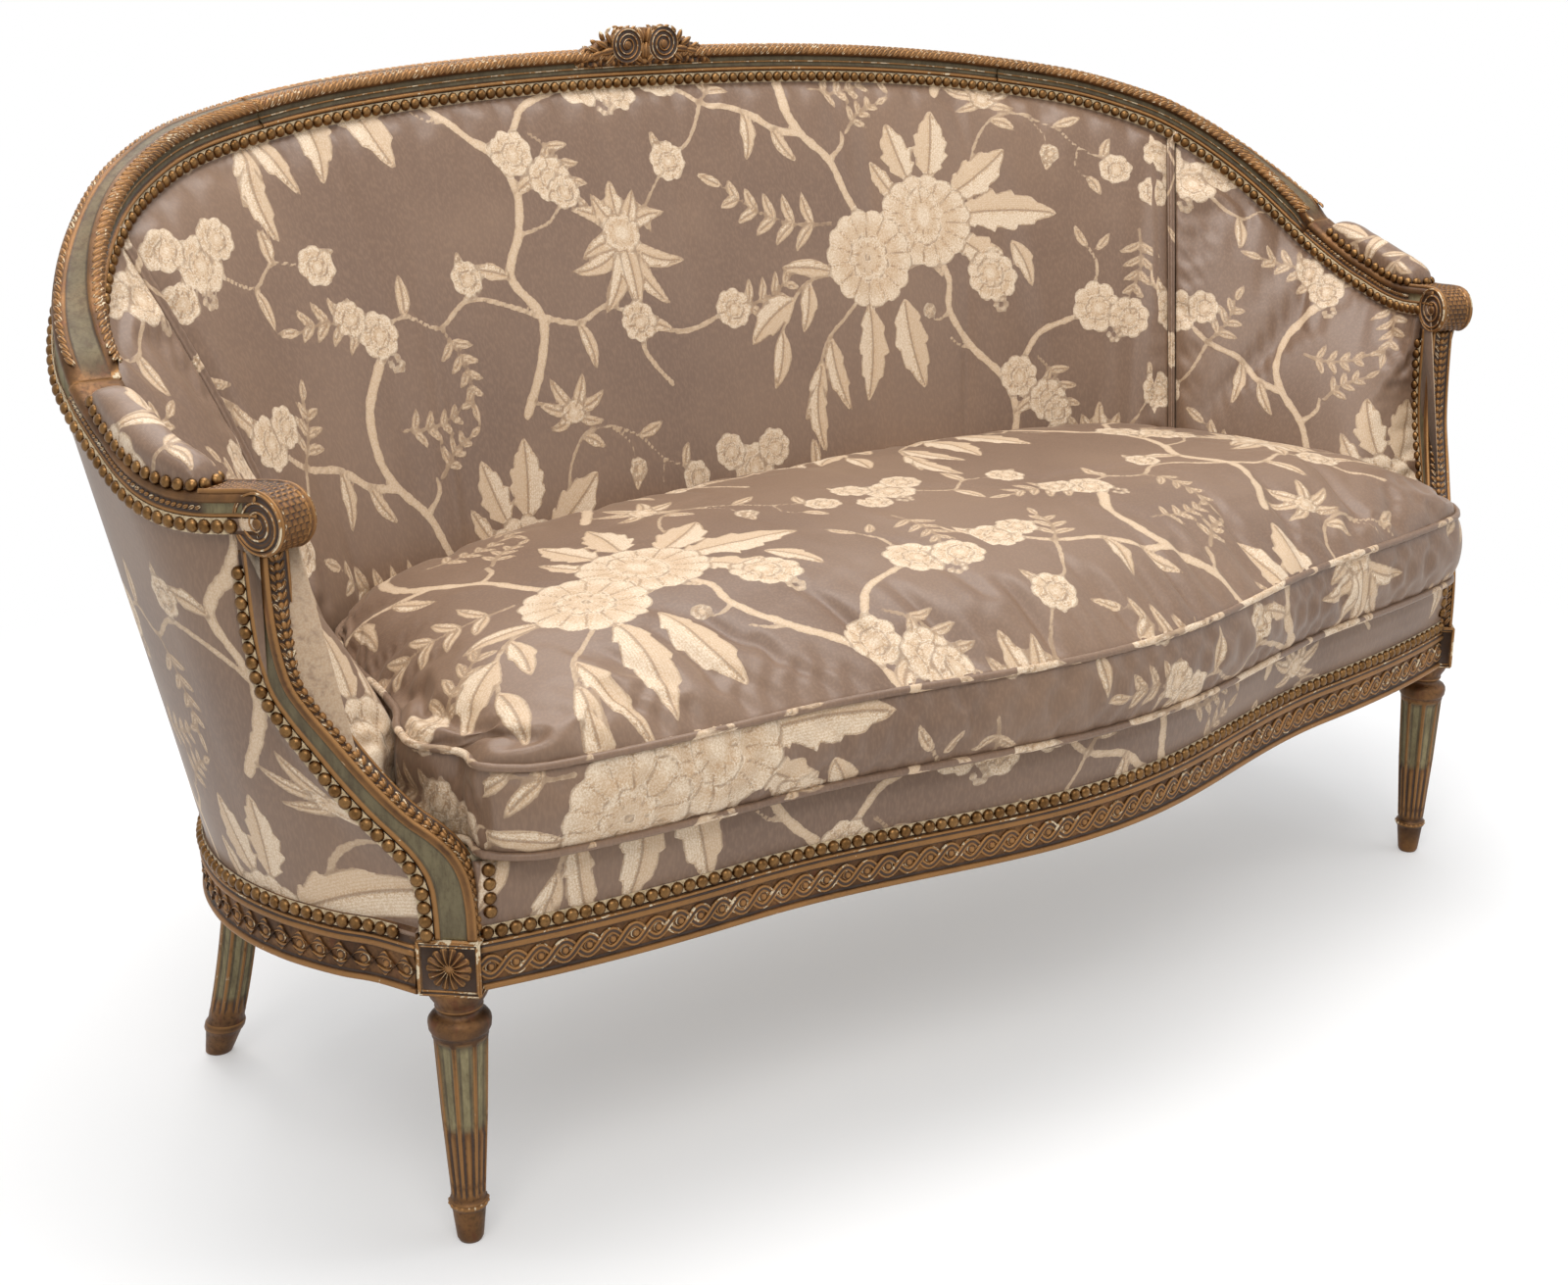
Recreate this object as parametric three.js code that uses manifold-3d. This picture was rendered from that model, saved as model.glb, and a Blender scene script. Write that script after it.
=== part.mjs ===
// A carved and gilded basket-shaped settee: bowed seat frame on four fluted legs,
// flared back with a crested top rail, scrolled arms, padded inside and a loose seat cushion.
// Millimetres, +Z up, X to the sitter's left seen from the front, the front faces -Y.
import * as THREE from 'three';
import { mergeVertices } from 'three/addons/utils/BufferGeometryUtils.js';
import Module from 'manifold-3d';

const wasm = await Module();
wasm.setup();

// Gaps and overruns
const fit = 0.3;
const softClear = 1.5;
const braidClear = 0.9;
const chordClear = 2;
const overrun = 2;

// Places of the frame
const legSpread = 660;
const sideBulge = 106;
const railBack = 533;
const railBottom = 245;
const railHeight = 58;
const railThick = 32;
const topHalf = 779;
const topBack = 658;
const topHeight = 911;
const padReach = 30;
const innerHalf = legSpread + padReach;
const innerBack = 494;
const innerLevel = 430;
const insideBulge = 14;

// Front rail plan
const frontEnd = 28;
const frontSwell = 40;
const frontBell = 57;
const bellHalf = 400;
const swellInset = 10;
const swellHalf = legSpread - swellInset;

// Rail moulding, measured from its outer face and bottom edge
const filletHeight = 6;
const friezeSink = 3;
const friezeTop = 35;
const filletTop = 44;
const rebateSink = 4;
const railRound = 2;

// Die block and front leg
const blockSide = 54;
const blockHeight = 50;
const blockFrame = 5;
const blockSink = 2.5;
const cupHeight = 23;
const neckRadius = 18;
const cupRadius = 27;
const collarRadius = 26;
const collarHeight = 16;
const shaftTopRadius = 24;
const shaftFootRadius = 14.5;
const ringRadius = 16.5;
const ringHeight = 8;
const toeHeight = 34;
const toeRadius = 9.5;
const fluteCount = 8;
const fluteDepth = 2.6;
const fluteEnd = 9;

// Rear leg and stile
const rearFootOut = 29;
const rearFootBack = 445;
const rearLegRadius = 19;
const shankInset = 20;
const rearBlockSide = 31;
const rearBlockDepth = 21;
const stileSide = 22;
const stileDepth = 15;

// Arm post, on the upright plane through the die block
const postThick = 28;
const postLean = 10;
const postDepth = 36;
const postReach = 125;
const postTop = 618;
const rebateWidth = 12.5;
const postRebate = 2;
const scrollHeight = 645;
const scrollRadius = 25;
const scrollWidth = 38;

// Arm and its pad
const armWidth = 43;
const armHeight = 34;
const armRound = 6;
const armBow = 70;
const padWidth = 38;
const padCrown = 24;

// Top rail section, from the nail line
const tuck = 8;
const seatWidth = 6;
const beadWidth = 5;
const beadProud = 4;
const grooveWidth = 12;
const ropeWidth = 12;
const ropeProud = 7;
const topThick = 30;

// Crest
const crestHalf = 92;
const crestHeight = 26;
const crestThick = 16;
const rosetteRadius = 21;
const rosetteSpread = 25;
const rosetteProud = 6;

// Trim
const gimpWidth = 12;
const gimpThick = 1.2;
const coverThick = 2.2;
const weltRadius = 3.5;
const seamWidth = 14;
const seamProud = 4;

// Seat
const webbingThick = 1.5;
const webbingWidth = 50;
const webbingPitch = 140;
const deckHeight = 56;
const deckSwell = 5;
const padBackClear = 20;
const innerRailHeight = 40;
const innerRailThick = 14;
const innerRailLift = 30;
const crossRailWidth = 45;
const crossRailHeight = 34;
const crossRailPlace = 225;
const braceReach = 42;
const braceHeight = 40;

// Cushion
const cushionLift = 6;
const cushionSide = 51;
const cushionOverhang = 12;
const cushionClear = 12;
const cornerInset = 12;
const cushionCorner = legSpread - cornerInset;
const cushionEnd = 17.6;

// Tenons
const tenonWidth = 10;
const tenonHeight = 30;
const tenonReach = 20;
const dowelSide = 12;

const railTop = railBottom + railHeight;
const blockTop = railBottom + blockHeight;
const deckBase = railTop + fit + webbingThick + fit;
const deckTop = deckBase + deckHeight;
const root = Math.SQRT1_2;

// Matched stations from the middle of the back to the arm post.
// Base: outer face of the seat rail, x and y as shares of the half width and of railBack.
const halfSeat = legSpread + sideBulge;
const baseShares = [
  [0, 1], [0.141, 0.997], [0.282, 0.985], [0.423, 0.962], [0.561, 0.93], [0.692, 0.888], [0.77, 0.85],
  [0.835, 0.808], [0.891, 0.752], [0.933, 0.686], [0.963, 0.614], [0.983, 0.544], [0.995, 0.475],
  [1, 0.417], [1, 0.366], [0.997, 0.318], [0.991, 0.272], [0.983, 0.228], [0.97, 0.178], [0.954, 0.128],
  [0.934, 0.082], [0.9124, 0.004],
];
// Inside: padded surface at cushion level, as shares of innerHalf and innerBack.
const insideShares = [
  [0, 1], [0.142, 0.996], [0.284, 0.984], [0.423, 0.962], [0.558, 0.927], [0.681, 0.877], [0.749, 0.836],
  [0.8, 0.788], [0.836, 0.737], [0.861, 0.673], [0.878, 0.61], [0.891, 0.545], [0.9, 0.481],
  [0.907, 0.424], [0.914, 0.37], [0.923, 0.317], [0.933, 0.267], [0.945, 0.222], [0.958, 0.178],
  [0.966, 0.135], [0.977, 0.095], [0.98, 0.05],
];
// Nail line on the top rail and the arm, as shares of topHalf, topBack and topHeight.
const topShares = [
  [0, 1, 1], [0.141, 0.992, 0.9995], [0.282, 0.978, 0.9967], [0.425, 0.96, 0.99], [0.565, 0.934, 0.979],
  [0.6996, 0.8845, 0.9627], [0.77, 0.8435, 0.9506], [0.828, 0.7964, 0.9341], [0.878, 0.7462, 0.9144],
  [0.92, 0.6945, 0.887], [0.955, 0.638, 0.854], [0.981, 0.5775, 0.8178], [0.995, 0.5198, 0.7849],
  [0.999, 0.468, 0.7607], [1, 0.4195, 0.742], [1, 0.371, 0.7256], [1, 0.3343, 0.7157],
  [0.998, 0.2994, 0.7065],
];
const lastStation = baseShares.length - 1;
const joinStation = 4.55;
const rearStation = 8;
const welted = 8.5;
const armStation = 12.6;
const handleStation = 16;
const padStart = 13.2;
const padEnd = 18.5;
const leastStep = 0.05;
const tangentStep = 0.02;
const wallStations = [
  1, 2, 3, 4, 5, 5.5, 6, 6.5, 7, 7.5, 9, 9.5, 10, 10.6, 11.2, 11.9, padStart, 14.1, 15, handleStation,
  17, 18, 19, 20,
];

// Arm post from the block up: the front face's forward place as a share of postReach, its height as a share of
// the post's, reach and drop of the back edge as shares of postDepth, and the share of the full turn.
const postShares = [
  [0.194, 0, 0.98, 0, 0], [0.188, 0.093, 0.985, 0.08, 0], [0.152, 0.176, 0.92, 0.31, 0],
  [0.072, 0.238, 0.78, 0.47, 0], [-0.048, 0.285, 0.62, 0.5, 0], [-0.208, 0.33, 0.46, 0.48, 0.02],
  [-0.36, 0.387, 0.44, 0.48, 0.08], [-0.512, 0.455, 0.46, 0.45, 0.2], [-0.672, 0.536, 0.5, 0.4, 0.38],
  [-0.808, 0.604, 0.57, 0.3, 0.58], [-0.912, 0.672, 0.63, 0.19, 0.76], [-0.968, 0.774, 0.67, 0.06, 0.93],
  [-0.992, 0.882, 0.67, 0, 1], [-1, 1, 0.67, 0, 1],
];
const postTurn = Math.PI / 4 - Math.PI / 9;

const V = (x, y, z) => new THREE.Vector3(x, y, z);
const mix = (a, b, s) => a + (b - a) * s;

function mirrored(points) {
  const left = points.slice(1).reverse().map((p) => V(-p.x, p.y, p.z));
  return left.concat(points);
}

function curveOf(points) {
  return new THREE.CatmullRomCurve3(mirrored(points), false, 'centripetal');
}

const baseCurve = curveOf(baseShares.map(([x, y]) => V(x * halfSeat, y * railBack, railTop)));
const insideCurve = curveOf(insideShares.map(([x, y]) => V(x * innerHalf, y * innerBack, innerLevel)));
const topCurve = curveOf(topShares.map(([x, y, z]) => V(x * topHalf, y * topBack, z * topHeight)));

// A curve's place at a station; its middle point is station zero.
function along(curve, u) {
  const half = (curve.points.length - 1) / 2;
  return curve.getPoint(THREE.MathUtils.clamp((u + half) / (2 * half), 0, 1));
}

// Frame of a curve: tangent, horizontal inward direction and the upright direction square to both.
function frameAt(curve, u) {
  const tangent = along(curve, u + tangentStep).sub(along(curve, u - tangentStep)).normalize();
  return { point: along(curve, u), ...squareTo(tangent) };
}

function squareTo(tangent) {
  const inward = V(tangent.y, -tangent.x, 0).normalize();
  const upright = new THREE.Vector3().crossVectors(inward, tangent);
  if (upright.z < 0) upright.negate();
  return { tangent, inward, upright };
}

// Half the seam's width as a share of one station's length there.
const seamStation = along(topCurve, welted + 1 / 2).distanceTo(along(topCurve, welted - 1 / 2));
const seamHalf = (seamWidth / 2 + fit) / seamStation;

// The shared stations between two places, so that neighbours meet along the same chords.
function between(from, to) {
  const marks = [
    ...wallStations, joinStation, rearStation, armStation, padEnd, welted - seamHalf, welted + seamHalf,
  ];
  const all = [0, ...marks, ...marks.map((u) => -u)].sort((a, b) => a - b);
  return [from, ...all.filter((u) => u > from + leastStep && u < to - leastStep), to];
}

// The nail line's frame along the top rail and the arm; past handleStation the arm bends into the scroll.
function railFrame(u) {
  const k = Math.abs(u);
  if (k > handleStation) return u > 0 ? handleFrame(k) : mirrorFrame(handleFrame(k));
  const f = frameAt(topCurve, u);
  const depth = mix(topThick, armWidth, THREE.MathUtils.smoothstep(k, rearStation, armStation));
  return { ...f, depth };
}

function handleFrame(u) {
  const s = (u - handleStation) / (lastStation - handleStation);
  const f = frameAt(topCurve, handleStation);
  const start = place(f, armHeight / 2 - tuck, -armWidth / 2);
  const end = scrollCentre().add(V(0, 0, scrollRadius - armHeight / 2));
  const pull = handleForward().multiplyScalar(-armBow / 2);
  const curve = new THREE.CubicBezierCurve3(
    start, start.clone().addScaledVector(f.tangent, armBow), end.clone().add(pull), end,
  );
  const square = squareTo(curve.getTangent(s));
  const depth = mix(armWidth, scrollWidth, THREE.MathUtils.smoothstep(s, 0, 0.9));
  const point = curve.getPoint(s).addScaledVector(square.inward, depth / 2)
    .addScaledVector(square.upright, tuck - armHeight / 2);
  return { point, ...square, depth };
}

function mirrorFrame({ point, tangent, inward, upright, depth }) {
  const over = (v) => V(-v.x, v.y, v.z);
  return { point: over(point), tangent: over(tangent), inward: over(inward), upright: over(upright), depth };
}

function place(f, a, n) {
  return f.point.clone().addScaledVector(f.upright, a).addScaledVector(f.inward, n);
}

// A closed body through equal rings of points. Ends: 'flat' caps, 'paired' caps that join each point to the
// one across from it, or 'joined' end to end.
function loft(rings, ends = 'flat') {
  const count = rings[0].length;
  const positions = [];
  rings.forEach((ring) => ring.forEach((p) => positions.push(p.x, p.y, p.z)));
  const faces = [];
  const spans = ends === 'joined' ? rings.length : rings.length - 1;
  for (let i = 0; i < spans; i += 1) {
    const near = i * count;
    const far = ((i + 1) % rings.length) * count;
    for (let j = 0; j < count; j += 1) {
      const k = (j + 1) % count;
      faces.push(near + j, far + j, far + k, near + j, far + k, near + k);
    }
  }
  if (ends !== 'joined') {
    const capper = ends === 'paired' ? pairedCap : capOf;
    capper(rings[0]).forEach(([a, b, c]) => faces.push(a, b, c));
    const last = (rings.length - 1) * count;
    capper(rings[rings.length - 1]).forEach(([a, b, c]) => faces.push(last + a, last + c, last + b));
  }
  return facedOut(positions, faces);
}

function pairedCap(ring) {
  const last = ring.length - 1;
  return ring.slice(0, ring.length / 2 - 1)
    .flatMap((_, i) => [[i, i + 1, last - i - 1], [i, last - i - 1, last - i]]);
}

// Flat cap of a ring, wound so that it closes the side faces.
function capOf(ring) {
  const middle = ring.reduce((sum, p) => sum.add(p), V(0, 0, 0)).divideScalar(ring.length);
  const normal = V(0, 0, 0);
  ring.forEach((p, i) => {
    const q = ring[(i + 1) % ring.length];
    normal.add(p.clone().sub(middle).cross(q.clone().sub(middle)));
  });
  normal.normalize();
  const side = Math.abs(normal.z) < root ? V(0, 0, 1) : V(1, 0, 0);
  const right = new THREE.Vector3().crossVectors(side, normal).normalize();
  const up = new THREE.Vector3().crossVectors(normal, right);
  const flat = ring.map((p) => new THREE.Vector2(p.dot(right), p.dot(up)));
  const cap = THREE.ShapeUtils.triangulateShape(flat, []);
  return cap.map(([a, b, c]) => {
    const turn = flat[b].clone().sub(flat[a]).cross(flat[c].clone().sub(flat[a]));
    return turn > 0 ? [a, b, c] : [a, c, b];
  });
}

function facedOut(positions, faces) {
  let volume = 0;
  const at = (i) => V(positions[3 * i], positions[3 * i + 1], positions[3 * i + 2]);
  for (let i = 0; i < faces.length; i += 3) {
    volume += at(faces[i]).dot(at(faces[i + 1]).cross(at(faces[i + 2])));
  }
  if (volume < 0) {
    for (let i = 0; i < faces.length; i += 3) [faces[i + 1], faces[i + 2]] = [faces[i + 2], faces[i + 1]];
  }
  const geometry = new THREE.BufferGeometry();
  geometry.setAttribute('position', new THREE.Float32BufferAttribute(positions, 3));
  geometry.setIndex(faces);
  return geometry;
}

// The same shape with shared corners and no shading data.
function bareOf(geometry) {
  const bare = geometry.clone();
  bare.deleteAttribute('normal');
  bare.deleteAttribute('uv');
  return mergeVertices(bare);
}

function solidOf(geometry) {
  const merged = bareOf(geometry);
  const mesh = new wasm.Mesh({
    numProp: 3,
    vertProperties: Float32Array.from(merged.attributes.position.array),
    triVerts: Uint32Array.from(merged.index.array),
  });
  return new wasm.Manifold(mesh);
}

// The largest body of a solid, as a geometry.
function geometryOf(solid) {
  const bodies = solid.decompose();
  const body = bodies.reduce((best, one) => (one.volume() > best.volume() ? one : best));
  const mesh = body.getMesh();
  const geometry = new THREE.BufferGeometry();
  const corners = Float32Array.from(mesh.vertProperties);
  geometry.setAttribute('position', new THREE.Float32BufferAttribute(corners, 3));
  geometry.setIndex(Array.from(mesh.triVerts));
  return geometry;
}

function without(geometry, ...cutters) {
  return geometryOf(cutters.reduce((left, cutter) => left.subtract(solidOf(cutter)), solidOf(geometry)));
}

function joined(...pieces) {
  return geometryOf(pieces.map(solidOf).reduce((sum, one) => sum.add(one)));
}

function flipped(geometry) {
  const merged = bareOf(geometry);
  merged.applyMatrix4(new THREE.Matrix4().makeScale(-1, 1, 1));
  return facedOut(Array.from(merged.attributes.position.array), Array.from(merged.index.array));
}

// Faces turned back out after a mirroring move.
function unsplit(geometry) {
  const merged = bareOf(geometry);
  return facedOut(Array.from(merged.attributes.position.array), Array.from(merged.index.array));
}

function stations(from, to, count) {
  return Array.from({ length: count + 1 }, (_, i) => mix(from, to, i / count));
}

// Box by its centre and sizes, turned about Z.
function boxAt(centre, size, turn = 0) {
  const box = new THREE.BoxGeometry(size.x, size.y, size.z);
  box.rotateZ(turn);
  box.translate(centre.x, centre.y, centre.z);
  return box;
}

// A place in the right post's own directions: forward along the plane, outward square to it.
function fromBlock(forward, outward, z) {
  return V(legSpread - root * forward + root * outward, -root * forward - root * outward, z);
}

// Front rail: outer face in plan.
function frontY(x) {
  const swell = frontSwell * (1 - (x / swellHalf) ** 4);
  const turned = (Math.min(Math.abs(x / bellHalf), 1) * Math.PI) / 2;
  const bell = frontBell * Math.cos(turned) ** 2;
  return -frontEnd - swell - bell;
}

// Rail section: distance out of the face, height above the rail's bottom.
function railSection(grow) {
  return [
    [-railThick - grow, -grow], [-railRound, -grow], [grow, railRound], [grow, filletHeight],
    [grow - friezeSink, filletHeight + railRound], [grow - friezeSink, friezeTop - railRound],
    [grow, friezeTop], [grow, filletTop],
    [grow - rebateSink, filletTop + railRound / 2], [grow - rebateSink, railHeight + grow],
    [-railThick - grow, railHeight + grow],
  ];
}

function frontRing(x, section) {
  const slope = (frontY(x + overrun) - frontY(x - overrun)) / (2 * overrun);
  const out = V(slope, -1, 0).normalize();
  return section.map(([n, z]) => V(x, frontY(x), railBottom + z).addScaledVector(out, n));
}

function frontRailBody(grow) {
  return loft(stations(-legSpread, legSpread, 26).map((x) => frontRing(x, railSection(grow))));
}

function curvedRailBody(from, to, grow) {
  const section = railSection(grow);
  return loft(between(from, to).map((u) => {
    const f = frameAt(baseCurve, u);
    return section.map(([n, z]) => V(f.point.x, f.point.y, railBottom + z).addScaledVector(f.inward, -n));
  }));
}

function dieBlock(grow) {
  const size = V(blockSide + 2 * grow, blockSide + 2 * grow, blockHeight + 2 * grow);
  return boxAt(V(legSpread, 0, railBottom + blockHeight / 2), size, Math.PI / 4);
}

// Room that a rail or a cover leaves for the die block, and above it.
function blockSpace() {
  const size = V(blockSide + 2 * fit, blockSide + 2 * fit, blockHeight * 2);
  return boxAt(V(legSpread, 0, railBottom - fit + blockHeight), size, Math.PI / 4);
}

// Tenon across the die block's face on the given side: 1 for the front rail, -1 for the side rail.
function tenon(side, grow) {
  const size = V(tenonReach * 2 + 2 * grow, tenonWidth + 2 * grow, tenonHeight + 2 * grow);
  const outward = side > 0 ? -tenonWidth : 0;
  const centre = fromBlock((side * blockSide) / 2, outward, railBottom + blockHeight / 2);
  return boxAt(centre, size, Math.PI / 4);
}

function dowel(grow) {
  const size = V(dowelSide + 2 * grow, dowelSide + 2 * grow, dowelSide * 2 + 2 * grow);
  return boxAt(fromBlock(0, postLean, blockTop), size, Math.PI / 4);
}

function frontRail() {
  const trimmed = without(frontRailBody(0), blockSpace(), flipped(blockSpace()));
  return joined(trimmed, tenon(1, 0), flipped(tenon(1, 0)));
}

function sideRail() {
  const start = rearStation + fit / railThick;
  return joined(without(curvedRailBody(start, lastStation, 0), blockSpace(), rearBlock(fit)), tenon(-1, 0));
}

function backRail() {
  const end = rearStation - fit / railThick;
  return without(curvedRailBody(-end, end, 0), rearBlock(fit), flipped(rearBlock(fit)));
}

// Front leg below the die block: radius for each height.
function legProfile() {
  const collarTop = railBottom - cupHeight - railRound;
  const shaftTop = collarTop - collarHeight;
  const low = toeHeight + ringHeight;
  return [
    [0, 0], [toeRadius, 0], [toeRadius + railRound, railRound * 2], [shaftFootRadius, toeHeight],
    [ringRadius, toeHeight + railRound], [ringRadius, low - railRound], [shaftFootRadius, low],
    [mix(shaftFootRadius, shaftTopRadius, 0.08), low + fluteEnd],
    [mix(shaftFootRadius, shaftTopRadius, 0.93), shaftTop - fluteEnd], [shaftTopRadius, shaftTop],
    [collarRadius, shaftTop + railRound], [collarRadius, shaftTop + collarHeight / 2],
    [neckRadius + railRound, collarTop], [neckRadius, collarTop + railRound * 2],
    [neckRadius + railRound, collarTop + railRound * 4], [cupRadius, railBottom - railRound],
    [cupRadius, railBottom + overrun], [0, railBottom + overrun],
  ].map(([r, z]) => ({ r, z }));
}

// Flutes sink the shaft between its ends, a share of their depth at each angle.
const fluteShares = [0, 1, 1];

function fluted(profile, low, high) {
  const sides = fluteCount * fluteShares.length;
  return profile.filter((p) => p.r > 0).map(({ r, z }) => Array.from({ length: sides }, (_, i) => {
    const angle = (2 * Math.PI * (i - 3 / 2)) / sides;
    const inside = z > low && z < high;
    const sink = inside ? fluteDepth * fluteShares[i % fluteShares.length] : 0;
    return V((r - sink) * Math.cos(angle), (r - sink) * Math.sin(angle), z);
  }));
}

function frontLeg() {
  const profile = legProfile();
  const low = toeHeight + ringHeight;
  const high = railBottom - cupHeight - railRound - collarHeight;
  const shaft = loft(fluted(profile, low + fit, high - fit));
  shaft.translate(legSpread, 0, 0);
  const frameSide = blockSide - 2 * blockFrame;
  const panel = boxAt(
    fromBlock(0, blockSide / 2, railBottom + blockHeight / 2),
    V(frameSide, 2 * blockSink, blockHeight - 2 * blockFrame), Math.PI / 4,
  );
  const block = without(dieBlock(0), panel, tenon(1, fit), tenon(-1, fit), dowel(fit));
  return joined(block, shaft);
}

// Rear leg: a raked round leg under a square block, carried up inside the back as the stile.
function rearBlock(grow) {
  const f = frameAt(baseCurve, rearStation);
  const c = f.point.clone().addScaledVector(f.inward, rearBlockDepth);
  return loft([railBottom - overrun - grow, railTop].map((z) => squareRing(
    V(c.x, c.y, z), rearBlockSide + 2 * grow, f.inward,
  )));
}

function squareRing(c, side, inward) {
  const sideways = V(-inward.y, inward.x, 0);
  return [[-1, -1], [1, -1], [1, 1], [-1, 1]].map(([a, b]) => c.clone()
    .addScaledVector(inward, (a * side) / 2).addScaledVector(sideways, (b * side) / 2));
}

function rearLegLine(s) {
  const f = frameAt(baseCurve, rearStation);
  const head = f.point.clone().addScaledVector(f.inward, shankInset);
  head.z = railBottom - fit;
  const foot = V(legSpread + rearFootOut, rearFootBack, 0);
  const bend = V(mix(head.x, foot.x, 0.35), mix(head.y, foot.y, 0.3), mix(0, railBottom, 0.45));
  return new THREE.QuadraticBezierCurve3(foot, bend, head).getPoint(s);
}

// Radius shares of the rear leg for each height share.
const rearShares = [
  [0, 0.58], [0.03, 0.68], [0.13, 0.88], [0.14, 0.98], [0.17, 0.98], [0.18, 0.88], [0.24, 0.9], [0.52, 0.93],
  [0.8, 0.98], [0.84, 1], [0.87, 1.06], [0.93, 1.06], [0.96, 0.96], [1, 0.96],
];

function rearShank() {
  const sides = fluteCount * fluteShares.length;
  const rings = rearShares.map(([s, share]) => {
    const c = rearLegLine(s);
    const grooved = s > 0.22 && s < 0.82;
    return Array.from({ length: sides }, (_, i) => {
      const angle = (2 * Math.PI * i) / sides;
      const r = rearLegRadius * share - (grooved ? fluteDepth * fluteShares[i % fluteShares.length] : 0);
      return V(c.x + r * Math.cos(angle), c.y + r * Math.sin(angle), c.z);
    });
  });
  return loft(rings);
}

function stile(grow) {
  return loft(stations(0, 1, 5).map((s) => {
    const c = wallPoint(rearStation, s, stileDepth);
    if (s === 0) c.z = railTop - overrun;
    return squareRing(c, stileSide + 2 * grow, wallInward(rearStation));
  }));
}

function rearLeg() {
  const body = joined(rearShank(), rearBlock(0), stile(0));
  return without(body, topRailPiece(joinStation, armStation, fit));
}

// Place at the back edge of the post at one height, moved across it by an offset.
function wallEnd(z, offset) {
  const edges = postShares.map((_, k) => postSection(k, 0));
  const k = THREE.MathUtils.clamp(edges.findIndex((e) => e.back.z >= z), 1, edges.length - 1);
  const top = edges[edges.length - 1].back.z;
  const [a, b] = [edges[z > top ? edges.length - 2 : k - 1], edges[z > top ? edges.length - 1 : k]];
  const part = THREE.MathUtils.clamp((z - a.back.z) / (b.back.z - a.back.z), 0, 1);
  const edge = a.back.clone().lerp(b.back, part).lerp(a.seat.clone().lerp(b.seat, part), 1 / 2);
  return edge.addScaledVector(a.width.clone().lerp(b.width, part), offset);
}

// Outer wall of the body: from the rail's rebate up to the underside of the top rail.
function outerRuled(u, s) {
  const b = frameAt(baseCurve, u);
  const foot = b.point.clone().addScaledVector(b.inward, rebateSink + gimpThick + fit);
  foot.z += fit;
  const t = railFrame(u);
  return foot.lerp(place(t, -tuck - softClear, -t.depth), s);
}

// Both walls bend level into the post over the last stations.
function bentTo(ruled, offset, u, s) {
  const p = ruled(u, s);
  const k = Math.abs(u);
  if (k <= handleStation) return p;
  const share = ((k - handleStation) / (lastStation - handleStation)) ** 2;
  const last = ruled(lastStation, s);
  const shift = wallEnd(last.z, offset).sub(last).multiplyScalar(share);
  return p.add(V(u < 0 ? -shift.x : shift.x, shift.y, 0));
}

function outerPoint(u, s) {
  return bentTo(outerRuled, postThick / 2 - postRebate, u, s);
}

function wallInward(u) {
  return frameAt(baseCurve, u).inward;
}

// A point inside the wall at a depth below the outer surface, between the rail and the top rail.
function wallPoint(u, s, depth) {
  return outerPoint(u, s).addScaledVector(wallInward(u), depth);
}

// Padded inside surface: upright below innerLevel, then leaning out to the nail line.
function innerRuled(u, s) {
  const low = along(insideCurve, u);
  const t = railFrame(u);
  const head = place(t, -tuck - softClear, 0);
  const knee = (innerLevel - deckBase) / (head.z - deckBase);
  if (s <= knee) return V(low.x, low.y, mix(deckBase, innerLevel, s / knee));
  const rise = (s - knee) / (1 - knee);
  return low.clone().lerp(head, rise).addScaledVector(t.inward, insideBulge * Math.sin(Math.PI * rise));
}

function innerPoint(u, s) {
  return bentTo(innerRuled, postRebate - postThick / 2, u, s);
}

const padLevels = [0, 0.13, 0.25, 0.4, 0.55, 0.7, 0.85, 1];

// The pad fills the wall up to the back of the tacking rail.
function padRing(u) {
  const front = padLevels.map((s) => innerPoint(u, s));
  const ease = THREE.MathUtils.smoothstep(Math.abs(u), handleStation, lastStation);
  const back = padLevels.map((s) => {
    const p = wallPoint(u, s, mix(padBackClear, coverThick * 3, ease));
    if (s === 0) p.z = deckBase;
    return p;
  });
  return front.concat(back.reverse());
}

function padPiece(from, to) {
  return loft(between(from, to).map(padRing), 'paired');
}

function sidePad() {
  const body = padPiece(welted + seamHalf, lastStation);
  return without(body, postSpace(), armBody(fit), scrollDrum(fit), tackRail(rearStation, lastStation, fit));
}

function backPad() {
  const end = welted - seamHalf;
  return without(padPiece(-end, end), stile(fit), flipped(stile(fit)));
}

// Double piping laid over the seam between the back and the side.
function seamWelt() {
  const half = seamHalf * (1 - (3 * softClear) / seamWidth);
  const { inward } = railFrame(welted);
  const rings = padLevels.map((s) => {
    const left = innerPoint(welted - half, s);
    const right = innerPoint(welted + half, s);
    const front = [0, 1 / 4, 1 / 2, 3 / 4, 1].map((t) => left.clone().lerp(right, t)
      .addScaledVector(inward, t * (1 - t) % (1 / 4) > 0 ? seamProud : 0));
    const back = [right, left].map((p) => p.clone().addScaledVector(inward, -seamProud / 2));
    return front.concat(back);
  });
  return loft(rings);
}

// Outside cover: cloth over the outer wall, down over the rail's rebate.
function coverPiece(from, to) {
  const levels = [0, 0.3, 0.65, 1];
  return loft(between(from, to).map((u) => {
    const inward = wallInward(u);
    const skin = levels.map((s) => outerPoint(u, s));
    const back = skin.map((p) => p.clone().addScaledVector(inward, coverThick));
    return skin.concat(back.reverse());
  }), 'paired');
}

function sideCover() {
  const body = coverPiece(rearStation + fit / railThick, lastStation);
  return without(body, postSpace(), blockSpace(), armBody(fit), scrollDrum(fit));
}

function backCover() {
  const end = rearStation - fit / railThick;
  return coverPiece(-end, end);
}

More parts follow.
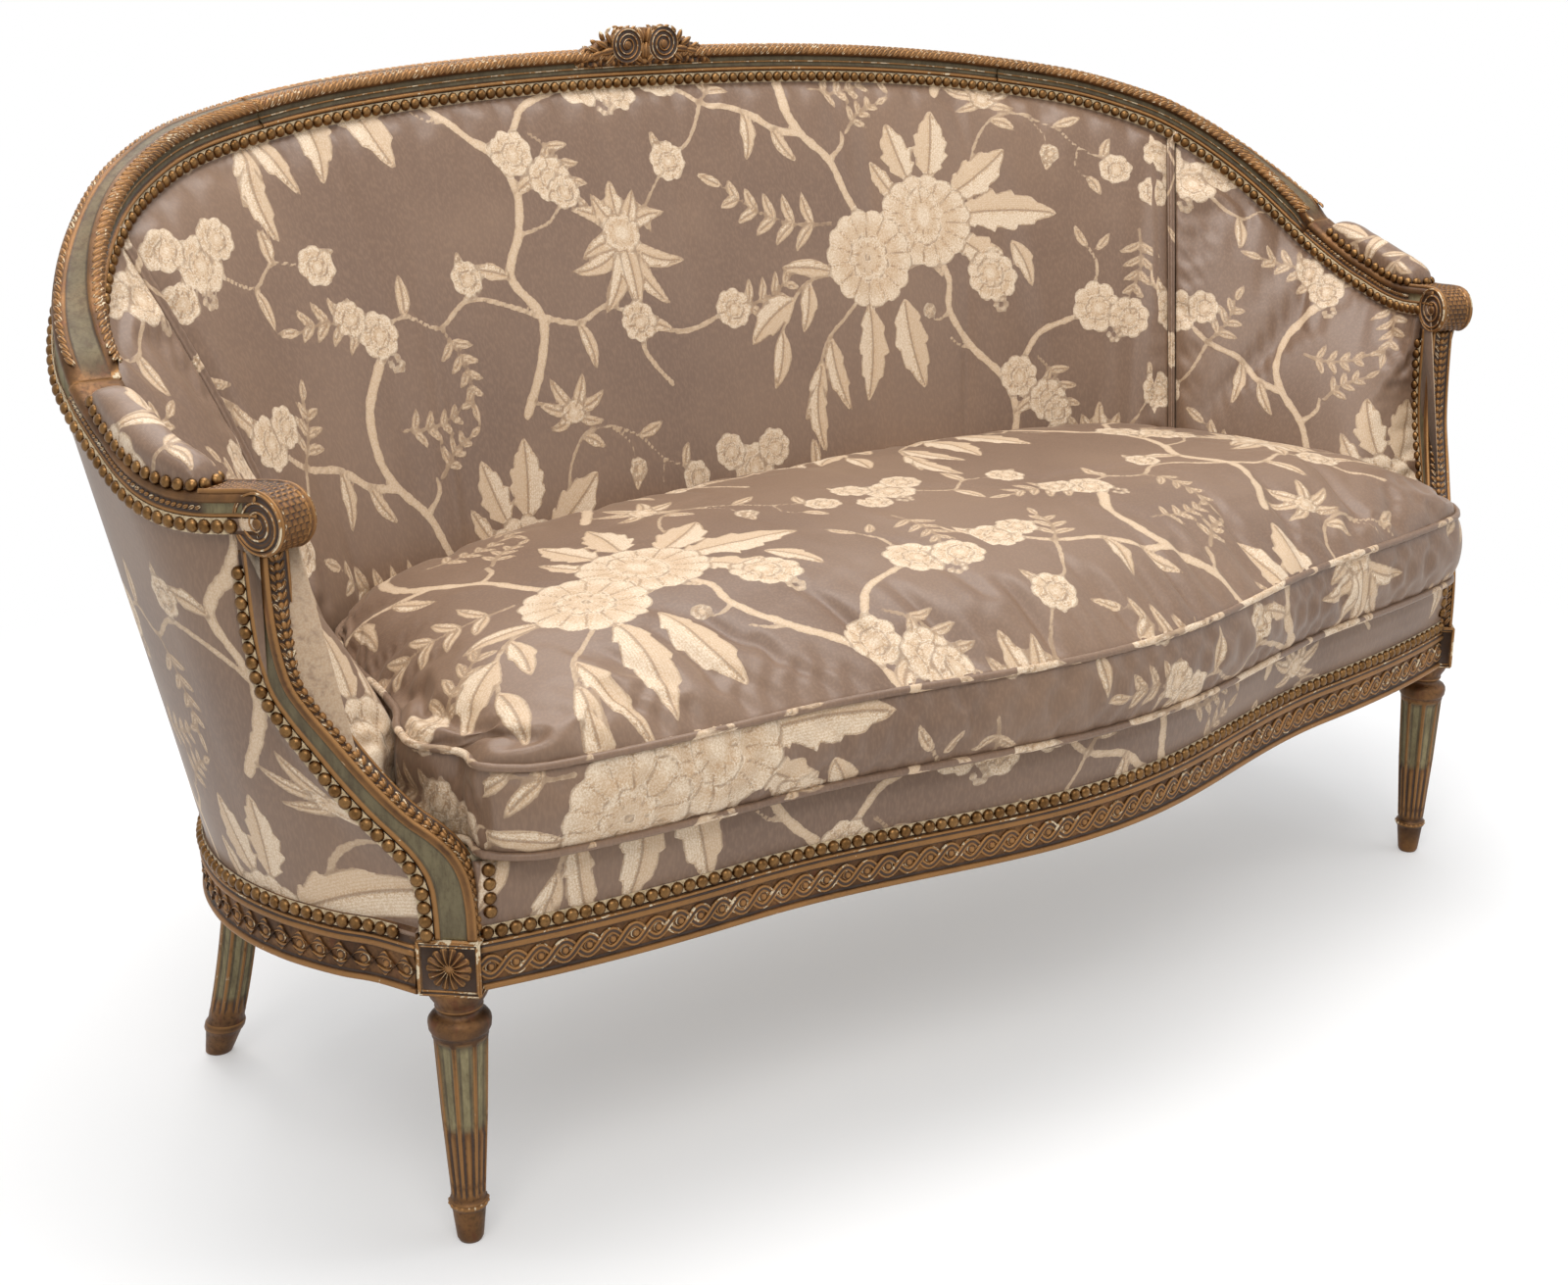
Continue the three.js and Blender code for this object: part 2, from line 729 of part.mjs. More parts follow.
// Inner tacking rail between the posts and stiles, just above the seat.
function tackRail(from, to, grow) {
  const low = innerRailLift / (topHeight - railTop);
  const high = (innerRailLift + innerRailHeight) / (topHeight - railTop);
  return loft(between(from, to).map((u) => {
    const inward = wallInward(u);
    const outer = [low, high].map((s) => wallPoint(u, s, coverThick + chordClear - grow));
    outer[0].z -= grow;
    outer[1].z += grow;
    const inner = outer.map((p) => p.clone().addScaledVector(inward, innerRailThick + 2 * grow)).reverse();
    return outer.concat(inner);
  }));
}

function sideTackRail() {
  return without(tackRail(rearStation, lastStation, 0), postBody(fit), stile(fit));
}

function backTackRail() {
  return without(tackRail(-rearStation, rearStation, 0), stile(fit), flipped(stile(fit)));
}

// Top rail section in across and face directions; the moulding sinks into the arm at its end.
function topSection(u, depth, grow) {
  const fade = 1 - THREE.MathUtils.smoothstep(Math.abs(u), armStation - 2, armStation);
  const bead = seatWidth + beadWidth;
  const groove = bead + grooveWidth;
  const rope = mix(armHeight - tuck, groove + ropeWidth, fade);
  const inner = rope - ropeWidth;
  return [
    [-tuck - grow, grow], [seatWidth, grow], [seatWidth + beadWidth * 0.1, beadProud * 0.7 * fade + grow],
    [bead - beadWidth * 0.2, beadProud * fade + grow], [bead + beadWidth * 0.1, grow],
    [inner - ropeWidth * 0.1, grow], [inner + ropeWidth * 0.1, ropeProud * 0.7 * fade + grow],
    [inner + ropeWidth * 0.45, ropeProud * fade + grow],
    [rope - ropeWidth * 0.12, ropeProud * 0.5 * fade + grow], [rope + grow, -ropeWidth * 0.4],
    [rope + grow, -depth + ropeWidth * 0.5], [rope - ropeWidth * 0.5, -depth - grow],
    [-tuck - grow, -depth - grow],
  ];
}

function topRailPiece(from, to, grow) {
  return loft(between(from, to).map((u) => {
    const f = railFrame(u);
    return topSection(u, f.depth, grow).map(([a, n]) => place(f, a, n));
  }));
}

function topRailCentre() {
  const end = joinStation - fit / gimpWidth / 4;
  return topRailPiece(-end, end, 0);
}

function topRailSide() {
  return topRailPiece(joinStation, armStation - fit / armHeight, 0);
}

// Arm section: half width and half height, rounded on top.
function armSection(half, tall) {
  return [
    [half, -tall], [half, tall - armRound], [half - armRound * 0.3, tall - armRound * 0.3],
    [half - armRound, tall], [armRound - half, tall], [armRound * 0.3 - half, tall - armRound * 0.3],
    [-half, tall - armRound], [-half, -tall],
  ];
}

// Arm, from the top rail's end to the middle of the scroll.
function armBody(grow) {
  return loft(between(armStation, lastStation).map((u) => {
    const f = railFrame(u);
    return armSection(f.depth / 2 + grow, armHeight / 2 + grow)
      .map(([a, b]) => place(f, armHeight / 2 - tuck + b, a - f.depth / 2));
  }));
}

function scrollCentre() {
  return fromBlock(-postReach, postLean, scrollHeight);
}

function handleOutward() {
  const turned = Math.PI / 4 - postTurn;
  return V(Math.cos(turned), -Math.sin(turned), 0);
}

function handleForward() {
  const out = handleOutward();
  return V(out.y, -out.x, 0);
}

function scrollDrum(grow) {
  const reach = scrollWidth / 2 + grow;
  const c = scrollCentre();
  return loft([-reach, reach].map((offset) => ringAbout(
    c.clone().addScaledVector(handleOutward(), offset), handleForward(), V(0, 0, 1), scrollRadius + grow, 24,
  )));
}

// A ring of points round a centre, in the plane of two directions.
function ringAbout(centre, first, second, radius, sides) {
  return Array.from({ length: sides }, (_, i) => {
    const angle = (2 * Math.PI * i) / sides;
    return centre.clone().addScaledVector(first, radius * Math.cos(angle))
      .addScaledVector(second, radius * Math.sin(angle));
  });
}

function arm() {
  return joined(armBody(0), scrollDrum(0));
}

// One level of the post: its front and back edges and the direction of its width.
function postSection(k, grow) {
  const [forward, height, reach, drop, turn] = postShares[k];
  const z = mix(blockTop + fit, postTop, height);
  const front = fromBlock(forward * postReach, postLean, z);
  const turned = Math.PI / 4 - turn * postTurn;
  const width = V(Math.cos(turned), -Math.sin(turned), 0);
  const rear = V(-width.y, width.x, 0).multiplyScalar(reach).add(V(0, 0, -drop));
  const seat = front.clone().addScaledVector(rear, postDepth);
  const level = rear.clone().normalize();
  const back = seat.clone().addScaledVector(level, rebateWidth + grow);
  return { front: front.addScaledVector(level, -grow), seat: seat.addScaledVector(level, grow), back, width };
}

function postBody(grow) {
  const wide = postThick / 2 + grow;
  const slim = wide - postRebate;
  return loft(postShares.map((_, k) => {
    const { front, seat, back, width } = postSection(k, grow);
    const ring = [[front, wide], [front, -wide], [seat, -wide], [seat, -slim], [back, -slim], [back, slim],
      [seat, slim], [seat, wide]].map(([p, w]) => p.clone().addScaledVector(width, w));
    if (k === 0) ring.forEach((p) => p.setZ(blockTop + fit - grow));
    return ring;
  }));
}

// Room that the walls leave for the post, wider than the post itself.
function postSpace() {
  const rings = postShares.map((_, k) => {
    const { front, back, width } = postSection(k, fit);
    return [[front, 1], [front, -1], [back, -1], [back, 1]]
      .map(([p, side]) => p.clone().addScaledVector(width, side * postThick * 2));
  });
  const foot = rings[0].map((p) => V(p.x, p.y, railBottom));
  const head = rings[rings.length - 1].map((p) => p.clone().add(V(0, 0, scrollRadius)));
  return loft([foot, ...rings, head]);
}

function post() {
  return joined(without(postBody(0), scrollDrum(fit), armBody(fit)), dowel(0));
}

// Nailed braid along the post's rebate, outside or inside.
function postGimp(side) {
  const near = side * (postThick / 2 - postRebate + braidClear);
  const far = near + side * gimpThick;
  const body = loft(postShares.map((_, k) => {
    const { seat, back, width } = postSection(k, -fit);
    const start = seat.clone().lerp(back, (2 * fit) / rebateWidth);
    return [[start, near], [back, near], [back, far], [start, far]]
      .map(([p, w]) => p.clone().addScaledVector(width, w));
  }));
  return without(body, scrollDrum(fit), armBody(fit));
}

// Braid along the nail line on the inner or the outer face of the top rail and the arms.
function upperGimp(outside) {
  const end = lastStation - 1 / 2;
  const rings = between(-end, end).map((u) => {
    const f = railFrame(u);
    const near = outside ? -f.depth - braidClear : braidClear;
    const far = outside ? near - gimpThick : near + gimpThick;
    const low = fit - tuck;
    const high = seatWidth - fit;
    return [[low, near], [high, near], [high, far], [low, far]].map(([a, d]) => place(f, a, d));
  });
  const cutters = [armBody(fit), postBody(fit), scrollDrum(fit), postGimp(outside ? 1 : -1)];
  return without(loft(rings), ...cutters, ...cutters.map(flipped));
}

function lowerGimp() {
  const low = filletTop + railRound;
  const rings = between(-lastStation, lastStation).map((u) => {
    const f = frameAt(baseCurve, u);
    const far = rebateSink - fit;
    const near = far - gimpThick;
    const corners = [[near, low], [near, railHeight], [far, railHeight], [far, low]];
    return corners.map(([n, z]) => V(f.point.x, f.point.y, railBottom + z).addScaledVector(f.inward, n));
  });
  const cutters = [blockSpace(), postBody(fit), postGimp(1)];
  return without(loft(rings), ...cutters, ...cutters.map(flipped));
}

function frontGimp() {
  const low = filletTop + railRound;
  const near = gimpThick - rebateSink + fit;
  const far = fit - rebateSink;
  const section = [[near, low], [near, railHeight], [far, railHeight], [far, low]];
  const body = loft(stations(-legSpread, legSpread, 26).map((x) => frontRing(x, section)));
  const cutters = [blockSpace(), postBody(fit)];
  return without(body, ...cutters, ...cutters.map(flipped));
}

// Arm pad: a crowned roll on the arm, lower and narrower towards both ends.
function armPad() {
  const places = between(padStart, padEnd);
  const rings = places.map((u) => {
    const f = railFrame(u);
    const s = (u - padStart) / (padEnd - padStart);
    const round = Math.sqrt(Math.max(1 - (2 * s - 1) ** 4, 0));
    const half = (padWidth / 2) * mix(0.6, 1, round);
    const tall = padCrown * mix(0.25, 1, round);
    const count = 6;
    const arc = Array.from({ length: count + 1 }, (_, k) => {
      const angle = (Math.PI * k) / count;
      return [half * Math.cos(angle), tall * Math.sin(angle) ** 0.7];
    });
    return arc.map(([a, h]) => place(f, armHeight - tuck - fit + h, a - f.depth / 2));
  });
  return without(loft(rings), armBody(fit));
}

// The padded surface's place at a station and height, moved inward by an inset.
function besidePad(u, height, inset) {
  const head = place(railFrame(u), -tuck - softClear, 0);
  const p = innerPoint(u, (height - deckBase) / (head.z - deckBase));
  return p.addScaledVector(frameAt(insideCurve, u).inward, inset);
}

// Outline of the seat at one height: front edge, the posts' inner sides, then round inside the pads.
function seatOutline(height, inset, frontOut) {
  const corner = legSpread - postThick;
  const front = stations(-corner, corner, 22).map((x) => V(x, frontY(x) + rebateSink - frontOut, height));
  const side = [fromBlock(postDepth / 3, 0, height)];
  const rounds = stations(lastStation - 1, 1 - lastStation, 32).map((u) => besidePad(u, height, inset));
  return [...front, ...side, ...rounds, ...side.map((p) => V(-p.x, p.y, p.z))];
}

function deck() {
  const layers = [[0, 0], [0.3, 0.75], [0.62, 1], [0.85, 0.55], [1, -0.4]];
  const inset = seamProud + chordClear;
  const rings = layers.map(([h, swell]) => seatOutline(deckBase + h * deckHeight, inset, swell * deckSwell));
  const body = loft(rings);
  return without(body, postBody(fit), blockSpace(), flipped(postBody(fit)), flipped(blockSpace()));
}

// Webbing: woven strips tacked on the rails, as one sheet with square gaps.
function webbing() {
  const edge = seatOutline(railTop, fit, -railThick / 2);
  const shape = new THREE.Shape(edge.map((p) => new THREE.Vector2(p.x, p.y)));
  const sheet = new THREE.ExtrudeGeometry(shape, { depth: webbingThick, bevelEnabled: false, steps: 1 });
  sheet.translate(0, 0, railTop + fit);
  const open = webbingPitch - webbingWidth;
  const gaps = stations(-4, 4, 8).flatMap((i) => stations(-1.5, 1.5, 3).map((j) => [i, j]))
    .map(([i, j]) => V(i * webbingPitch, mix(-frontEnd, railBack, 1 / 2) + j * webbingPitch, railTop))
    .filter((c) => gapFits(edge, c.x, c.y, open))
    .map((c) => boxAt(c, V(open, open, webbingThick * 4)));
  return without(unsplit(sheet), ...gaps, postBody(fit), flipped(postBody(fit)));
}

function gapFits(edge, x, y, side) {
  const far = side / 2 + webbingWidth / 2;
  return [[-far, -far], [-far, far], [far, far], [far, -far]].every(([a, b]) => insideOf(edge, x + a, y + b));
}

function insideOf(edge, x, y) {
  let inside = false;
  edge.forEach((p, i) => {
    const q = edge[(i + 1) % edge.length];
    if (p.y > y !== q.y > y && x < ((q.x - p.x) * (y - p.y)) / (q.y - p.y) + p.x) inside = !inside;
  });
  return inside;
}

function crossRail(x) {
  const nearest = frontY(x - crossRailWidth / 2);
  const start = nearest + railThick + fit;
  const top = railTop - (railHeight - crossRailHeight) / 2;
  const reach = railBack - start;
  const centre = V(x, start + reach / 2, top - crossRailHeight / 2);
  const bar = boxAt(centre, V(crossRailWidth, reach, crossRailHeight));
  return without(bar, curvedRailBody(-rearStation, rearStation, fit), frontRailBody(fit));
}

// Triangular brace glued behind each die block and rear leg.
function frontBrace() {
  const corners = [[-1, 0], [1, 0], [0.2, -1], [-0.2, -1]];
  const shape = new THREE.Shape(corners.map(([a, b]) => new THREE.Vector2(a * braceReach, b * braceReach)));
  const brace = new THREE.ExtrudeGeometry(shape, { depth: braceHeight, bevelEnabled: false, steps: 1 });
  const forward = V(-root, -root, 0);
  const outward = V(root, -root, 0);
  brace.applyMatrix4(new THREE.Matrix4().makeBasis(forward, outward, V(0, 0, 1)));
  const foot = fromBlock(0, -blockSide / 2 - fit, railBottom + (railHeight - braceHeight) / 2);
  brace.translate(foot.x, foot.y, foot.z);
  const sideBody = curvedRailBody(rearStation, lastStation, fit);
  return without(unsplit(brace), frontRailBody(fit), sideBody, dieBlock(fit));
}

function rearBrace() {
  const f = frameAt(baseCurve, rearStation);
  const c = f.point.clone().addScaledVector(f.inward, rearBlockDepth + rearBlockSide / 2);
  const corners = [[-1.2, -0.5], [1.2, -0.5], [0.4, 0.7], [-0.4, 0.7]];
  const shape = new THREE.Shape(corners.map(([a, b]) => new THREE.Vector2(a * braceReach, b * braceReach)));
  const brace = new THREE.ExtrudeGeometry(shape, { depth: braceHeight, bevelEnabled: false, steps: 1 });
  brace.applyMatrix4(new THREE.Matrix4().makeBasis(V(f.inward.y, -f.inward.x, 0), f.inward, V(0, 0, 1)));
  brace.translate(c.x, c.y, railBottom + (railHeight - braceHeight) / 2);
  return without(
    unsplit(brace), curvedRailBody(rearStation, lastStation, fit),
    curvedRailBody(-rearStation, rearStation, fit), rearBlock(fit),
  );
}

// Loose seat cushion: boxed side between two seams, crowned top.
const cushionShares = [
  [-0.1, 0.97], [0, 1], [0.5, 1.004], [1, 1], [1.25, 0.985], [1.6, 0.94], [1.95, 0.85], [2.2, 0.7],
  [2.36, 0.48], [2.41, 0.24],
];

function cushionOutline(height) {
  const corner = cushionCorner;
  const front = stations(-corner, corner, 18).map((x) => {
    const ease = 1 - THREE.MathUtils.smoothstep(Math.abs(x), corner * 0.94, corner);
    return V(x, frontY(x) - cushionOverhang * ease, height);
  });
  const turn = [
    fromBlock(cushionClear, -postThick * 0.8, height), fromBlock(-cushionClear * 3, -postThick * 1.1, height),
  ];
  const rounds = stations(cushionEnd, -cushionEnd, 30)
    .map((u) => besidePad(u, innerLevel, cushionClear).setZ(height));
  const left = turn.map((p) => V(-p.x, p.y, p.z)).reverse();
  return [...front, ...turn, ...rounds, ...left];
}

function cushionMiddle() {
  return V(0, mix(frontY(0), innerBack, 1 / 2), 0);
}

function cushion() {
  const base = deckTop + cushionLift;
  const middle = cushionMiddle();
  const rings = cushionShares.map(([h, size]) => cushionOutline(base + h * cushionSide).map((p) => V(
    mix(middle.x, p.x, size), mix(middle.y, p.y, size), p.z,
  )));
  return loft(rings);
}

// Piping round the cushion at one seam.
function cushionWelt(h) {
  const z = deckTop + cushionLift + h * cushionSide;
  const edge = cushionOutline(z);
  const reach = weltRadius + fit;
  const rings = edge.map((p, i) => {
    const q = edge[(i + 1) % edge.length];
    const o = edge[(i + edge.length - 1) % edge.length];
    const dir = q.clone().sub(o).normalize();
    const out = V(dir.y, -dir.x, 0);
    const c = p.clone().addScaledVector(out, reach);
    return Array.from({ length: 4 }, (_, k) => {
      const angle = (Math.PI * (k + 0.5)) / 2;
      const rise = V(0, 0, weltRadius * Math.sin(angle));
      return c.clone().addScaledVector(out, weltRadius * Math.cos(angle)).add(rise);
    });
  });
  return loft(rings, 'joined');
}

// Crest: two rosettes between leaves on the middle of the top rail.
const crestShares = [
  [-1, 0.02], [-0.8, 0.2], [-0.62, 0.42], [-0.44, 0.55], [-0.33, 0.86], [-0.14, 0.98], [0, 0.92], [0.14, 0.98],
  [0.33, 0.86], [0.44, 0.55], [0.62, 0.42], [0.8, 0.2], [1, 0.02],
];

function crestFrame() {
  const f = railFrame(0);
  const basis = new THREE.Matrix4().makeBasis(V(1, 0, 0), f.upright, f.inward);
  basis.setPosition(f.point);
  return basis;
}

function crest() {
  const base = seatWidth + beadWidth + grooveWidth / 2;
  const top = base + grooveWidth / 2 + ropeWidth;
  const outline = crestShares.map(([x, h]) => new THREE.Vector2(x * crestHalf, top + h * crestHeight));
  const foot = crestShares.map(([x]) => new THREE.Vector2(x * crestHalf, base)).reverse();
  const shape = new THREE.Shape([...outline, ...foot]);
  const leaf = new THREE.ExtrudeGeometry(shape, { depth: crestThick, bevelEnabled: false, steps: 1 });
  leaf.translate(0, 0, -crestThick / 2);
  const rosettes = [-1, 1].map((side) => {
    const middle = (z) => V(side * rosetteSpread, top + crestHeight * 0.2, z);
    const ends = [[-crestThick / 2, rosetteRadius], [crestThick / 2 + rosetteProud, rosetteRadius * 0.8]];
    return loft(ends.map(([z, radius]) => ringAbout(middle(z), V(1, 0, 0), V(0, 1, 0), radius, 20)));
  });
  const body = joined(unsplit(leaf), ...rosettes);
  body.applyMatrix4(crestFrame());
  return without(body, topRailPiece(-joinStation, joinStation, fit));
}

const gilt = { color: 0x8a6231, roughness: 0.55, metalness: 0.35 };
const paint = { color: 0x6f6b52, roughness: 0.6, metalness: 0.05 };
const fabric = { color: 0x8c7a6c, roughness: 0.7, metalness: 0 };
const braid = { color: 0xc9b79a, roughness: 0.8, metalness: 0 };
const beech = { color: 0xa9845a, roughness: 0.7, metalness: 0 };
const jute = { color: 0xa08a63, roughness: 0.9, metalness: 0 };

function mesh(name, geometry, look) {
  const piece = new THREE.Mesh(geometry, new THREE.MeshStandardMaterial(look));
  piece.name = name;
  return piece;
}

const group = new THREE.Group();

function both(name, geometry, look) {
  group.add(mesh(`right_${name}`, geometry, look));
  group.add(mesh(`left_${name}`, flipped(geometry), look));
}

group.add(mesh('front_seat_rail', frontRail(), gilt));
group.add(mesh('back_seat_rail', backRail(), gilt));
both('side_rail', sideRail(), gilt);
both('front_leg', frontLeg(), gilt);
both('rear_leg', rearLeg(), gilt);
both('arm_post', post(), gilt);
both('arm', arm(), gilt);
group.add(mesh('top_rail_centre', topRailCentre(), gilt));
both('top_rail', topRailSide(), gilt);
group.add(mesh('crest_ornament', crest(), gilt));
both('cross_rail', crossRail(crossRailPlace), beech);
both('front_brace', frontBrace(), beech);
both('rear_brace', rearBrace(), beech);
group.add(mesh('back_tack_rail', backTackRail(), beech));
both('tack_rail', sideTackRail(), beech);
group.add(mesh('seat_webbing', webbing(), jute));
group.add(mesh('seat_deck', deck(), fabric));
group.add(mesh('inside_back_pad', backPad(), fabric));
both('inside_pad', sidePad(), fabric);
both('seam_welt', seamWelt(), fabric);
group.add(mesh('outside_back_cover', backCover(), fabric));
both('outside_cover', sideCover(), fabric);
both('armrest_pad', armPad(), fabric);
group.add(mesh('inside_gimp', upperGimp(false), braid));
group.add(mesh('outside_gimp', upperGimp(true), braid));
group.add(mesh('lower_gimp', lowerGimp(), braid));
group.add(mesh('front_gimp', frontGimp(), braid));
both('post_outer_gimp', postGimp(1), braid);
both('post_inner_gimp', postGimp(-1), braid);
group.add(mesh('seat_cushion', cushion(), fabric));
group.add(mesh('cushion_top_welt', cushionWelt(1), fabric));
group.add(mesh('cushion_bottom_welt', cushionWelt(0), fabric));

// The origin is at the middle of the bottom of the whole settee.
const bounds = new THREE.Box3().setFromObject(group);
const shift = V(-(bounds.min.x + bounds.max.x) / 2, -(bounds.min.y + bounds.max.y) / 2, -bounds.min.z);
group.children.forEach((piece) => piece.geometry.translate(shift.x, shift.y, shift.z));

export default group;
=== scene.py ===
import math

import bmesh
import bpy
import numpy as np
from mathutils import Matrix, Vector


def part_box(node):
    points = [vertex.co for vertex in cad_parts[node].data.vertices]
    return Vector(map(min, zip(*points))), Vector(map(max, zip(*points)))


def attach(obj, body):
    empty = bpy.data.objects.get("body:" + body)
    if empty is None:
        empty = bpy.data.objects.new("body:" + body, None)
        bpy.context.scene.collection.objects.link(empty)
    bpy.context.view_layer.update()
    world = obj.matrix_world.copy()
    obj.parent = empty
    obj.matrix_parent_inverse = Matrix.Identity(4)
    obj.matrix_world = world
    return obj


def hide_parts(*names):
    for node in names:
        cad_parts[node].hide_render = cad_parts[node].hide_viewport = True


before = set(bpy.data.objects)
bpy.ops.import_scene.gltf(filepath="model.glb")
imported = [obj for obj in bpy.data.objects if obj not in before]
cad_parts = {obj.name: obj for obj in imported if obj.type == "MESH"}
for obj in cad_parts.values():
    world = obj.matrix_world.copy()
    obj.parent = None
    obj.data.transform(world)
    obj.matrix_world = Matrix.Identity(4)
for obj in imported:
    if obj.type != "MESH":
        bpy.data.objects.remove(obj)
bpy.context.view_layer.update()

bl_info = {
    "name": "Basket-shaped settee",
    "version": (1, 0, 0),
    "blender": (4, 5, 0),
    "location": "3D View > Sidebar > Settee",
    "description": "Dresses the packed settee with carving, nails, cloth and finishes",
    "category": "Object",
}

# Sizes are in millimetres in the leg frame, whose origin is on the floor midway between the front legs.
MM = 0.001
LEG_LOW, LEG_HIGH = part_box("right_front_leg")
LEG_PLACE = (LEG_LOW.y + LEG_HIGH.y) / 2
LEG_SPREAD = round((LEG_LOW.x + LEG_HIGH.x) / 2 / MM, 1)
RAIL_LOW, RAIL_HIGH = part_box("front_seat_rail")
RAIL_BOTTOM = round(RAIL_LOW.z / MM, 1)
RAIL_HEIGHT = round((RAIL_HIGH.z - RAIL_LOW.z) / MM, 1)
RAIL_TOP = RAIL_BOTTOM + RAIL_HEIGHT
RAIL_THICK = 32
ROOT = math.sqrt(0.5)

HALF_SEAT, RAIL_BACK = 766, 533
INNER_HALF, INNER_BACK, INNER_LEVEL = 690, 494, 430
TOP_HALF, TOP_BACK, TOP_HEIGHT = 779, 658, 911
FRONT_END, FRONT_SWELL, FRONT_BELL, BELL_HALF, SWELL_HALF = 28, 40, 57, 400, 650
FIT, SOFT_CLEAR, BRAID_CLEAR = 0.3, 1.5, 0.9
GIMP_THICK, COVER_THICK = 1.2, 2.2
REBATE_SINK, TUCK, NAIL_BAND = 4, 8, 6
POST_THICK, POST_LEAN, POST_DEPTH, POST_REACH, POST_TOP = 28, 10, 36, 125, 618
REBATE_WIDTH, POST_REBATE = 12.5, 2
BLOCK_SIDE, BLOCK_HEIGHT = 54, 50
BLOCK_TOP = RAIL_BOTTOM + BLOCK_HEIGHT
SCROLL_HEIGHT, SCROLL_RADIUS, SCROLL_WIDTH = 645, 25, 38
TOP_THICK, ARM_WIDTH, ARM_HEIGHT, ARM_BOW = 30, 43, 34, 70
DECK_BASE = RAIL_TOP + 2 * FIT + 1.5
DECK_HEIGHT = 56
CUSHION_BASE = DECK_BASE + DECK_HEIGHT + 6
CUSHION_SIDE = 51
POST_TURN = math.radians(25)
LAST, HANDLE, ARM, REAR, WELTED, PAD_START, PAD_END = 21, 16, 12.6, 8, 8.5, 13.2, 18.5

# Stations from the middle of the back to the arm post, as shares of the sizes above.
BASE_SHARES = [
    (0, 1), (0.141, 0.997), (0.282, 0.985), (0.423, 0.962), (0.561, 0.93), (0.692, 0.888), (0.77, 0.85),
    (0.835, 0.808), (0.891, 0.752), (0.933, 0.686), (0.963, 0.614), (0.983, 0.544), (0.995, 0.475),
    (1, 0.417), (1, 0.366), (0.997, 0.318), (0.991, 0.272), (0.983, 0.228), (0.97, 0.178), (0.954, 0.128),
    (0.934, 0.082), (0.9124, 0.004),
]
INSIDE_SHARES = [
    (0, 1), (0.142, 0.996), (0.284, 0.984), (0.423, 0.962), (0.558, 0.927), (0.681, 0.877), (0.749, 0.836),
    (0.8, 0.788), (0.836, 0.737), (0.861, 0.673), (0.878, 0.61), (0.891, 0.545), (0.9, 0.481),
    (0.907, 0.424), (0.914, 0.37), (0.923, 0.317), (0.933, 0.267), (0.945, 0.222), (0.958, 0.178),
    (0.966, 0.135), (0.977, 0.095), (0.98, 0.05),
]
TOP_SHARES = [
    (0, 1, 1), (0.141, 0.992, 0.9995), (0.282, 0.978, 0.9967), (0.425, 0.96, 0.99), (0.565, 0.934, 0.979),
    (0.6996, 0.8845, 0.9627), (0.77, 0.8435, 0.9506), (0.828, 0.7964, 0.9341), (0.878, 0.7462, 0.9144),
    (0.92, 0.6945, 0.887), (0.955, 0.638, 0.854), (0.981, 0.5775, 0.8178), (0.995, 0.5198, 0.7849),
    (0.999, 0.468, 0.7607), (1, 0.4195, 0.742), (1, 0.371, 0.7256), (1, 0.3343, 0.7157),
    (0.998, 0.2994, 0.7065),
]
# Arm post from the block up: forward, height, reach and drop of the back edge, turn.
POST_SHARES = np.array([
    (0.194, 0, 0.98, 0, 0), (0.188, 0.093, 0.985, 0.08, 0), (0.152, 0.176, 0.92, 0.31, 0),
    (0.072, 0.238, 0.78, 0.47, 0), (-0.048, 0.285, 0.62, 0.5, 0), (-0.208, 0.33, 0.46, 0.48, 0.02),
    (-0.36, 0.387, 0.44, 0.48, 0.08), (-0.512, 0.455, 0.46, 0.45, 0.2), (-0.672, 0.536, 0.5, 0.4, 0.38),
    (-0.808, 0.604, 0.57, 0.3, 0.58), (-0.912, 0.672, 0.63, 0.19, 0.76), (-0.968, 0.774, 0.67, 0.06, 0.93),
    (-0.992, 0.882, 0.67, 0, 1), (-1, 1, 0.67, 0, 1),
])
UP = np.array((0.0, 0.0, 1.0))


def unit(v):
    v = np.asarray(v, float)
    return v / np.maximum(np.linalg.norm(v, axis=-1, keepdims=True), 1e-9)


def smooth(x, low, high):
    t = np.clip((np.asarray(x, float) - low) / (high - low), 0, 1)
    return t * t * (3 - 2 * t)


def mix(a, b, share):
    return a + (b - a) * share


def metres(points):
    """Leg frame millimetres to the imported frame's metres."""
    return np.asarray(points, float) * MM + (0, LEG_PLACE, 0)


class Bend:
    """Centripetal curve through points given for one half and mirrored."""

    def __init__(self, rows, sizes, level=0.0):
        points = np.array([[r[0] * sizes[0], r[1] * sizes[1], r[2] * sizes[2] if len(r) > 2 else level] for r in rows])
        self.points = np.vstack([points[:0:-1] * (-1, 1, 1), points])
        self.half = (len(self.points) - 1) / 2

    def at(self, u):
        spot = min(max(u + self.half, 0), 2 * self.half)
        i = min(int(spot), len(self.points) - 2)
        t = spot - i
        p = self.points
        p1, p2 = p[i], p[i + 1]
        p0 = p[i - 1] if i else 2 * p1 - p2
        p3 = p[i + 2] if i + 2 < len(p) else 2 * p2 - p1
        d0, d1, d2 = (max(np.linalg.norm(b - a), 1e-8) ** 0.5 for a, b in ((p0, p1), (p1, p2), (p2, p3)))
        m1 = ((p1 - p0) / d0 - (p2 - p0) / (d0 + d1) + (p2 - p1) / d1) * d1
        m2 = ((p2 - p1) / d1 - (p3 - p1) / (d1 + d2) + (p3 - p2) / d2) * d1
        return p1 + m1 * t + (3 * (p2 - p1) - 2 * m1 - m2) * t**2 + (2 * (p1 - p2) + m1 + m2) * t**3


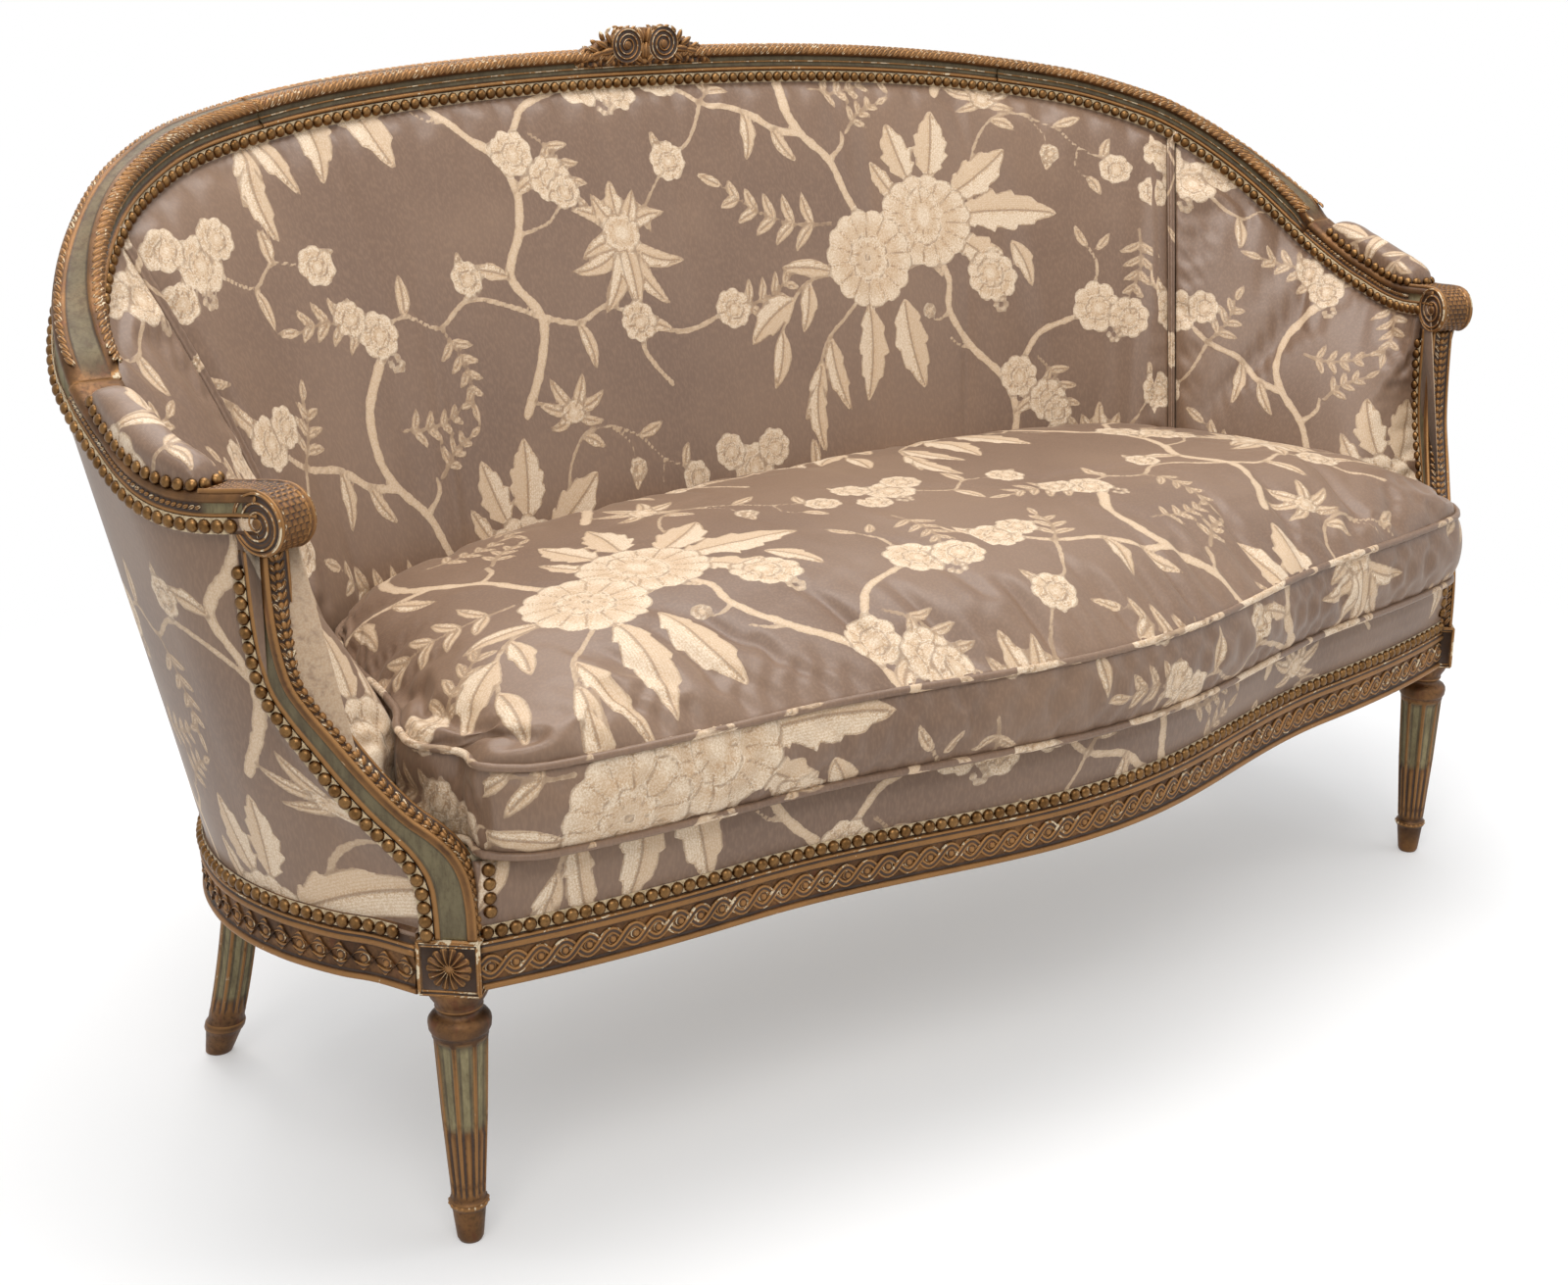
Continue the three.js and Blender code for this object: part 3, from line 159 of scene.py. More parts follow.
BASE = Bend(BASE_SHARES, (HALF_SEAT, RAIL_BACK), RAIL_TOP)
INSIDE = Bend(INSIDE_SHARES, (INNER_HALF, INNER_BACK), INNER_LEVEL)
NAIL_LINE = Bend(TOP_SHARES, (TOP_HALF, TOP_BACK, TOP_HEIGHT))


class Spot:
    """A place on a path with its own directions."""

    def __init__(self, point, tangent, depth=0.0):
        self.point, self.tangent, self.depth = np.asarray(point, float), unit(tangent), depth
        self.inward = unit((self.tangent[1], -self.tangent[0], 0))
        self.upright = np.cross(self.inward, self.tangent)
        if self.upright[2] < 0:
            self.upright = -self.upright

    def place(self, up, inward):
        return self.point + self.upright * up + self.inward * inward

    def mirrored(self):
        over = np.array((-1, 1, 1))
        other = Spot(self.point * over, self.tangent * over, self.depth)
        other.inward, other.upright = self.inward * over, self.upright * over
        return other


def spot_on(bend, u):
    step = 0.02
    return Spot(bend.at(u), bend.at(u + step) - bend.at(u - step))


def from_block(forward, outward, z):
    """A place in the right post's own directions."""
    return np.array((LEG_SPREAD - ROOT * forward + ROOT * outward, -ROOT * forward - ROOT * outward, z))


def scroll_centre():
    return from_block(-POST_REACH, POST_LEAN, SCROLL_HEIGHT)


def handle_outward():
    turned = math.pi / 4 - POST_TURN
    return np.array((math.cos(turned), -math.sin(turned), 0))


def handle_forward():
    out = handle_outward()
    return np.array((out[1], -out[0], 0))


def rail_spot(u):
    """The nail line's frame along the top rail and the arm."""
    k = abs(u)
    if k > HANDLE:
        found = handle_spot(k)
        return found if u > 0 else found.mirrored()
    found = spot_on(NAIL_LINE, u)
    found.depth = mix(TOP_THICK, ARM_WIDTH, float(smooth(k, REAR, ARM)))
    return found


def handle_spot(u):
    s = (u - HANDLE) / (LAST - HANDLE)
    f = spot_on(NAIL_LINE, HANDLE)
    start = f.place(ARM_HEIGHT / 2 - TUCK, -ARM_WIDTH / 2)
    end = scroll_centre() + (0, 0, SCROLL_RADIUS - ARM_HEIGHT / 2)
    a = start + f.tangent * ARM_BOW
    b = end - handle_forward() * ARM_BOW / 2
    point = (1 - s) ** 3 * start + 3 * (1 - s) ** 2 * s * a + 3 * (1 - s) * s**2 * b + s**3 * end
    tangent = (1 - s) ** 2 * (a - start) + 2 * (1 - s) * s * (b - a) + s**2 * (end - b)
    made = Spot(point, tangent, mix(ARM_WIDTH, SCROLL_WIDTH, float(smooth(s, 0, 0.9))))
    made.point = made.place(TUCK - ARM_HEIGHT / 2, made.depth / 2)
    return made


def smooth_row(table, k):
    """A row of a table between its own rows."""
    k = min(max(k, 0), len(table) - 1)
    i = min(int(k), len(table) - 2)
    t = k - i
    p1, p2 = table[i], table[i + 1]
    p0, p3 = table[max(i - 1, 0)], table[min(i + 2, len(table) - 1)]
    return p1 + 0.5 * t * ((p2 - p0) + t * ((2 * p0 - 5 * p1 + 4 * p2 - p3) + t * (3 * (p1 - p2) + p3 - p0)))


def post_edge(k):
    """Front, seat and back edges of the right post, the direction of its width and of its depth."""
    forward, height, reach, drop, turn = smooth_row(POST_SHARES, k)
    z = mix(BLOCK_TOP + FIT, POST_TOP, height)
    front = from_block(forward * POST_REACH, POST_LEAN, z)
    turned = math.pi / 4 - turn * POST_TURN
    width = np.array((math.cos(turned), -math.sin(turned), 0))
    rear = np.array((-width[1], width[0], 0)) * reach - UP * drop
    seat = front + rear * POST_DEPTH
    level = unit(rear)
    return front, seat, seat + level * REBATE_WIDTH, width, level


def front_y(x):
    x = np.asarray(x, float)
    swell = FRONT_SWELL * (1 - (x / SWELL_HALF) ** 4)
    bell = FRONT_BELL * np.cos(np.minimum(np.abs(x / BELL_HALF), 1) * math.pi / 2) ** 2
    return -FRONT_END - swell - bell


def front_spot(x):
    slope = float(front_y(x + 1) - front_y(x - 1)) / 2
    found = Spot((x, float(front_y(x)), RAIL_TOP), (-1, -slope, 0))
    found.inward = -unit((slope, -1, 0))
    return found


POST_EDGES = [post_edge(k) for k in range(len(POST_SHARES))]


def wall_end(z, offset):
    backs = [e[2] for e in POST_EDGES]
    k = next((i for i, p in enumerate(backs) if p[2] >= z), len(backs) - 1)
    k = max(k, 1)
    a, b = POST_EDGES[k - 1], POST_EDGES[k]
    part = min(max((z - a[2][2]) / (b[2][2] - a[2][2]), 0), 1)
    edge = mix(mix(a[2], b[2], part), mix(a[1], b[1], part), 0.5)
    return edge + mix(a[3], b[3], part) * offset


def outer_ruled(u, s):
    b = spot_on(BASE, u)
    foot = b.point + b.inward * (REBATE_SINK + GIMP_THICK + FIT) + UP * FIT
    t = rail_spot(u)
    return mix(foot, t.place(-TUCK - SOFT_CLEAR, -t.depth), s)


def inner_ruled(u, s):
    low = INSIDE.at(u)
    t = rail_spot(u)
    head = t.place(-TUCK - SOFT_CLEAR, 0)
    knee = (INNER_LEVEL - DECK_BASE) / (head[2] - DECK_BASE)
    if s <= knee:
        return np.array((low[0], low[1], mix(DECK_BASE, INNER_LEVEL, s / knee)))
    rise = (s - knee) / (1 - knee)
    return mix(low, head, rise) + t.inward * 14 * math.sin(math.pi * rise)


def bent(ruled, offset, u, s):
    p = ruled(u, s)
    k = abs(u)
    if k <= HANDLE:
        return p
    share = ((k - HANDLE) / (LAST - HANDLE)) ** 2
    last = ruled(LAST, s)
    shift = (wall_end(last[2], offset) - last) * share
    return p + (shift[0] if u > 0 else -shift[0], shift[1], 0)


def outer_point(u, s):
    return bent(outer_ruled, POST_THICK / 2 - POST_REBATE, u, s)


def inner_point(u, s):
    return bent(inner_ruled, POST_REBATE - POST_THICK / 2, u, s)


def inner_at(u, height, inset):
    head = rail_spot(u).place(-TUCK - SOFT_CLEAR, 0)
    return inner_point(u, (height - DECK_BASE) / (head[2] - DECK_BASE)) + spot_on(INSIDE, u).inward * inset


def even(points, step=None, count=None, closed=False):
    """The polyline's points respaced evenly."""
    points = np.asarray(points, float)
    if closed:
        points = np.vstack([points, points[:1]])
    run = np.concatenate([[0], np.cumsum(np.linalg.norm(np.diff(points, axis=0), axis=1))])
    count = count or max(int(round(run[-1] / step)), 1) + 1
    marks = np.linspace(0, run[-1], count)
    found = np.stack([np.interp(marks, run, points[:, i]) for i in range(points.shape[1])], 1)
    return found[:-1] if closed else found


def run_of(points):
    return np.concatenate([[0], np.cumsum(np.linalg.norm(np.diff(points, axis=0), axis=1))])


# Mesh helpers


def made(name, verts, faces, material, smoothed=True):
    """A piece from points in leg frame millimetres, with its faces turned outwards."""
    verts = metres(verts)
    faces = [tuple(f) for f in faces]
    mesh = bpy.data.meshes.new(name)
    mesh.from_pydata(verts.tolist(), [], faces)
    mesh.update()
    volume = 0.0
    mesh.calc_loop_triangles()
    tri = np.zeros(len(mesh.loop_triangles) * 3, np.int32)
    mesh.loop_triangles.foreach_get("vertices", tri)
    a, b, c = (verts[tri[i::3]] for i in range(3))
    volume = float(np.einsum("ij,ij->", a, np.cross(b, c)))
    if volume < 0:
        mesh.flip_normals()
    mesh.polygons.foreach_set("use_smooth", [smoothed] * len(mesh.polygons))
    mesh.materials.append(material)
    piece = bpy.data.objects.new(name, mesh)
    bpy.context.scene.collection.objects.link(piece)
    return piece


def put(piece, name, values):
    """A number for each vertex that the piece's material reads."""
    layer = piece.data.attributes.get(name) or piece.data.attributes.new(name, "FLOAT", "POINT")
    layer.data.foreach_set("value", np.ascontiguousarray(values, np.float32).ravel())


def quads(rows, columns, wrap_rows=False, wrap_columns=True):
    i = np.arange(rows if wrap_rows else rows - 1)[:, None]
    j = np.arange(columns if wrap_columns else columns - 1)[None, :]
    i2, j2 = (i + 1) % rows, (j + 1) % columns
    corners = (i * columns + j, i2 * columns + j, i2 * columns + j2, i * columns + j2)
    return np.stack(np.broadcast_arrays(*corners), -1).reshape(-1, 4)


def lofted(name, rings, material, joined=False, fanned=True, **attributes):
    """A closed piece through equal rings, its ends fanned or filled; attributes hold one number a ring point."""
    rings = np.asarray(rings, float)
    n, m, _ = rings.shape
    verts = rings.reshape(-1, 3)
    faces = quads(n, m, wrap_rows=joined).tolist()
    if not fanned:
        faces += [tuple(range(m)), tuple(range(n * m - 1, (n - 1) * m - 1, -1))]
    elif not joined:
        verts = np.vstack([verts, rings[0].mean(0), rings[-1].mean(0)])
        faces += [(j, (j + 1) % m, n * m) for j in range(m)]
        faces += [((n - 1) * m + (j + 1) % m, (n - 1) * m + j, n * m + 1) for j in range(m)]
    piece = made(name, verts, faces, material)
    for key, values in attributes.items():
        values = np.broadcast_to(np.asarray(values, float), (n, m)).ravel()
        if fanned and not joined:
            values = np.append(values, (values[:m].mean(), values[-m:].mean()))
        put(piece, key, values)
    return piece


def weld(piece, reach=0.00003):
    """The piece with its doubled points made one."""
    work = bmesh.new()
    work.from_mesh(piece.data)
    bmesh.ops.remove_doubles(work, verts=work.verts, dist=reach)
    work.to_mesh(piece.data)
    work.free()
    return piece


def joined_as(name, pieces):
    """Several pieces made one, keeping their attributes."""
    with bpy.context.temp_override(active_object=pieces[0], selected_editable_objects=pieces, selected_objects=pieces):
        bpy.ops.object.join()
    pieces[0].name = name
    return pieces[0]


def mirrored(piece, name):
    """The same piece on the left side."""
    other = piece.copy()
    other.data = piece.data.copy()
    other.name = name
    other.data.transform(Matrix.Scale(-1, 4, (1, 0, 0)))
    other.data.flip_normals()
    bpy.context.scene.collection.objects.link(other)
    return other


def relief(piece, reach=0.0016):
    """Writes how far each point stands proud of its neighbours: 1 on sharp edges, -1 in hollows. The gilt lightens the
    edges from it, part rubbing and part painted highlight, and darkens the hollows, part patina and part painted shade.
    """
    mesh = piece.data
    count = len(mesh.vertices)
    co = np.zeros(count * 3)
    mesh.vertices.foreach_get("co", co)
    co = co.reshape(-1, 3)
    normal = np.zeros(count * 3)
    mesh.vertices.foreach_get("normal", normal)
    normal = normal.reshape(-1, 3)
    edges = np.zeros(len(mesh.edges) * 2, np.int32)
    mesh.edges.foreach_get("vertices", edges)
    a, b = edges[0::2], edges[1::2]
    gap = np.linalg.norm(co[a] - co[b], axis=1) + 1e-6
    bend = np.zeros(count)
    weight = np.zeros(count)
    for one, other in ((a, b), (b, a)):
        rise = np.einsum("ij,ij->i", co[one] - co[other], normal[one]) / gap**2
        np.add.at(bend, one, rise / gap)
        np.add.at(weight, one, 1 / gap)
    bend /= np.maximum(weight, 1e-9)
    near = bend.copy()
    for _ in range(2):
        total = near.copy()
        share = np.ones(count)
        np.add.at(total, a, near[b])
        np.add.at(total, b, near[a])
        np.add.at(share, a, 1)
        np.add.at(share, b, 1)
        near = total / share
    put(piece, "relief", np.tanh((0.6 * bend + 0.8 * near) * reach * 1.6))
    return piece


def finished(piece, body, slot, *nodes):
    """Rides the piece on its body and hides the solids that it stands for; a gilded piece gets its relief first."""
    if "relief" not in piece.data.attributes and slot == "gilded_wood":
        relief(piece)
    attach(piece, body)
    if nodes:
        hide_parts(*nodes)
    return piece


def pair(piece, name, body, slot, *nodes):
    """The right piece and its mirror, each standing for its own side's solids."""
    other = mirrored(piece, f"left_{name}")
    piece.name = f"right_{name}"
    finished(piece, body, slot, *[f"right_{n}" for n in nodes])
    if slot == "gilded_wood":
        relief(other)
    return piece, finished(other, body, slot, *[f"left_{n}" for n in nodes])


# Brocade: distances to the drawn motifs, on one repeat of the cloth

REPEAT = 640
CELL = 2
FAR = -40.0
STEM_SLIM, LEAF_SLIM = 0.78, 0.88


# The drawing of one repeat: stems, sprays, leaves (place, lean, length, width, curl, teeth, fullness) and blossoms.
STEMS = [
    ([(250, 440), (232, 482), (218, 522), (187, 557), (174, 590), (182, 640), (222, 690)], 11, 15),
    ([(187, 557), (150, 566), (118, 590), (66, 604), (24, 640)], 12, 7),
    ([(218, 522), (240, 540), (243, 556)], 8, 6),
    ([(345, 400), (360, 366), (356, 327), (384, 280), (424, 240), (440, 196), (428, 150)], 10, 13),
    ([(424, 240), (452, 258), (479, 290), (520, 305), (556, 316)], 11, 8),
    ([(556, 330), (566, 372), (556, 396)], 6, 5),
    ([(356, 327), (338, 318), (326, 326)], 6, 4),
    ([(384, 280), (366, 284), (352, 296)], 6, 4),
    ([(428, 150), (404, 106), (430, 60), (414, 10), (380, -40)], 13, 14),
    ([(430, 60), (476, 48), (520, 62), (556, 40)], 9, 6),
    ([(410, 500), (424, 538), (451, 568), (487, 572), (526, 554), (554, 526), (597, 505)], 5, 4),
    ([(487, 572), (512, 548), (510, 526)], 4, 3),
    ([(554, 526), (548, 500), (560, 486)], 4, 3),
    ([(300, 384), (330, 390), (352, 372)], 8, 7),
    ([(195, 386), (160, 380), (134, 360), (112, 326)], 6, 5),
    ([(222, 348), (200, 330), (176, 312), (160, 286), (152, 262)], 6, 5),
    ([(430, 60), (350, 90), (300, 66), (262, 84), (224, 70)], 8, 5),
    ([(66, 604), (40, 560), (4, 536), (-30, 500)], 6, 4),
    ([(560, 130), (552, 90), (568, 48), (612, 22), (690, 40)], 11, 6),
    ([(568, 48), (556, 8), (584, -34)], 9, 7),
    ([(60, 160), (96, 140), (130, 160), (170, 150)], 6, 4),
    ([(424, 150), (470, 160), (500, 190)], 6, 4),
]
SPRAYS = [
    (206, 446, 158, 150, 5, (46, 17), 0.12), (214, 612, 6, 84, 4, (28, 11), -0.1), (250, 556, 34, 60, 3, (26, 11), 0.1),
    (476, 262, -62, 88, 3, (34, 13), 0.1), (224, 70, 168, 96, 4, (40, 14), -0.12), (-30, 500, -150, 74, 3, (34, 13), 0.12),
    (690, 40, 20, 96, 4, (38, 13), -0.1), (300, 66, -80, 84, 4, (32, 12), 0.12), (620, 420, -100, 90, 4, (34, 12), 0.1),
    (66, 604, 60, 70, 3, (34, 13), -0.1),
]
LEAVES = [
    (322, 492, 104, 74, 46, 0.1, 4, 0.8), (350, 494, 78, 86, 52, -0.1, 5, 0.8), (300, 470, 118, 54, 26, 0.1, 3, 0.8),
    (376, 470, 34, 100, 52, -0.15, 4, 0.9), (380, 446, -2, 138, 56, 0.12, 5, 0.9), (376, 418, -34, 88, 46, 0.1, 4, 0.9),
    (452, 410, -68, 66, 30, 0.3, 2, 0.8), (196, 388, 172, 74, 24, -0.2, 0, 0.8), (160, 380, -108, 62, 26, 0.2, 2, 0.8),
    (136, 362, -146, 84, 40, -0.25, 3, 0.8), (112, 326, -110, 70, 28, 0.25, 0, 0.8), (242, 346, -100, 118, 46, 0.2, 4, 0.85),
    (292, 348, -82, 112, 52, -0.18, 4, 0.85), (178, 312, -80, 92, 32, -0.25, 3, 0.8), (160, 286, -118, 76, 28, 0.3, 2, 0.8),
    (152, 262, -92, 84, 30, -0.3, 3, 0.8), (512, 528, -95, 32, 17, 0.2, 0, 0.8), (526, 556, 18, 38, 15, -0.2, 0, 0.8),
    (448, 566, -30, 34, 16, 0.3, 0, 0.8), (562, 488, -60, 30, 15, 0.2, 0, 0.8), (582, 512, 70, 30, 14, 0.2, 0, 0.8),
    (556, 396, 120, 36, 13, 0.2, 0, 0.8), (566, 392, 50, 30, 12, -0.2, 0, 0.8),
    (556, 40, -20, 50, 20, 0.2, 2, 0.8), (520, 62, 60, 44, 18, -0.2, 0, 0.8), (476, 48, -80, 56, 20, 0.3, 0, 0.8),
    (560, 132, -160, 84, 26, 0.5, 0, 0.75), (560, 132, 196, 62, 22, -0.4, 0, 0.75), (560, 132, -20, 84, 26, -0.5, 0, 0.75),
    (560, 136, 18, 70, 22, 0.5, 0, 0.75), (560, 136, 150, 72, 22, -0.5, 0, 0.75), (560, 132, -120, 92, 28, 0.35, 0, 0.75),
    (560, 132, -60, 92, 28, -0.35, 0, 0.75), (560, 132, -90, 84, 28, 0.1, 0, 0.75), (560, 140, 90, 62, 30, 0.1, 3, 0.75),
    (560, 140, 60, 56, 24, -0.2, 0, 0.75), (560, 140, 120, 56, 24, 0.2, 0, 0.75),
    (443, 596, 20, 52, 16, -0.4, 0, 0.75), (443, 596, 160, 52, 16, 0.4, 0, 0.75), (443, 596, 60, 46, 18, -0.3, 0, 0.75),
    (443, 596, 120, 46, 18, 0.3, 0, 0.75), (443, 596, -20, 44, 14, -0.6, 0, 0.75), (443, 596, 200, 44, 14, 0.6, 0, 0.75),
    (170, 150, 20, 40, 17, 0.2, 0, 0.8), (130, 160, 88, 40, 17, -0.2, 0, 0.8), (96, 140, -84, 46, 18, 0.2, 0, 0.8),
    (24, 640, 120, 60, 22, 0.3, 2, 0.8), (404, 106, 166, 58, 20, -0.3, 2, 0.8), (350, 90, 92, 54, 20, 0.25, 0, 0.8),
    (262, 84, 80, 46, 18, -0.2, 0, 0.8), (440, 196, 24, 46, 18, 0.2, 0, 0.8), (118, 590, -100, 62, 22, 0.3, 2, 0.8),
    (150, 566, -60, 50, 19, -0.3, 0, 0.8), (4, 536, 110, 40, 16, 0.2, 0, 0.8),
]
BLOOMS = [
    (338, 440, 58, 15, 1.1, 90, 0.09), (336, 446, 36, 11, 0.68, 90, 0.06), (250, 400, 60, 14, 1, 5, 0.1),
    (250, 400, 28, 9, 1, 0, 0.28), (250, 400, 4, 5), (422, 366, 32, 9, 1.1, 60, 0.16), (420, 370, 17, 7, 1.1, 30, 0.15),
    (560, 140, 25, 8, 0.9, 0, 0.2), (443, 594, 16, 6, 0.8, 0, 0.2),
]
ROSES = [
    (447, 240, 27), (486, 208, 27), (562, 320, 33), (604, 306, 27), (596, 498, 20), (516, 520, 13), (24, 640, 28),
    (58, 648, 22), (40, 176, 30), (74, 196, 23), (10, 200, 22), (224, 70, 26), (196, 92, 20), (350, 112, 20),
    (500, 192, 20), (556, 40, 24), (640, 470, 20), (4, 536, 24), (180, 150, 22), (690, 40, 24), (326, 330, 10),
]
BERRIES = [(430, 330), (584, 284), (32, 142), (236, 38)]


class Brocade:
    """One repeat with its four fields in millimetres: motif, edge, rib and tone."""

    def __init__(self):
        side = REPEAT // CELL
        self.side = side
        self.motif = np.full((side, side), FAR)
        self.edge = np.full((side, side), 40.0)
        self.rib = np.full((side, side), 30.0)
        self.tone = np.zeros((side, side))

    def window(self, middle, reach, draw):
        """Calls draw on the pixels near a shape, over the repeat's edges as well."""
        low = np.floor((np.asarray(middle) - reach) / CELL).astype(int)
        high = np.ceil((np.asarray(middle) + reach) / CELL).astype(int) + 1
        columns, rows = np.arange(low[0], high[0]), np.arange(low[1], high[1])
        x, y = np.meshgrid(columns * CELL, rows * CELL)
        drop = np.floor_divide(columns, self.side)[None, :] % 2 * (self.side // 2)
        spot = ((rows[:, None] + drop) % self.side, np.broadcast_to(columns % self.side, (len(rows), len(columns))))
        depth, rib, tone = draw(x - middle[0], y - middle[1])
        inside = depth > 0
        self.motif[spot] = np.maximum(self.motif[spot], depth)
        self.edge[spot] = np.where(inside, depth, np.minimum(self.edge[spot], -depth))
        self.rib[spot] = np.where(inside, rib, self.rib[spot])
        self.tone[spot] = np.where(depth > -3, tone, self.tone[spot])

    def leaf(self, x, y, angle, length, width, curl=0.0, teeth=0, plump=0.75):
        """A leaf from its stalk end; returns nothing."""
        turn = math.radians(angle)
        c, s = math.cos(turn), math.sin(turn)

        def draw(px, py):
            px, py = px + c * length / 2, py + s * length / 2
            along = px * c + py * s
            t = along / length
            across = py * c - px * s - curl * length * 4 * t * (1 - t) * 0.25
            safe = np.clip(t, 0.001, 0.999)
            half = LEAF_SLIM * width / 2 * np.sin(math.pi * safe**plump) ** 0.85
            if teeth:
                half = half * (0.86 + 0.3 * ((safe * teeth) % 1) ** 1.5)
            depth = half - np.abs(across)
            outside = np.maximum(np.maximum(-along, along - length), 0)
            return depth - outside * 1.2, across, np.clip(t, 0, 1)

        self.window((x + c * length / 2, y + s * length / 2), length * 0.62 + width, draw)

    def bloom(self, x, y, radius, lobes, squash=1.0, angle=0.0, deep=0.12):
        turn = math.radians(angle)

        def draw(px, py):
            u = px * math.cos(turn) + py * math.sin(turn)
            v = (py * math.cos(turn) - px * math.sin(turn)) / squash
            r, theta = np.hypot(u, v), np.arctan2(v, u)
            edge = radius * (1 - deep + deep * np.abs(np.sin(lobes * theta / 2)) ** 0.6)
            share = r / edge
            petal = np.where(share > 0.42, r * np.abs(np.sin(lobes * theta / 2)) * 2 / lobes, 20.0)
            return edge - r, petal, 1 + np.clip(share, 0, 1)

        self.window((x, y), radius * 1.25, draw)

    def stem(self, points, start, end):
        """A knobbly stem through points, tapering from one width to the other."""
        line = even(np.array([smooth_row(np.asarray(points, float), k) for k in np.linspace(0, len(points) - 1, 12 * len(points))]), 5)
        for i, (a, b) in enumerate(zip(line[:-1], line[1:])):
            t = i / max(len(line) - 2, 1)
            knob = 1 + 0.16 * math.sin(i * 1.7) * math.sin(i * 0.61)
            half = STEM_SLIM * mix(start, end, t) / 2 * (knob if start > 7 else 1)

            def draw(px, py, a=a, b=b, half=half, t=t):
                d = (b - a) / 2
                span = np.clip((px * d[0] + py * d[1]) / (d @ d), -1, 1)
                across = np.hypot(px - span * d[0], py - span * d[1])
                return half - across, np.full(px.shape, 20.0), np.full(px.shape, 0.35)

            self.window((a + b) / 2, half + 6, draw)

    def spray(self, x, y, angle, length, pairs, leaf=(42, 13), bow=0.15):
        """A stalk with leaves in pairs and one at its tip."""
        turn = math.radians(angle)
        ahead = np.array((math.cos(turn), math.sin(turn)))
        side = np.array((-ahead[1], ahead[0]))
        line = [np.array((x, y)) + ahead * length * t + side * bow * length * 4 * t * (1 - t) for t in np.linspace(0, 1, pairs + 2)]
        self.stem(line, 5.5, 4)
        for i in range(1, pairs + 1):
            t = i / (pairs + 1)
            grown = 1 - 0.45 * t
            for way in (-1, 1):
                lean = angle + way * mix(68, 38, t) + bow * 60 * (1 - 2 * t)
                self.leaf(*line[i], lean, leaf[0] * grown, leaf[1] * mix(1, 0.8, t), -0.25 * way)
        self.leaf(*line[-1], angle - bow * 60, leaf[0] * 0.75, leaf[1] * 0.85)

    def drawn(self):
        """The repeat's stems first, then leaves, then blossoms over them."""
        for points, start, end in STEMS:
            self.stem(points, start, end)
        self.edge = np.maximum(np.abs(self.motif), 1.5)
        for x, y, angle, length, pairs, leaf, bow in SPRAYS:
            self.spray(x, y, angle, length, pairs, leaf, bow)
        for row in LEAVES:
            self.leaf(*row)
        for row in BLOOMS:
            self.bloom(*row)
        for x, y, radius in ROSES:
            self.bloom(x, y, radius, 8 if radius > 22 else 7, 1, 2.3 * x, 0.17)
            self.bloom(x + radius * 0.05, y - radius * 0.05, radius * 0.52, 7, 0.9, x, 0.15)
        for x, y in BERRIES:
            for lean in range(0, 300, 60):
                spot = math.radians(lean + 180)
                self.bloom(x + 7 * math.cos(spot), y + 7 * math.sin(spot), 4.2, 3)
        return self

    def on(self, piece, u, v):
        """Writes the four fields on a piece at cloth places in millimetres."""
        u, v = np.asarray(u, float), np.asarray(v, float)
        column = np.floor(u / REPEAT)
        v = v + (column % 2) * REPEAT / 2
        for name in ("motif", "edge", "rib", "tone"):
            field = getattr(self, name)
            x, y = (u / CELL) % self.side, (v / CELL) % self.side
            i, j = np.floor(x).astype(int), np.floor(y).astype(int)
            a, b = x - i, y - j
            i, j, i2, j2 = i % self.side, j % self.side, (i + 1) % self.side, (j + 1) % self.side
            low = field[j, i] * (1 - a) + field[j, i2] * a
            high = field[j2, i] * (1 - a) + field[j2, i2] * a
            put(piece, name, low * (1 - b) + high * b)


# Materials


def linear(code):
    """A written colour as Blender's linear values."""
    parts = [int(code[i:i + 2], 16) / 255 for i in (1, 3, 5)]
    return tuple(p / 12.92 if p <= 0.04045 else ((p + 0.055) / 1.055) ** 2.4 for p in parts) + (1.0,)


class Tree:
    """Short calls for one node tree."""

    def __init__(self, tree):
        self.tree = tree

    def node(self, kind, **settings):
        inputs = settings.pop("inputs", {})
        node = self.tree.nodes.new("ShaderNode" + kind)
        for key, value in settings.items():
            setattr(node, key, value)
        for key, value in inputs.items():
            self.feed(node.inputs[key], value)
        return node

    def feed(self, socket, value):
        if isinstance(value, bpy.types.NodeSocket):
            self.tree.links.new(value, socket)
        else:
            socket.default_value = value

    def math(self, operation, a, b=0.0, c=0.0, clamp=False):
        node = self.node("Math", operation=operation, use_clamp=clamp)
        for socket, value in zip(node.inputs, (a, b, c)):
            self.feed(socket, value)
        return node.outputs[0]

    def ramp(self, value, low, high):
        """0 below low, 1 above high, smooth between."""
        node = self.node("MapRange", interpolation_type="SMOOTHSTEP")
        for socket, given in zip(node.inputs, (value, low, high, 0.0, 1.0)):
            self.feed(socket, given)
        return node.outputs[0]

    def blend(self, share, a, b, kind="MIX"):
        node = self.node("Mix", data_type="RGBA", blend_type=kind)
        self.feed(node.inputs[0], share)
        self.feed(node.inputs[6], a)
        self.feed(node.inputs[7], b)
        return node.outputs[2]

    def noise(self, place, scale, detail=3.0, rough=0.5, stretch=None, distortion=0.0):
        if stretch:
            place = self.node("Mapping", inputs={"Vector": place, "Scale": stretch}).outputs[0]
        inputs = {"Vector": place, "Scale": scale, "Detail": detail, "Roughness": rough, "Distortion": distortion}
        return self.node("TexNoise", inputs=inputs).outputs[0]

    def place(self):
        return self.node("TexCoord").outputs["Object"]

    def field(self, name):
        return self.node("Attribute", attribute_name=name).outputs["Fac"]


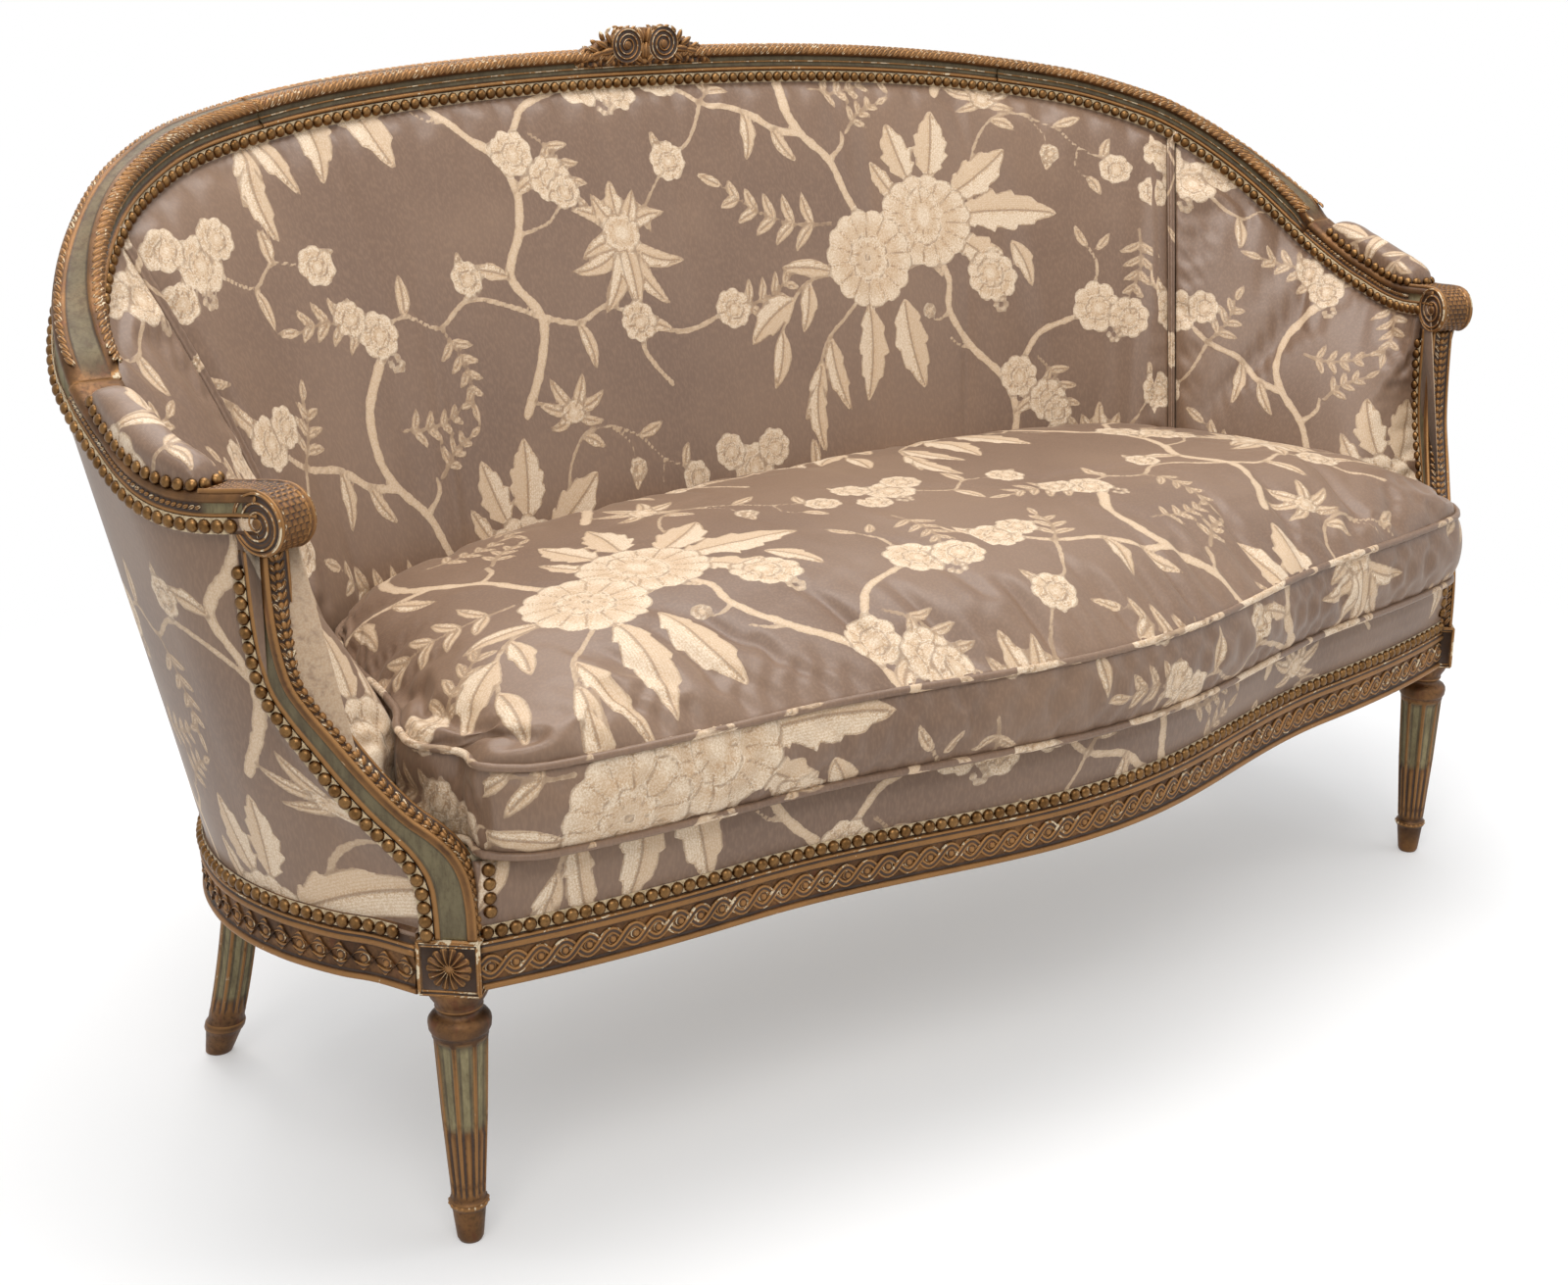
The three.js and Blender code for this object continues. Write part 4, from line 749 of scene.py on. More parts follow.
def group(name, inputs, outputs, build):
    """A shader node group; build gets its tree and its inputs and returns its outputs by name."""
    tree = bpy.data.node_groups.new(name, "ShaderNodeTree")
    kinds = {"c": "NodeSocketColor", "f": "NodeSocketFloat"}
    for key, kind, default in inputs:
        tree.interface.new_socket(key, in_out="INPUT", socket_type=kinds[kind]).default_value = default
    for key, kind in outputs:
        tree.interface.new_socket(key, in_out="OUTPUT", socket_type=kinds[kind])
    entry, leave = tree.nodes.new("NodeGroupInput"), tree.nodes.new("NodeGroupOutput")
    for key, value in build(Tree(tree), entry.outputs).items():
        tree.links.new(value, leave.inputs[key])
    return tree


def material(name, tree_group, values, surface, bump=0.3, depth=0.001):
    """A Principled material whose varying channels come from one group."""
    made_one = bpy.data.materials.new(name)
    made_one.use_nodes = True
    tree = Tree(made_one.node_tree)
    shader = made_one.node_tree.nodes["Principled BSDF"]
    for key, value in surface.items():
        shader.inputs[key].default_value = value
    inner = tree.node("Group", node_tree=tree_group)
    for key, value in values.items():
        inner.inputs[key].default_value = value
    names = {"Colour": "Base Color", "Roughness": "Roughness", "Metal": "Metallic"}
    for key, socket in names.items():
        if key in inner.outputs:
            tree.feed(shader.inputs[socket], inner.outputs[key])
    lift = tree.node("Bump", inputs={"Strength": bump, "Distance": depth, "Height": inner.outputs["Height"]})
    tree.feed(shader.inputs["Normal"], lift.outputs[0])
    return made_one


def worn_gilding_and_painted_light(t, given):
    place = t.place()
    proud, paint = t.field("relief"), t.field("paint")
    broad = t.noise(place, 22, 4, 0.6)
    fine = t.noise(place, 260, 4, 0.65)
    patch = t.noise(place, 70, 5, 0.7, distortion=0.6)
    streak = t.noise(place, 90, 4, 0.7, stretch=(1, 1, 0.25))
    hollow = t.ramp(proud, 0.02, -0.32)
    crest = t.ramp(t.math("ADD", proud, t.math("MULTIPLY", t.math("SUBTRACT", fine, 0.5), 0.35)), 0.06, 0.5)
    gold = t.blend(t.ramp(broad, 0.32, 0.68), given["Gold"], given["Brown"])
    gold = t.blend(t.math("MULTIPLY", t.ramp(fine, 0.45, 0.72), 0.62), gold, given["Umber"])
    gold = t.blend(t.math("MULTIPLY", t.ramp(streak, 0.53, 0.68), 0.62), gold, given["Bole"])
    # Painted highlight: raised carving is lightened towards a bright gold, partly real rubbing and partly light
    # standing on the crests.
    gold = t.blend(t.math("MULTIPLY", crest, 0.75), gold, given["Rubbed highlight"])
    # Darker in the hollows: umber is laid on sunk relief here and on the paint below, partly patina and partly painted
    # shade in the recesses.
    gold = t.blend(t.math("MULTIPLY", hollow, 0.84), gold, given["Umber"])
    green = t.blend(t.ramp(streak, 0.35, 0.7), given["Paint"], given["Old paint"])
    green = t.blend(t.math("MULTIPLY", t.ramp(fine, 0.5, 0.8), 0.4), green, given["Brown"])
    green = t.blend(t.math("MULTIPLY", hollow, 0.6), green, given["Umber"])
    base = t.blend(paint, gold, green)
    worn = t.math("ADD", t.math("MULTIPLY", t.math("MINIMUM", proud, 0.8), given["Wear"]), patch)
    chip = t.math("MULTIPLY", t.ramp(worn, 0.86, 0.9), t.ramp(t.noise(place, 160, 3), 0.4, 0.52))
    base = t.blend(chip, base, given["Gesso"])
    bare = t.math("SUBTRACT", 1.0, t.math("MAXIMUM", chip, paint), clamp=True)
    metal = t.math("MULTIPLY", bare, t.math("SUBTRACT", 0.62, t.math("MULTIPLY", hollow, 0.5)))
    rough = t.math("ADD", 0.38, t.math("MULTIPLY", fine, 0.25))
    rough = t.math("ADD", rough, t.math("MULTIPLY", t.math("SUBTRACT", 1.0, bare), 0.2))
    height = t.math("SUBTRACT", t.math("MULTIPLY", fine, 0.5), t.math("MULTIPLY", chip, 0.7))
    height = t.math("ADD", height, t.math("MULTIPLY", streak, 0.4))
    return {"Colour": base, "Roughness": rough, "Metal": metal, "Height": height}


def brocade_cloth(t, given):
    place = t.place()
    motif, edge, rib, tone = (t.field(n) for n in ("motif", "edge", "rib", "tone"))
    stipple = t.noise(place, 620, 2, 0.6)
    broad = t.noise(place, 5, 3, 0.5)
    weave = t.node("TexWave", inputs={"Vector": place, "Scale": 240.0, "Distortion": 2.0, "Detail": 1.0}).outputs["Fac"]
    twill = t.noise(place, 420, 1, 0.5, stretch=(1, 1, 0.3))
    wobble = t.math("MULTIPLY", t.math("SUBTRACT", t.noise(place, 150, 2), 0.5), 2.2)
    inside = t.ramp(t.math("ADD", motif, wobble), -0.5, 0.5)
    ground = t.blend(t.ramp(broad, 0.35, 0.65), given["Ground"], given["Deep ground"])
    ground = t.blend(t.math("MULTIPLY", t.ramp(twill, 0.4, 0.7), 0.3), ground, given["Satin"])
    thread = t.blend(t.ramp(stipple, 0.40, 0.60), given["Gold thread"], given["Cream thread"])
    flower = t.ramp(tone, 0.99, 1.0)
    far = t.ramp(t.math("ABSOLUTE", rib), 0.3, 7.0)
    thread = t.blend(t.math("MULTIPLY", far, 0.45), thread, given["Cream thread"])
    half = t.math("MULTIPLY", t.ramp(rib, -0.6, 0.6), t.math("SUBTRACT", 0.45, t.math("MULTIPLY", flower, 0.45)))
    thread = t.blend(half, thread, given["Gold thread"])
    stroke = t.ramp(t.math("SINE", t.math("MULTIPLY", rib, 2.4)), -0.2, 0.9)
    thread = t.blend(t.math("MULTIPLY", stroke, t.math("SUBTRACT", 0.3, t.math("MULTIPLY", flower, 0.12))), thread, given["Gold thread"])
    middle = t.math("MULTIPLY", t.ramp(tone, 1.0, 1.02), t.ramp(t.math("ABSOLUTE", t.math("SUBTRACT", tone, 1.55)), 0.28, 0.1))
    thread = t.blend(t.math("MULTIPLY", middle, 0.4), thread, given["Gold thread"])
    vein = t.math("SUBTRACT", 1.0, t.ramp(t.math("ABSOLUTE", rib), 0.5, 2.2), clamp=True)
    outline = t.math("SUBTRACT", 1.0, t.ramp(edge, 0.5, 2.6), clamp=True)
    lines = t.math("MAXIMUM", t.math("MULTIPLY", vein, 0.62), t.math("MULTIPLY", outline, 0.72))
    thread = t.blend(lines, thread, given["Line"])
    colour = t.blend(inside, ground, thread)
    rough = t.math("ADD", 0.42, t.math("MULTIPLY", inside, 0.12))
    height = t.math("ADD", t.math("MULTIPLY", inside, 0.9), t.math("MULTIPLY", t.math("SUBTRACT", stipple, 0.5), inside))
    height = t.math("SUBTRACT", height, t.math("MULTIPLY", lines, 0.5))
    height = t.math("ADD", height, t.math("MULTIPLY", weave, 0.12))
    return {"Colour": colour, "Roughness": rough, "Height": height}


def rubbed_finish(t, given):
    """Two colours broken by grain, for brass, braid, beech and webbing."""
    place = t.place()
    grain = t.noise(t.node("Mapping", inputs={"Vector": place, "Scale": (1.0, 1.0, 1.0)}).outputs[0], given["Scale"], 4.0, 0.6)
    fine = t.noise(place, t.math("MULTIPLY", given["Scale"], 6.0), 3.0, 0.6)
    colour = t.blend(t.ramp(grain, 0.35, 0.65), given["First"], given["Second"])
    colour = t.blend(t.math("MULTIPLY", t.ramp(fine, 0.5, 0.72), 0.4), colour, given["Third"])
    rough = t.math("ADD", given["Rough"], t.math("MULTIPLY", t.math("SUBTRACT", fine, 0.5), 0.25))
    return {"Colour": colour, "Roughness": rough, "Height": fine}


def finishes():
    """Every material of the object, by name."""
    look = bpy.context.scene.settee_finish
    gilding = group(
        "worn_gilding_and_painted_light",
        [("Gold", "c", linear("#78532d")), ("Brown", "c", linear("#462e1a")), ("Rubbed highlight", "c", linear("#9c7141")),
         ("Umber", "c", linear("#2a190d")), ("Bole", "c", linear("#5c321b")), ("Gesso", "c", linear("#d2c1a2")),
         ("Paint", "c", linear("#867b58")), ("Old paint", "c", linear("#62573a")), ("Wear", "f", 0.5)],
        [("Colour", "c"), ("Roughness", "f"), ("Metal", "f"), ("Height", "f")], worn_gilding_and_painted_light,
    )
    cloth = group(
        "brocade_cloth",
        [("Ground", "c", (0, 0, 0, 1)), ("Deep ground", "c", (0, 0, 0, 1)), ("Satin", "c", (0, 0, 0, 1)),
         ("Gold thread", "c", (0, 0, 0, 1)), ("Cream thread", "c", (0, 0, 0, 1)), ("Line", "c", (0, 0, 0, 1))],
        [("Colour", "c"), ("Roughness", "f"), ("Height", "f")], brocade_cloth,
    )
    rubbed = group(
        "rubbed_finish",
        [("First", "c", (0, 0, 0, 1)), ("Second", "c", (0, 0, 0, 1)), ("Third", "c", (0, 0, 0, 1)),
         ("Scale", "f", 60.0), ("Rough", "f", 0.5)],
        [("Colour", "c"), ("Roughness", "f"), ("Height", "f")], rubbed_finish,
    )
    made_all = {
        "gilt": material("gilt", gilding, {"Gold": tuple(look.gold) + (1,), "Wear": look.wear}, {"Specular IOR Level": 0.5}, 0.5, 0.0008),
        "cloth": material(
            "cloth", cloth,
            {"Ground": tuple(look.ground) + (1,), "Deep ground": linear("#6d5544"), "Satin": linear("#8e725b"),
             "Gold thread": linear("#b39370"), "Cream thread": tuple(look.thread) + (1,), "Line": linear("#7c6148")},
            {"Sheen Weight": 0.1, "Sheen Roughness": 0.4, "Sheen Tint": (0.9, 0.78, 0.66, 1), "Specular IOR Level": 0.42}, 0.35, 0.0006),
    }
    plain = (
        ("brass", ("#80603c", "#604427", "#352414"), 90.0, 0.36, {"Metallic": 1.0}),
        ("braid", ("#c9b490", "#a58f6c", "#7d6647"), 300.0, 0.85, {"Sheen Weight": 0.3}),
        ("beech", ("#a47f56", "#8a6742", "#6d4d2f"), 30.0, 0.65, {}),
        ("jute", ("#a38c63", "#8b7450", "#6e5a3c"), 240.0, 0.9, {"Sheen Weight": 0.2}),
        ("ticking", ("#b8a98e", "#a59678", "#8d7f66"), 200.0, 0.9, {"Sheen Weight": 0.2}),
    )
    for name, colours, scale, rough, surface in plain:
        values = dict(zip(("First", "Second", "Third"), map(linear, colours)), Scale=scale, Rough=rough)
        made_all[name] = material(name, rubbed, values, surface, 0.35, 0.0005)
    return made_all


# Repeated pieces, set out by Geometry Nodes


def repeating_tree():
    """Sets one shape on every point, turned by the point's facing and heading."""
    tree = bpy.data.node_groups.new("set_out", "GeometryNodeTree")
    face = tree.interface
    face.new_socket("Places", in_out="INPUT", socket_type="NodeSocketGeometry")
    face.new_socket("Shape", in_out="INPUT", socket_type="NodeSocketObject")
    face.new_socket("Size", in_out="INPUT", socket_type="NodeSocketFloat").default_value = 1.0
    face.new_socket("Uneven", in_out="INPUT", socket_type="NodeSocketFloat").default_value = 0.0
    face.new_socket("Finish", in_out="INPUT", socket_type="NodeSocketMaterial")
    face.new_socket("Pieces", in_out="OUTPUT", socket_type="NodeSocketGeometry")
    new, link = tree.nodes.new, tree.links.new
    entry, leave = new("NodeGroupInput"), new("NodeGroupOutput")
    shape = new("GeometryNodeObjectInfo")
    link(entry.outputs["Shape"], shape.inputs["Object"])
    ways = []
    for name in ("facing", "heading"):
        way = new("GeometryNodeInputNamedAttribute")
        way.data_type = "FLOAT_VECTOR"
        way.inputs["Name"].default_value = name
        ways.append(way.outputs["Attribute"])
    turn = new("FunctionNodeAxesToRotation")
    turn.primary_axis, turn.secondary_axis = "Z", "X"
    link(ways[0], turn.inputs[0])
    link(ways[1], turn.inputs[1])
    chance = new("FunctionNodeRandomValue")
    chance.data_type = "FLOAT"
    link(entry.outputs["Uneven"], chance.inputs[3])
    chance.inputs["Seed"].default_value = 7
    less = new("ShaderNodeMath")
    less.operation = "SUBTRACT"
    link(entry.outputs["Size"], less.inputs[0])
    link(chance.outputs[1], less.inputs[1])
    own = new("GeometryNodeInputNamedAttribute")
    own.data_type = "FLOAT"
    own.inputs["Name"].default_value = "size"
    both = new("ShaderNodeMath")
    both.operation = "MULTIPLY"
    link(less.outputs[0], both.inputs[0])
    link(own.outputs["Attribute"], both.inputs[1])
    each = new("GeometryNodeInstanceOnPoints")
    link(entry.outputs["Places"], each.inputs["Points"])
    link(shape.outputs["Geometry"], each.inputs["Instance"])
    link(turn.outputs[0], each.inputs["Rotation"])
    link(both.outputs[0], each.inputs["Scale"])
    real, paint = new("GeometryNodeRealizeInstances"), new("GeometryNodeSetMaterial")
    link(each.outputs[0], real.inputs[0])
    link(real.outputs[0], paint.inputs["Geometry"])
    link(entry.outputs["Finish"], paint.inputs["Material"])
    link(paint.outputs[0], leave.inputs[0])
    return tree


def set_out(name, rows, shape, finish, size=1.0, uneven=0.0):
    """Copies of a shape on rows of (point, facing, heading, size), in leg frame millimetres."""
    mesh = bpy.data.meshes.new(name + "_places")
    mesh.from_pydata(metres([r[0] for r in rows]).tolist(), [], [])
    for key, column in (("facing", 1), ("heading", 2)):
        layer = mesh.attributes.new(key, "FLOAT_VECTOR", "POINT")
        layer.data.foreach_set("vector", unit([r[column] for r in rows]).astype(np.float32).ravel())
    sizes = mesh.attributes.new("size", "FLOAT", "POINT")
    sizes.data.foreach_set("value", np.array([r[3] if len(r) > 3 else 1 for r in rows], np.float32))
    base = bpy.data.objects.new(name + "_places", mesh)
    template = bpy.data.objects.new(name + "_shape", shape)
    for thing in (base, template):
        bpy.context.scene.collection.objects.link(thing)
    live = base.modifiers.new("set_out", "NODES")
    tree = bpy.data.node_groups.get("set_out") or repeating_tree()
    values = {"Shape": template, "Size": size, "Uneven": uneven, "Finish": finish}
    live.node_group = tree
    for socket in tree.interface.items_tree:
        if socket.in_out == "INPUT" and socket.name in values:
            live[socket.identifier] = values[socket.name]
    bpy.context.view_layer.update()
    result = bpy.data.meshes.new_from_object(base.evaluated_get(bpy.context.evaluated_depsgraph_get()))
    result.name = name
    for thing in (base, template):
        bpy.data.objects.remove(thing)
    for key in ("facing", "heading", "size"):
        if key in result.attributes:
            result.attributes.remove(result.attributes[key])
    result.polygons.foreach_set("use_smooth", [True] * len(result.polygons))
    piece = bpy.data.objects.new(name, result)
    bpy.context.scene.collection.objects.link(piece)
    return piece


def shape_of(name, verts, faces):
    mesh = bpy.data.meshes.new(name)
    mesh.from_pydata((np.asarray(verts, float) * MM).tolist(), [], [tuple(f) for f in faces])
    work = bmesh.new()
    work.from_mesh(mesh)
    bmesh.ops.recalc_face_normals(work, faces=work.faces)
    work.to_mesh(mesh)
    work.free()
    return mesh


def turned_shape(name, profile, sides=10, squash=1.0):
    """A small turned shape with its axis along Z; the profile runs from its rim to its crown."""
    angles = np.arange(sides) * 2 * math.pi / sides
    verts = [(r * math.cos(a), squash * r * math.sin(a), z) for r, z in profile[:-1] for a in angles]
    rows = len(profile) - 1
    faces = quads(rows, sides).tolist()
    verts += [(0, 0, profile[-1][1]), (0, 0, profile[0][1])]
    top = rows * sides
    faces += [((rows - 1) * sides + j, (rows - 1) * sides + (j + 1) % sides, top) for j in range(sides)]
    faces += [((j + 1) % sides, j, top + 1) for j in range(sides)]
    return shape_of(name, verts, faces)


def lobe_shape(name, length, width, height, skew=0.0, sink=1.2):
    """A small carved lobe, long in X, with a sunk middle line."""
    steps, sides = 6, 6
    rings = []
    for i in range(steps + 1):
        t = i / steps
        half = width / 2 * math.sin(math.pi * (0.06 + 0.88 * t)) ** 0.8
        x = (t - 0.5) * length
        ring = [(x + skew * math.cos(a) * half, half * math.cos(a), height * math.sin(a) * (half * 2 / width) - (height * 0.28 if j == sides // 2 else 0))
                for j, a in ((j, math.pi * j / sides) for j in range(sides + 1))]
        ring += [(x, -half * 0.8, -sink), (x, half * 0.8, -sink)]
        rings.append(ring)
    m = len(rings[0])
    verts = [p for ring in rings for p in ring]
    faces = quads(steps + 1, m).tolist() + [tuple(range(m))[::-1], tuple(steps * m + j for j in range(m))]
    return shape_of(name, verts, faces)


def nail_shape():
    reach = bpy.context.scene.settee_size.nail / MM / 2
    share = ((1, -1.4), (1, 0.1), (0.95, 0.3), (0.82, 0.52), (0.6, 0.7), (0.32, 0.8), (0, 0.84))
    return turned_shape("nail_head", [(reach * r, reach * z if z > 0 else z) for r, z in share], 12)


# Mouldings and frame


RAIL_PROFILE = [
    (-32, 0), (-4, 0), (-1.6, 0.3), (-0.2, 1.2), (0.5, 2.8), (0.3, 4.6), (-0.8, 5.9), (-2.6, 6.4), (-3.6, 7.2),
    (-3.2, 8.6), (-3, 11), (-3, 31), (-3.3, 33), (-3.6, 34), (-1.6, 34.5), (-0.1, 35.2), (0.5, 36.6), (0.5, 38.4),
    (-0.2, 39.8), (-1.4, 40.4), (-1.7, 41.4), (-0.9, 42.2), (-0.9, 43.4), (-2, 44.2), (-4, 44.8), (-4, 58), (-32, 58),
]


def rail_rings(spots):
    out = [-s.inward for s in spots]
    return np.array([[s.point + o * n + UP * (z - RAIL_HEIGHT) for n, z in RAIL_PROFILE] for s, o in zip(spots, out)])


def spots_between(bend_spot, start, end, step):
    """Spots spaced evenly by run along a path."""
    marks = np.linspace(start, end, 120)
    points = np.array([bend_spot(m).point for m in marks])
    run = run_of(points)
    count = max(int(run[-1] / step), 2)
    wanted = np.linspace(0, run[-1], count + 1)
    return [bend_spot(m) for m in np.interp(wanted, run, marks)], wanted


RAIL_PATHS = {
    "front_seat_rail": (front_spot, -655, 655),
    "right_side_rail": (lambda u: spot_on(BASE, u), REAR + 0.004, LAST),
    "back_seat_rail": (lambda u: spot_on(BASE, u), 0.004 - REAR, REAR - 0.004),
}
GUILLOCHE_LEVEL, GUILLOCHE_PITCH, GUILLOCHE_SWING = 20.6, 21.9, 8.2


def guilloche(path, start, end, name, finish):
    """Two ribbons plaited round a row of eyes, along a rail's frieze."""
    spots, run = spots_between(path, start, end, 2.2)
    cells = max(round(run[-1] / GUILLOCHE_PITCH), 1)
    phase = run / run[-1] * cells * math.pi
    across = np.array([-3.4, -2.9, -1.7, -0.7, 0.7, 1.7, 2.9, 3.4, 2.9, -2.9])
    rise = np.array([-0.6, 0.7, 1.0, 0.35, 0.35, 1.0, 0.7, -0.6, -1.6, -1.6])
    ribbons = []
    for way in (1, -1):
        rings = []
        for s, p in zip(spots, phase):
            slope = way * math.cos(p) * GUILLOCHE_SWING * math.pi / GUILLOCHE_PITCH
            tilt = math.hypot(1, slope)
            tangent = s.tangent if s.tangent @ np.cross(UP, -s.inward) > 0 else -s.tangent
            side = (UP - tangent * slope) / tilt
            middle = s.point + UP * (GUILLOCHE_LEVEL - RAIL_HEIGHT + way * GUILLOCHE_SWING * math.sin(p))
            proud = -1.7 + 0.55 * way * math.cos(p)
            rings.append([middle + side * a - s.inward * (proud + r) for a, r in zip(across, rise)])
        ribbons.append(lofted(f"{name}_ribbon_{way}", rings, finish))
    eyes = []
    for i in range(cells):
        mark = (i + 0.5) / cells * run[-1]
        k = int(np.searchsorted(run, mark))
        s = spots[min(k, len(spots) - 1)]
        eyes.append((s.point + UP * (GUILLOCHE_LEVEL - RAIL_HEIGHT) + s.inward * 3.1, -s.inward, s.tangent))
    eye = turned_shape("guilloche_eye", [(5.0, -0.8), (5.0, 0.6), (4.4, 1.3), (3.7, 0.9), (3.3, 1.6), (2.0, 3.0), (0, 3.6)], 12)
    ribbons.append(set_out(f"{name}_eyes", eyes, eye, finish))
    return ribbons


def build_seat_rails(finish):
    for name, (path, start, end) in RAIL_PATHS.items():
        spots, _ = spots_between(path, start, end, 7)
        rail = lofted(name + "_moulding", rail_rings(spots), finish["gilt"], paint=0)
        carving = joined_as(name + "_guilloche", guilloche(path, start, end, name, finish["gilt"]))
        if name.startswith("right"):
            plain = name.replace("right_", "")
            pair(rail, plain + "_moulding", "frame", "gilded_wood", plain)
            pair(carving, plain + "_guilloche", "frame", "gilded_wood")
        else:
            finished(rail, "frame", "gilded_wood", name)
            finished(carving, "frame", "gilded_wood")


def flute(angle, count):
    """How deep the fluting is at an angle, as a share."""
    turn = (np.asarray(angle) * count / (2 * math.pi)) % 1
    return smooth(0.40 - np.abs(turn - 0.5), 0.0, 0.10)


LEG_PROFILE = [
    (0, 8), (0.5, 10), (4, 11.6), (30, 14.4), (33.5, 14.8), (34.5, 16.2), (36.5, 17), (39, 17), (41, 16.2),
    (42, 14.6), (44, 14.2), (46, 15), (50, 15.4), (58, 15.9), (120, 20), (188, 23.2), (196, 23.6), (199, 24),
    (203, 24.2), (204, 25.4), (206, 26.4), (211, 26.9), (214, 26.6), (217, 24.6), (219, 21.6), (220.4, 19.4),
    (222, 18.2), (224, 18.4), (225.4, 20.2), (226.6, 20.6), (228, 20), (231, 21), (236, 24.2), (241, 26.2),
    (244, 26.8), (246, 26.8),
]


def turned_leg(name, centre_at, profile, count, low, high, finish, depth=3.0, cable=0.42):
    """A turned and fluted leg along its own line; flutes are painted above the cabled part."""
    heights = np.array([p[0] for p in profile], float)
    radii = np.array([p[1] for p in profile], float)
    levels = np.unique(np.concatenate([heights, np.linspace(low, high, 34), np.arange(4.0, low, 4.0)]))
    angles = np.arange(96) * 2 * math.pi / 96
    rings, paint = [], []
    for z in levels:
        r = np.interp(z, heights, radii)
        inside = float(smooth(z, low + 2, low + 7) * (1 - smooth(z, high - 7, high - 2)))
        groove = flute(angles, count) * inside
        cabled = 1 - 0.72 * float(smooth(low + (high - low) * cable - z, -3, 3)) * np.cos((angles * count / (2 * math.pi) % 1 - 0.5) * math.pi) ** 2
        reach = r - depth * groove * cabled
        c = centre_at(z)
        rings.append(np.stack([c[0] + reach * np.cos(angles), c[1] + reach * np.sin(angles), np.full(96, z)], 1))
        paint.append(groove * float(smooth(z, low + (high - low) * cable, low + (high - low) * cable + 8)))
    return lofted(name, rings, finish, paint=np.array(paint))


def block_piece(name, centre, side, tall, turn, finish):
    """The square block with softened corners and a sunk panel on its outer faces."""
    work = bmesh.new()
    bmesh.ops.create_cube(work, size=1.0)
    bmesh.ops.scale(work, vec=(side, side, tall), verts=work.verts)
    sides = [f for f in work.faces if abs(f.normal.z) < 0.5]
    for face in sides:
        inner = bmesh.ops.inset_individual(work, faces=[face], thickness=5, depth=0)
        bmesh.ops.inset_individual(work, faces=[face], thickness=1.2, depth=-2.4)
        del inner
    bmesh.ops.bevel(work, geom=[e for e in work.edges if e.calc_length() > tall * 0.9 and e.is_manifold], offset=1.4, segments=2, affect="EDGES")
    bmesh.ops.subdivide_edges(work, edges=work.edges, cuts=1, use_grid_fill=True)
    bmesh.ops.rotate(work, verts=work.verts, matrix=Matrix.Rotation(turn, 3, "Z"))
    bmesh.ops.translate(work, verts=work.verts, vec=centre)
    mesh = bpy.data.meshes.new(name)
    work.to_mesh(mesh)
    work.free()
    piece = made(name, [tuple(v.co) for v in mesh.vertices], [tuple(p.vertices) for p in mesh.polygons], finish)
    bpy.data.meshes.remove(mesh)
    put(piece, "paint", np.zeros(len(piece.data.vertices)))
    return piece


def rosette(name, centre, facing, radius, petals, finish, lift=3.2):
    """A petalled rosette on a plane: a relief disc with grooved petals and a raised eye."""
    facing = unit(facing)
    right = unit(np.cross(UP, facing))
    up = np.cross(facing, right)
    rings = []
    for share in np.concatenate([[1.0, 1.0], np.linspace(0.985, 0.05, 20)]):
        angles = np.arange(petals * 8) * 2 * math.pi / (petals * 8)
        petal = np.abs(np.cos(petals * angles / 2))
        edge = radius * (0.88 + 0.12 * petal**0.7)
        body = (petal**0.6) * math.sin(math.pi * min(max((share - 0.16) / 0.84, 0), 1) ** 0.8) ** 0.6 * lift
        rib = 0.8 * np.exp(-((petal - 1) / 0.05) ** 2) * (0.2 < share < 0.95)
        eye = 2.6 * math.sqrt(max(1 - (share / 0.18) ** 2, 0))
        rise = body + rib + eye - 0.6
        if not rings:
            rise = np.full(len(angles), -2.0)
        reach = edge * share
        rings.append(centre + right * (reach * np.cos(angles))[:, None] + up * (reach * np.sin(angles))[:, None] + facing * rise[:, None])
    return lofted(name, rings, finish, paint=0)


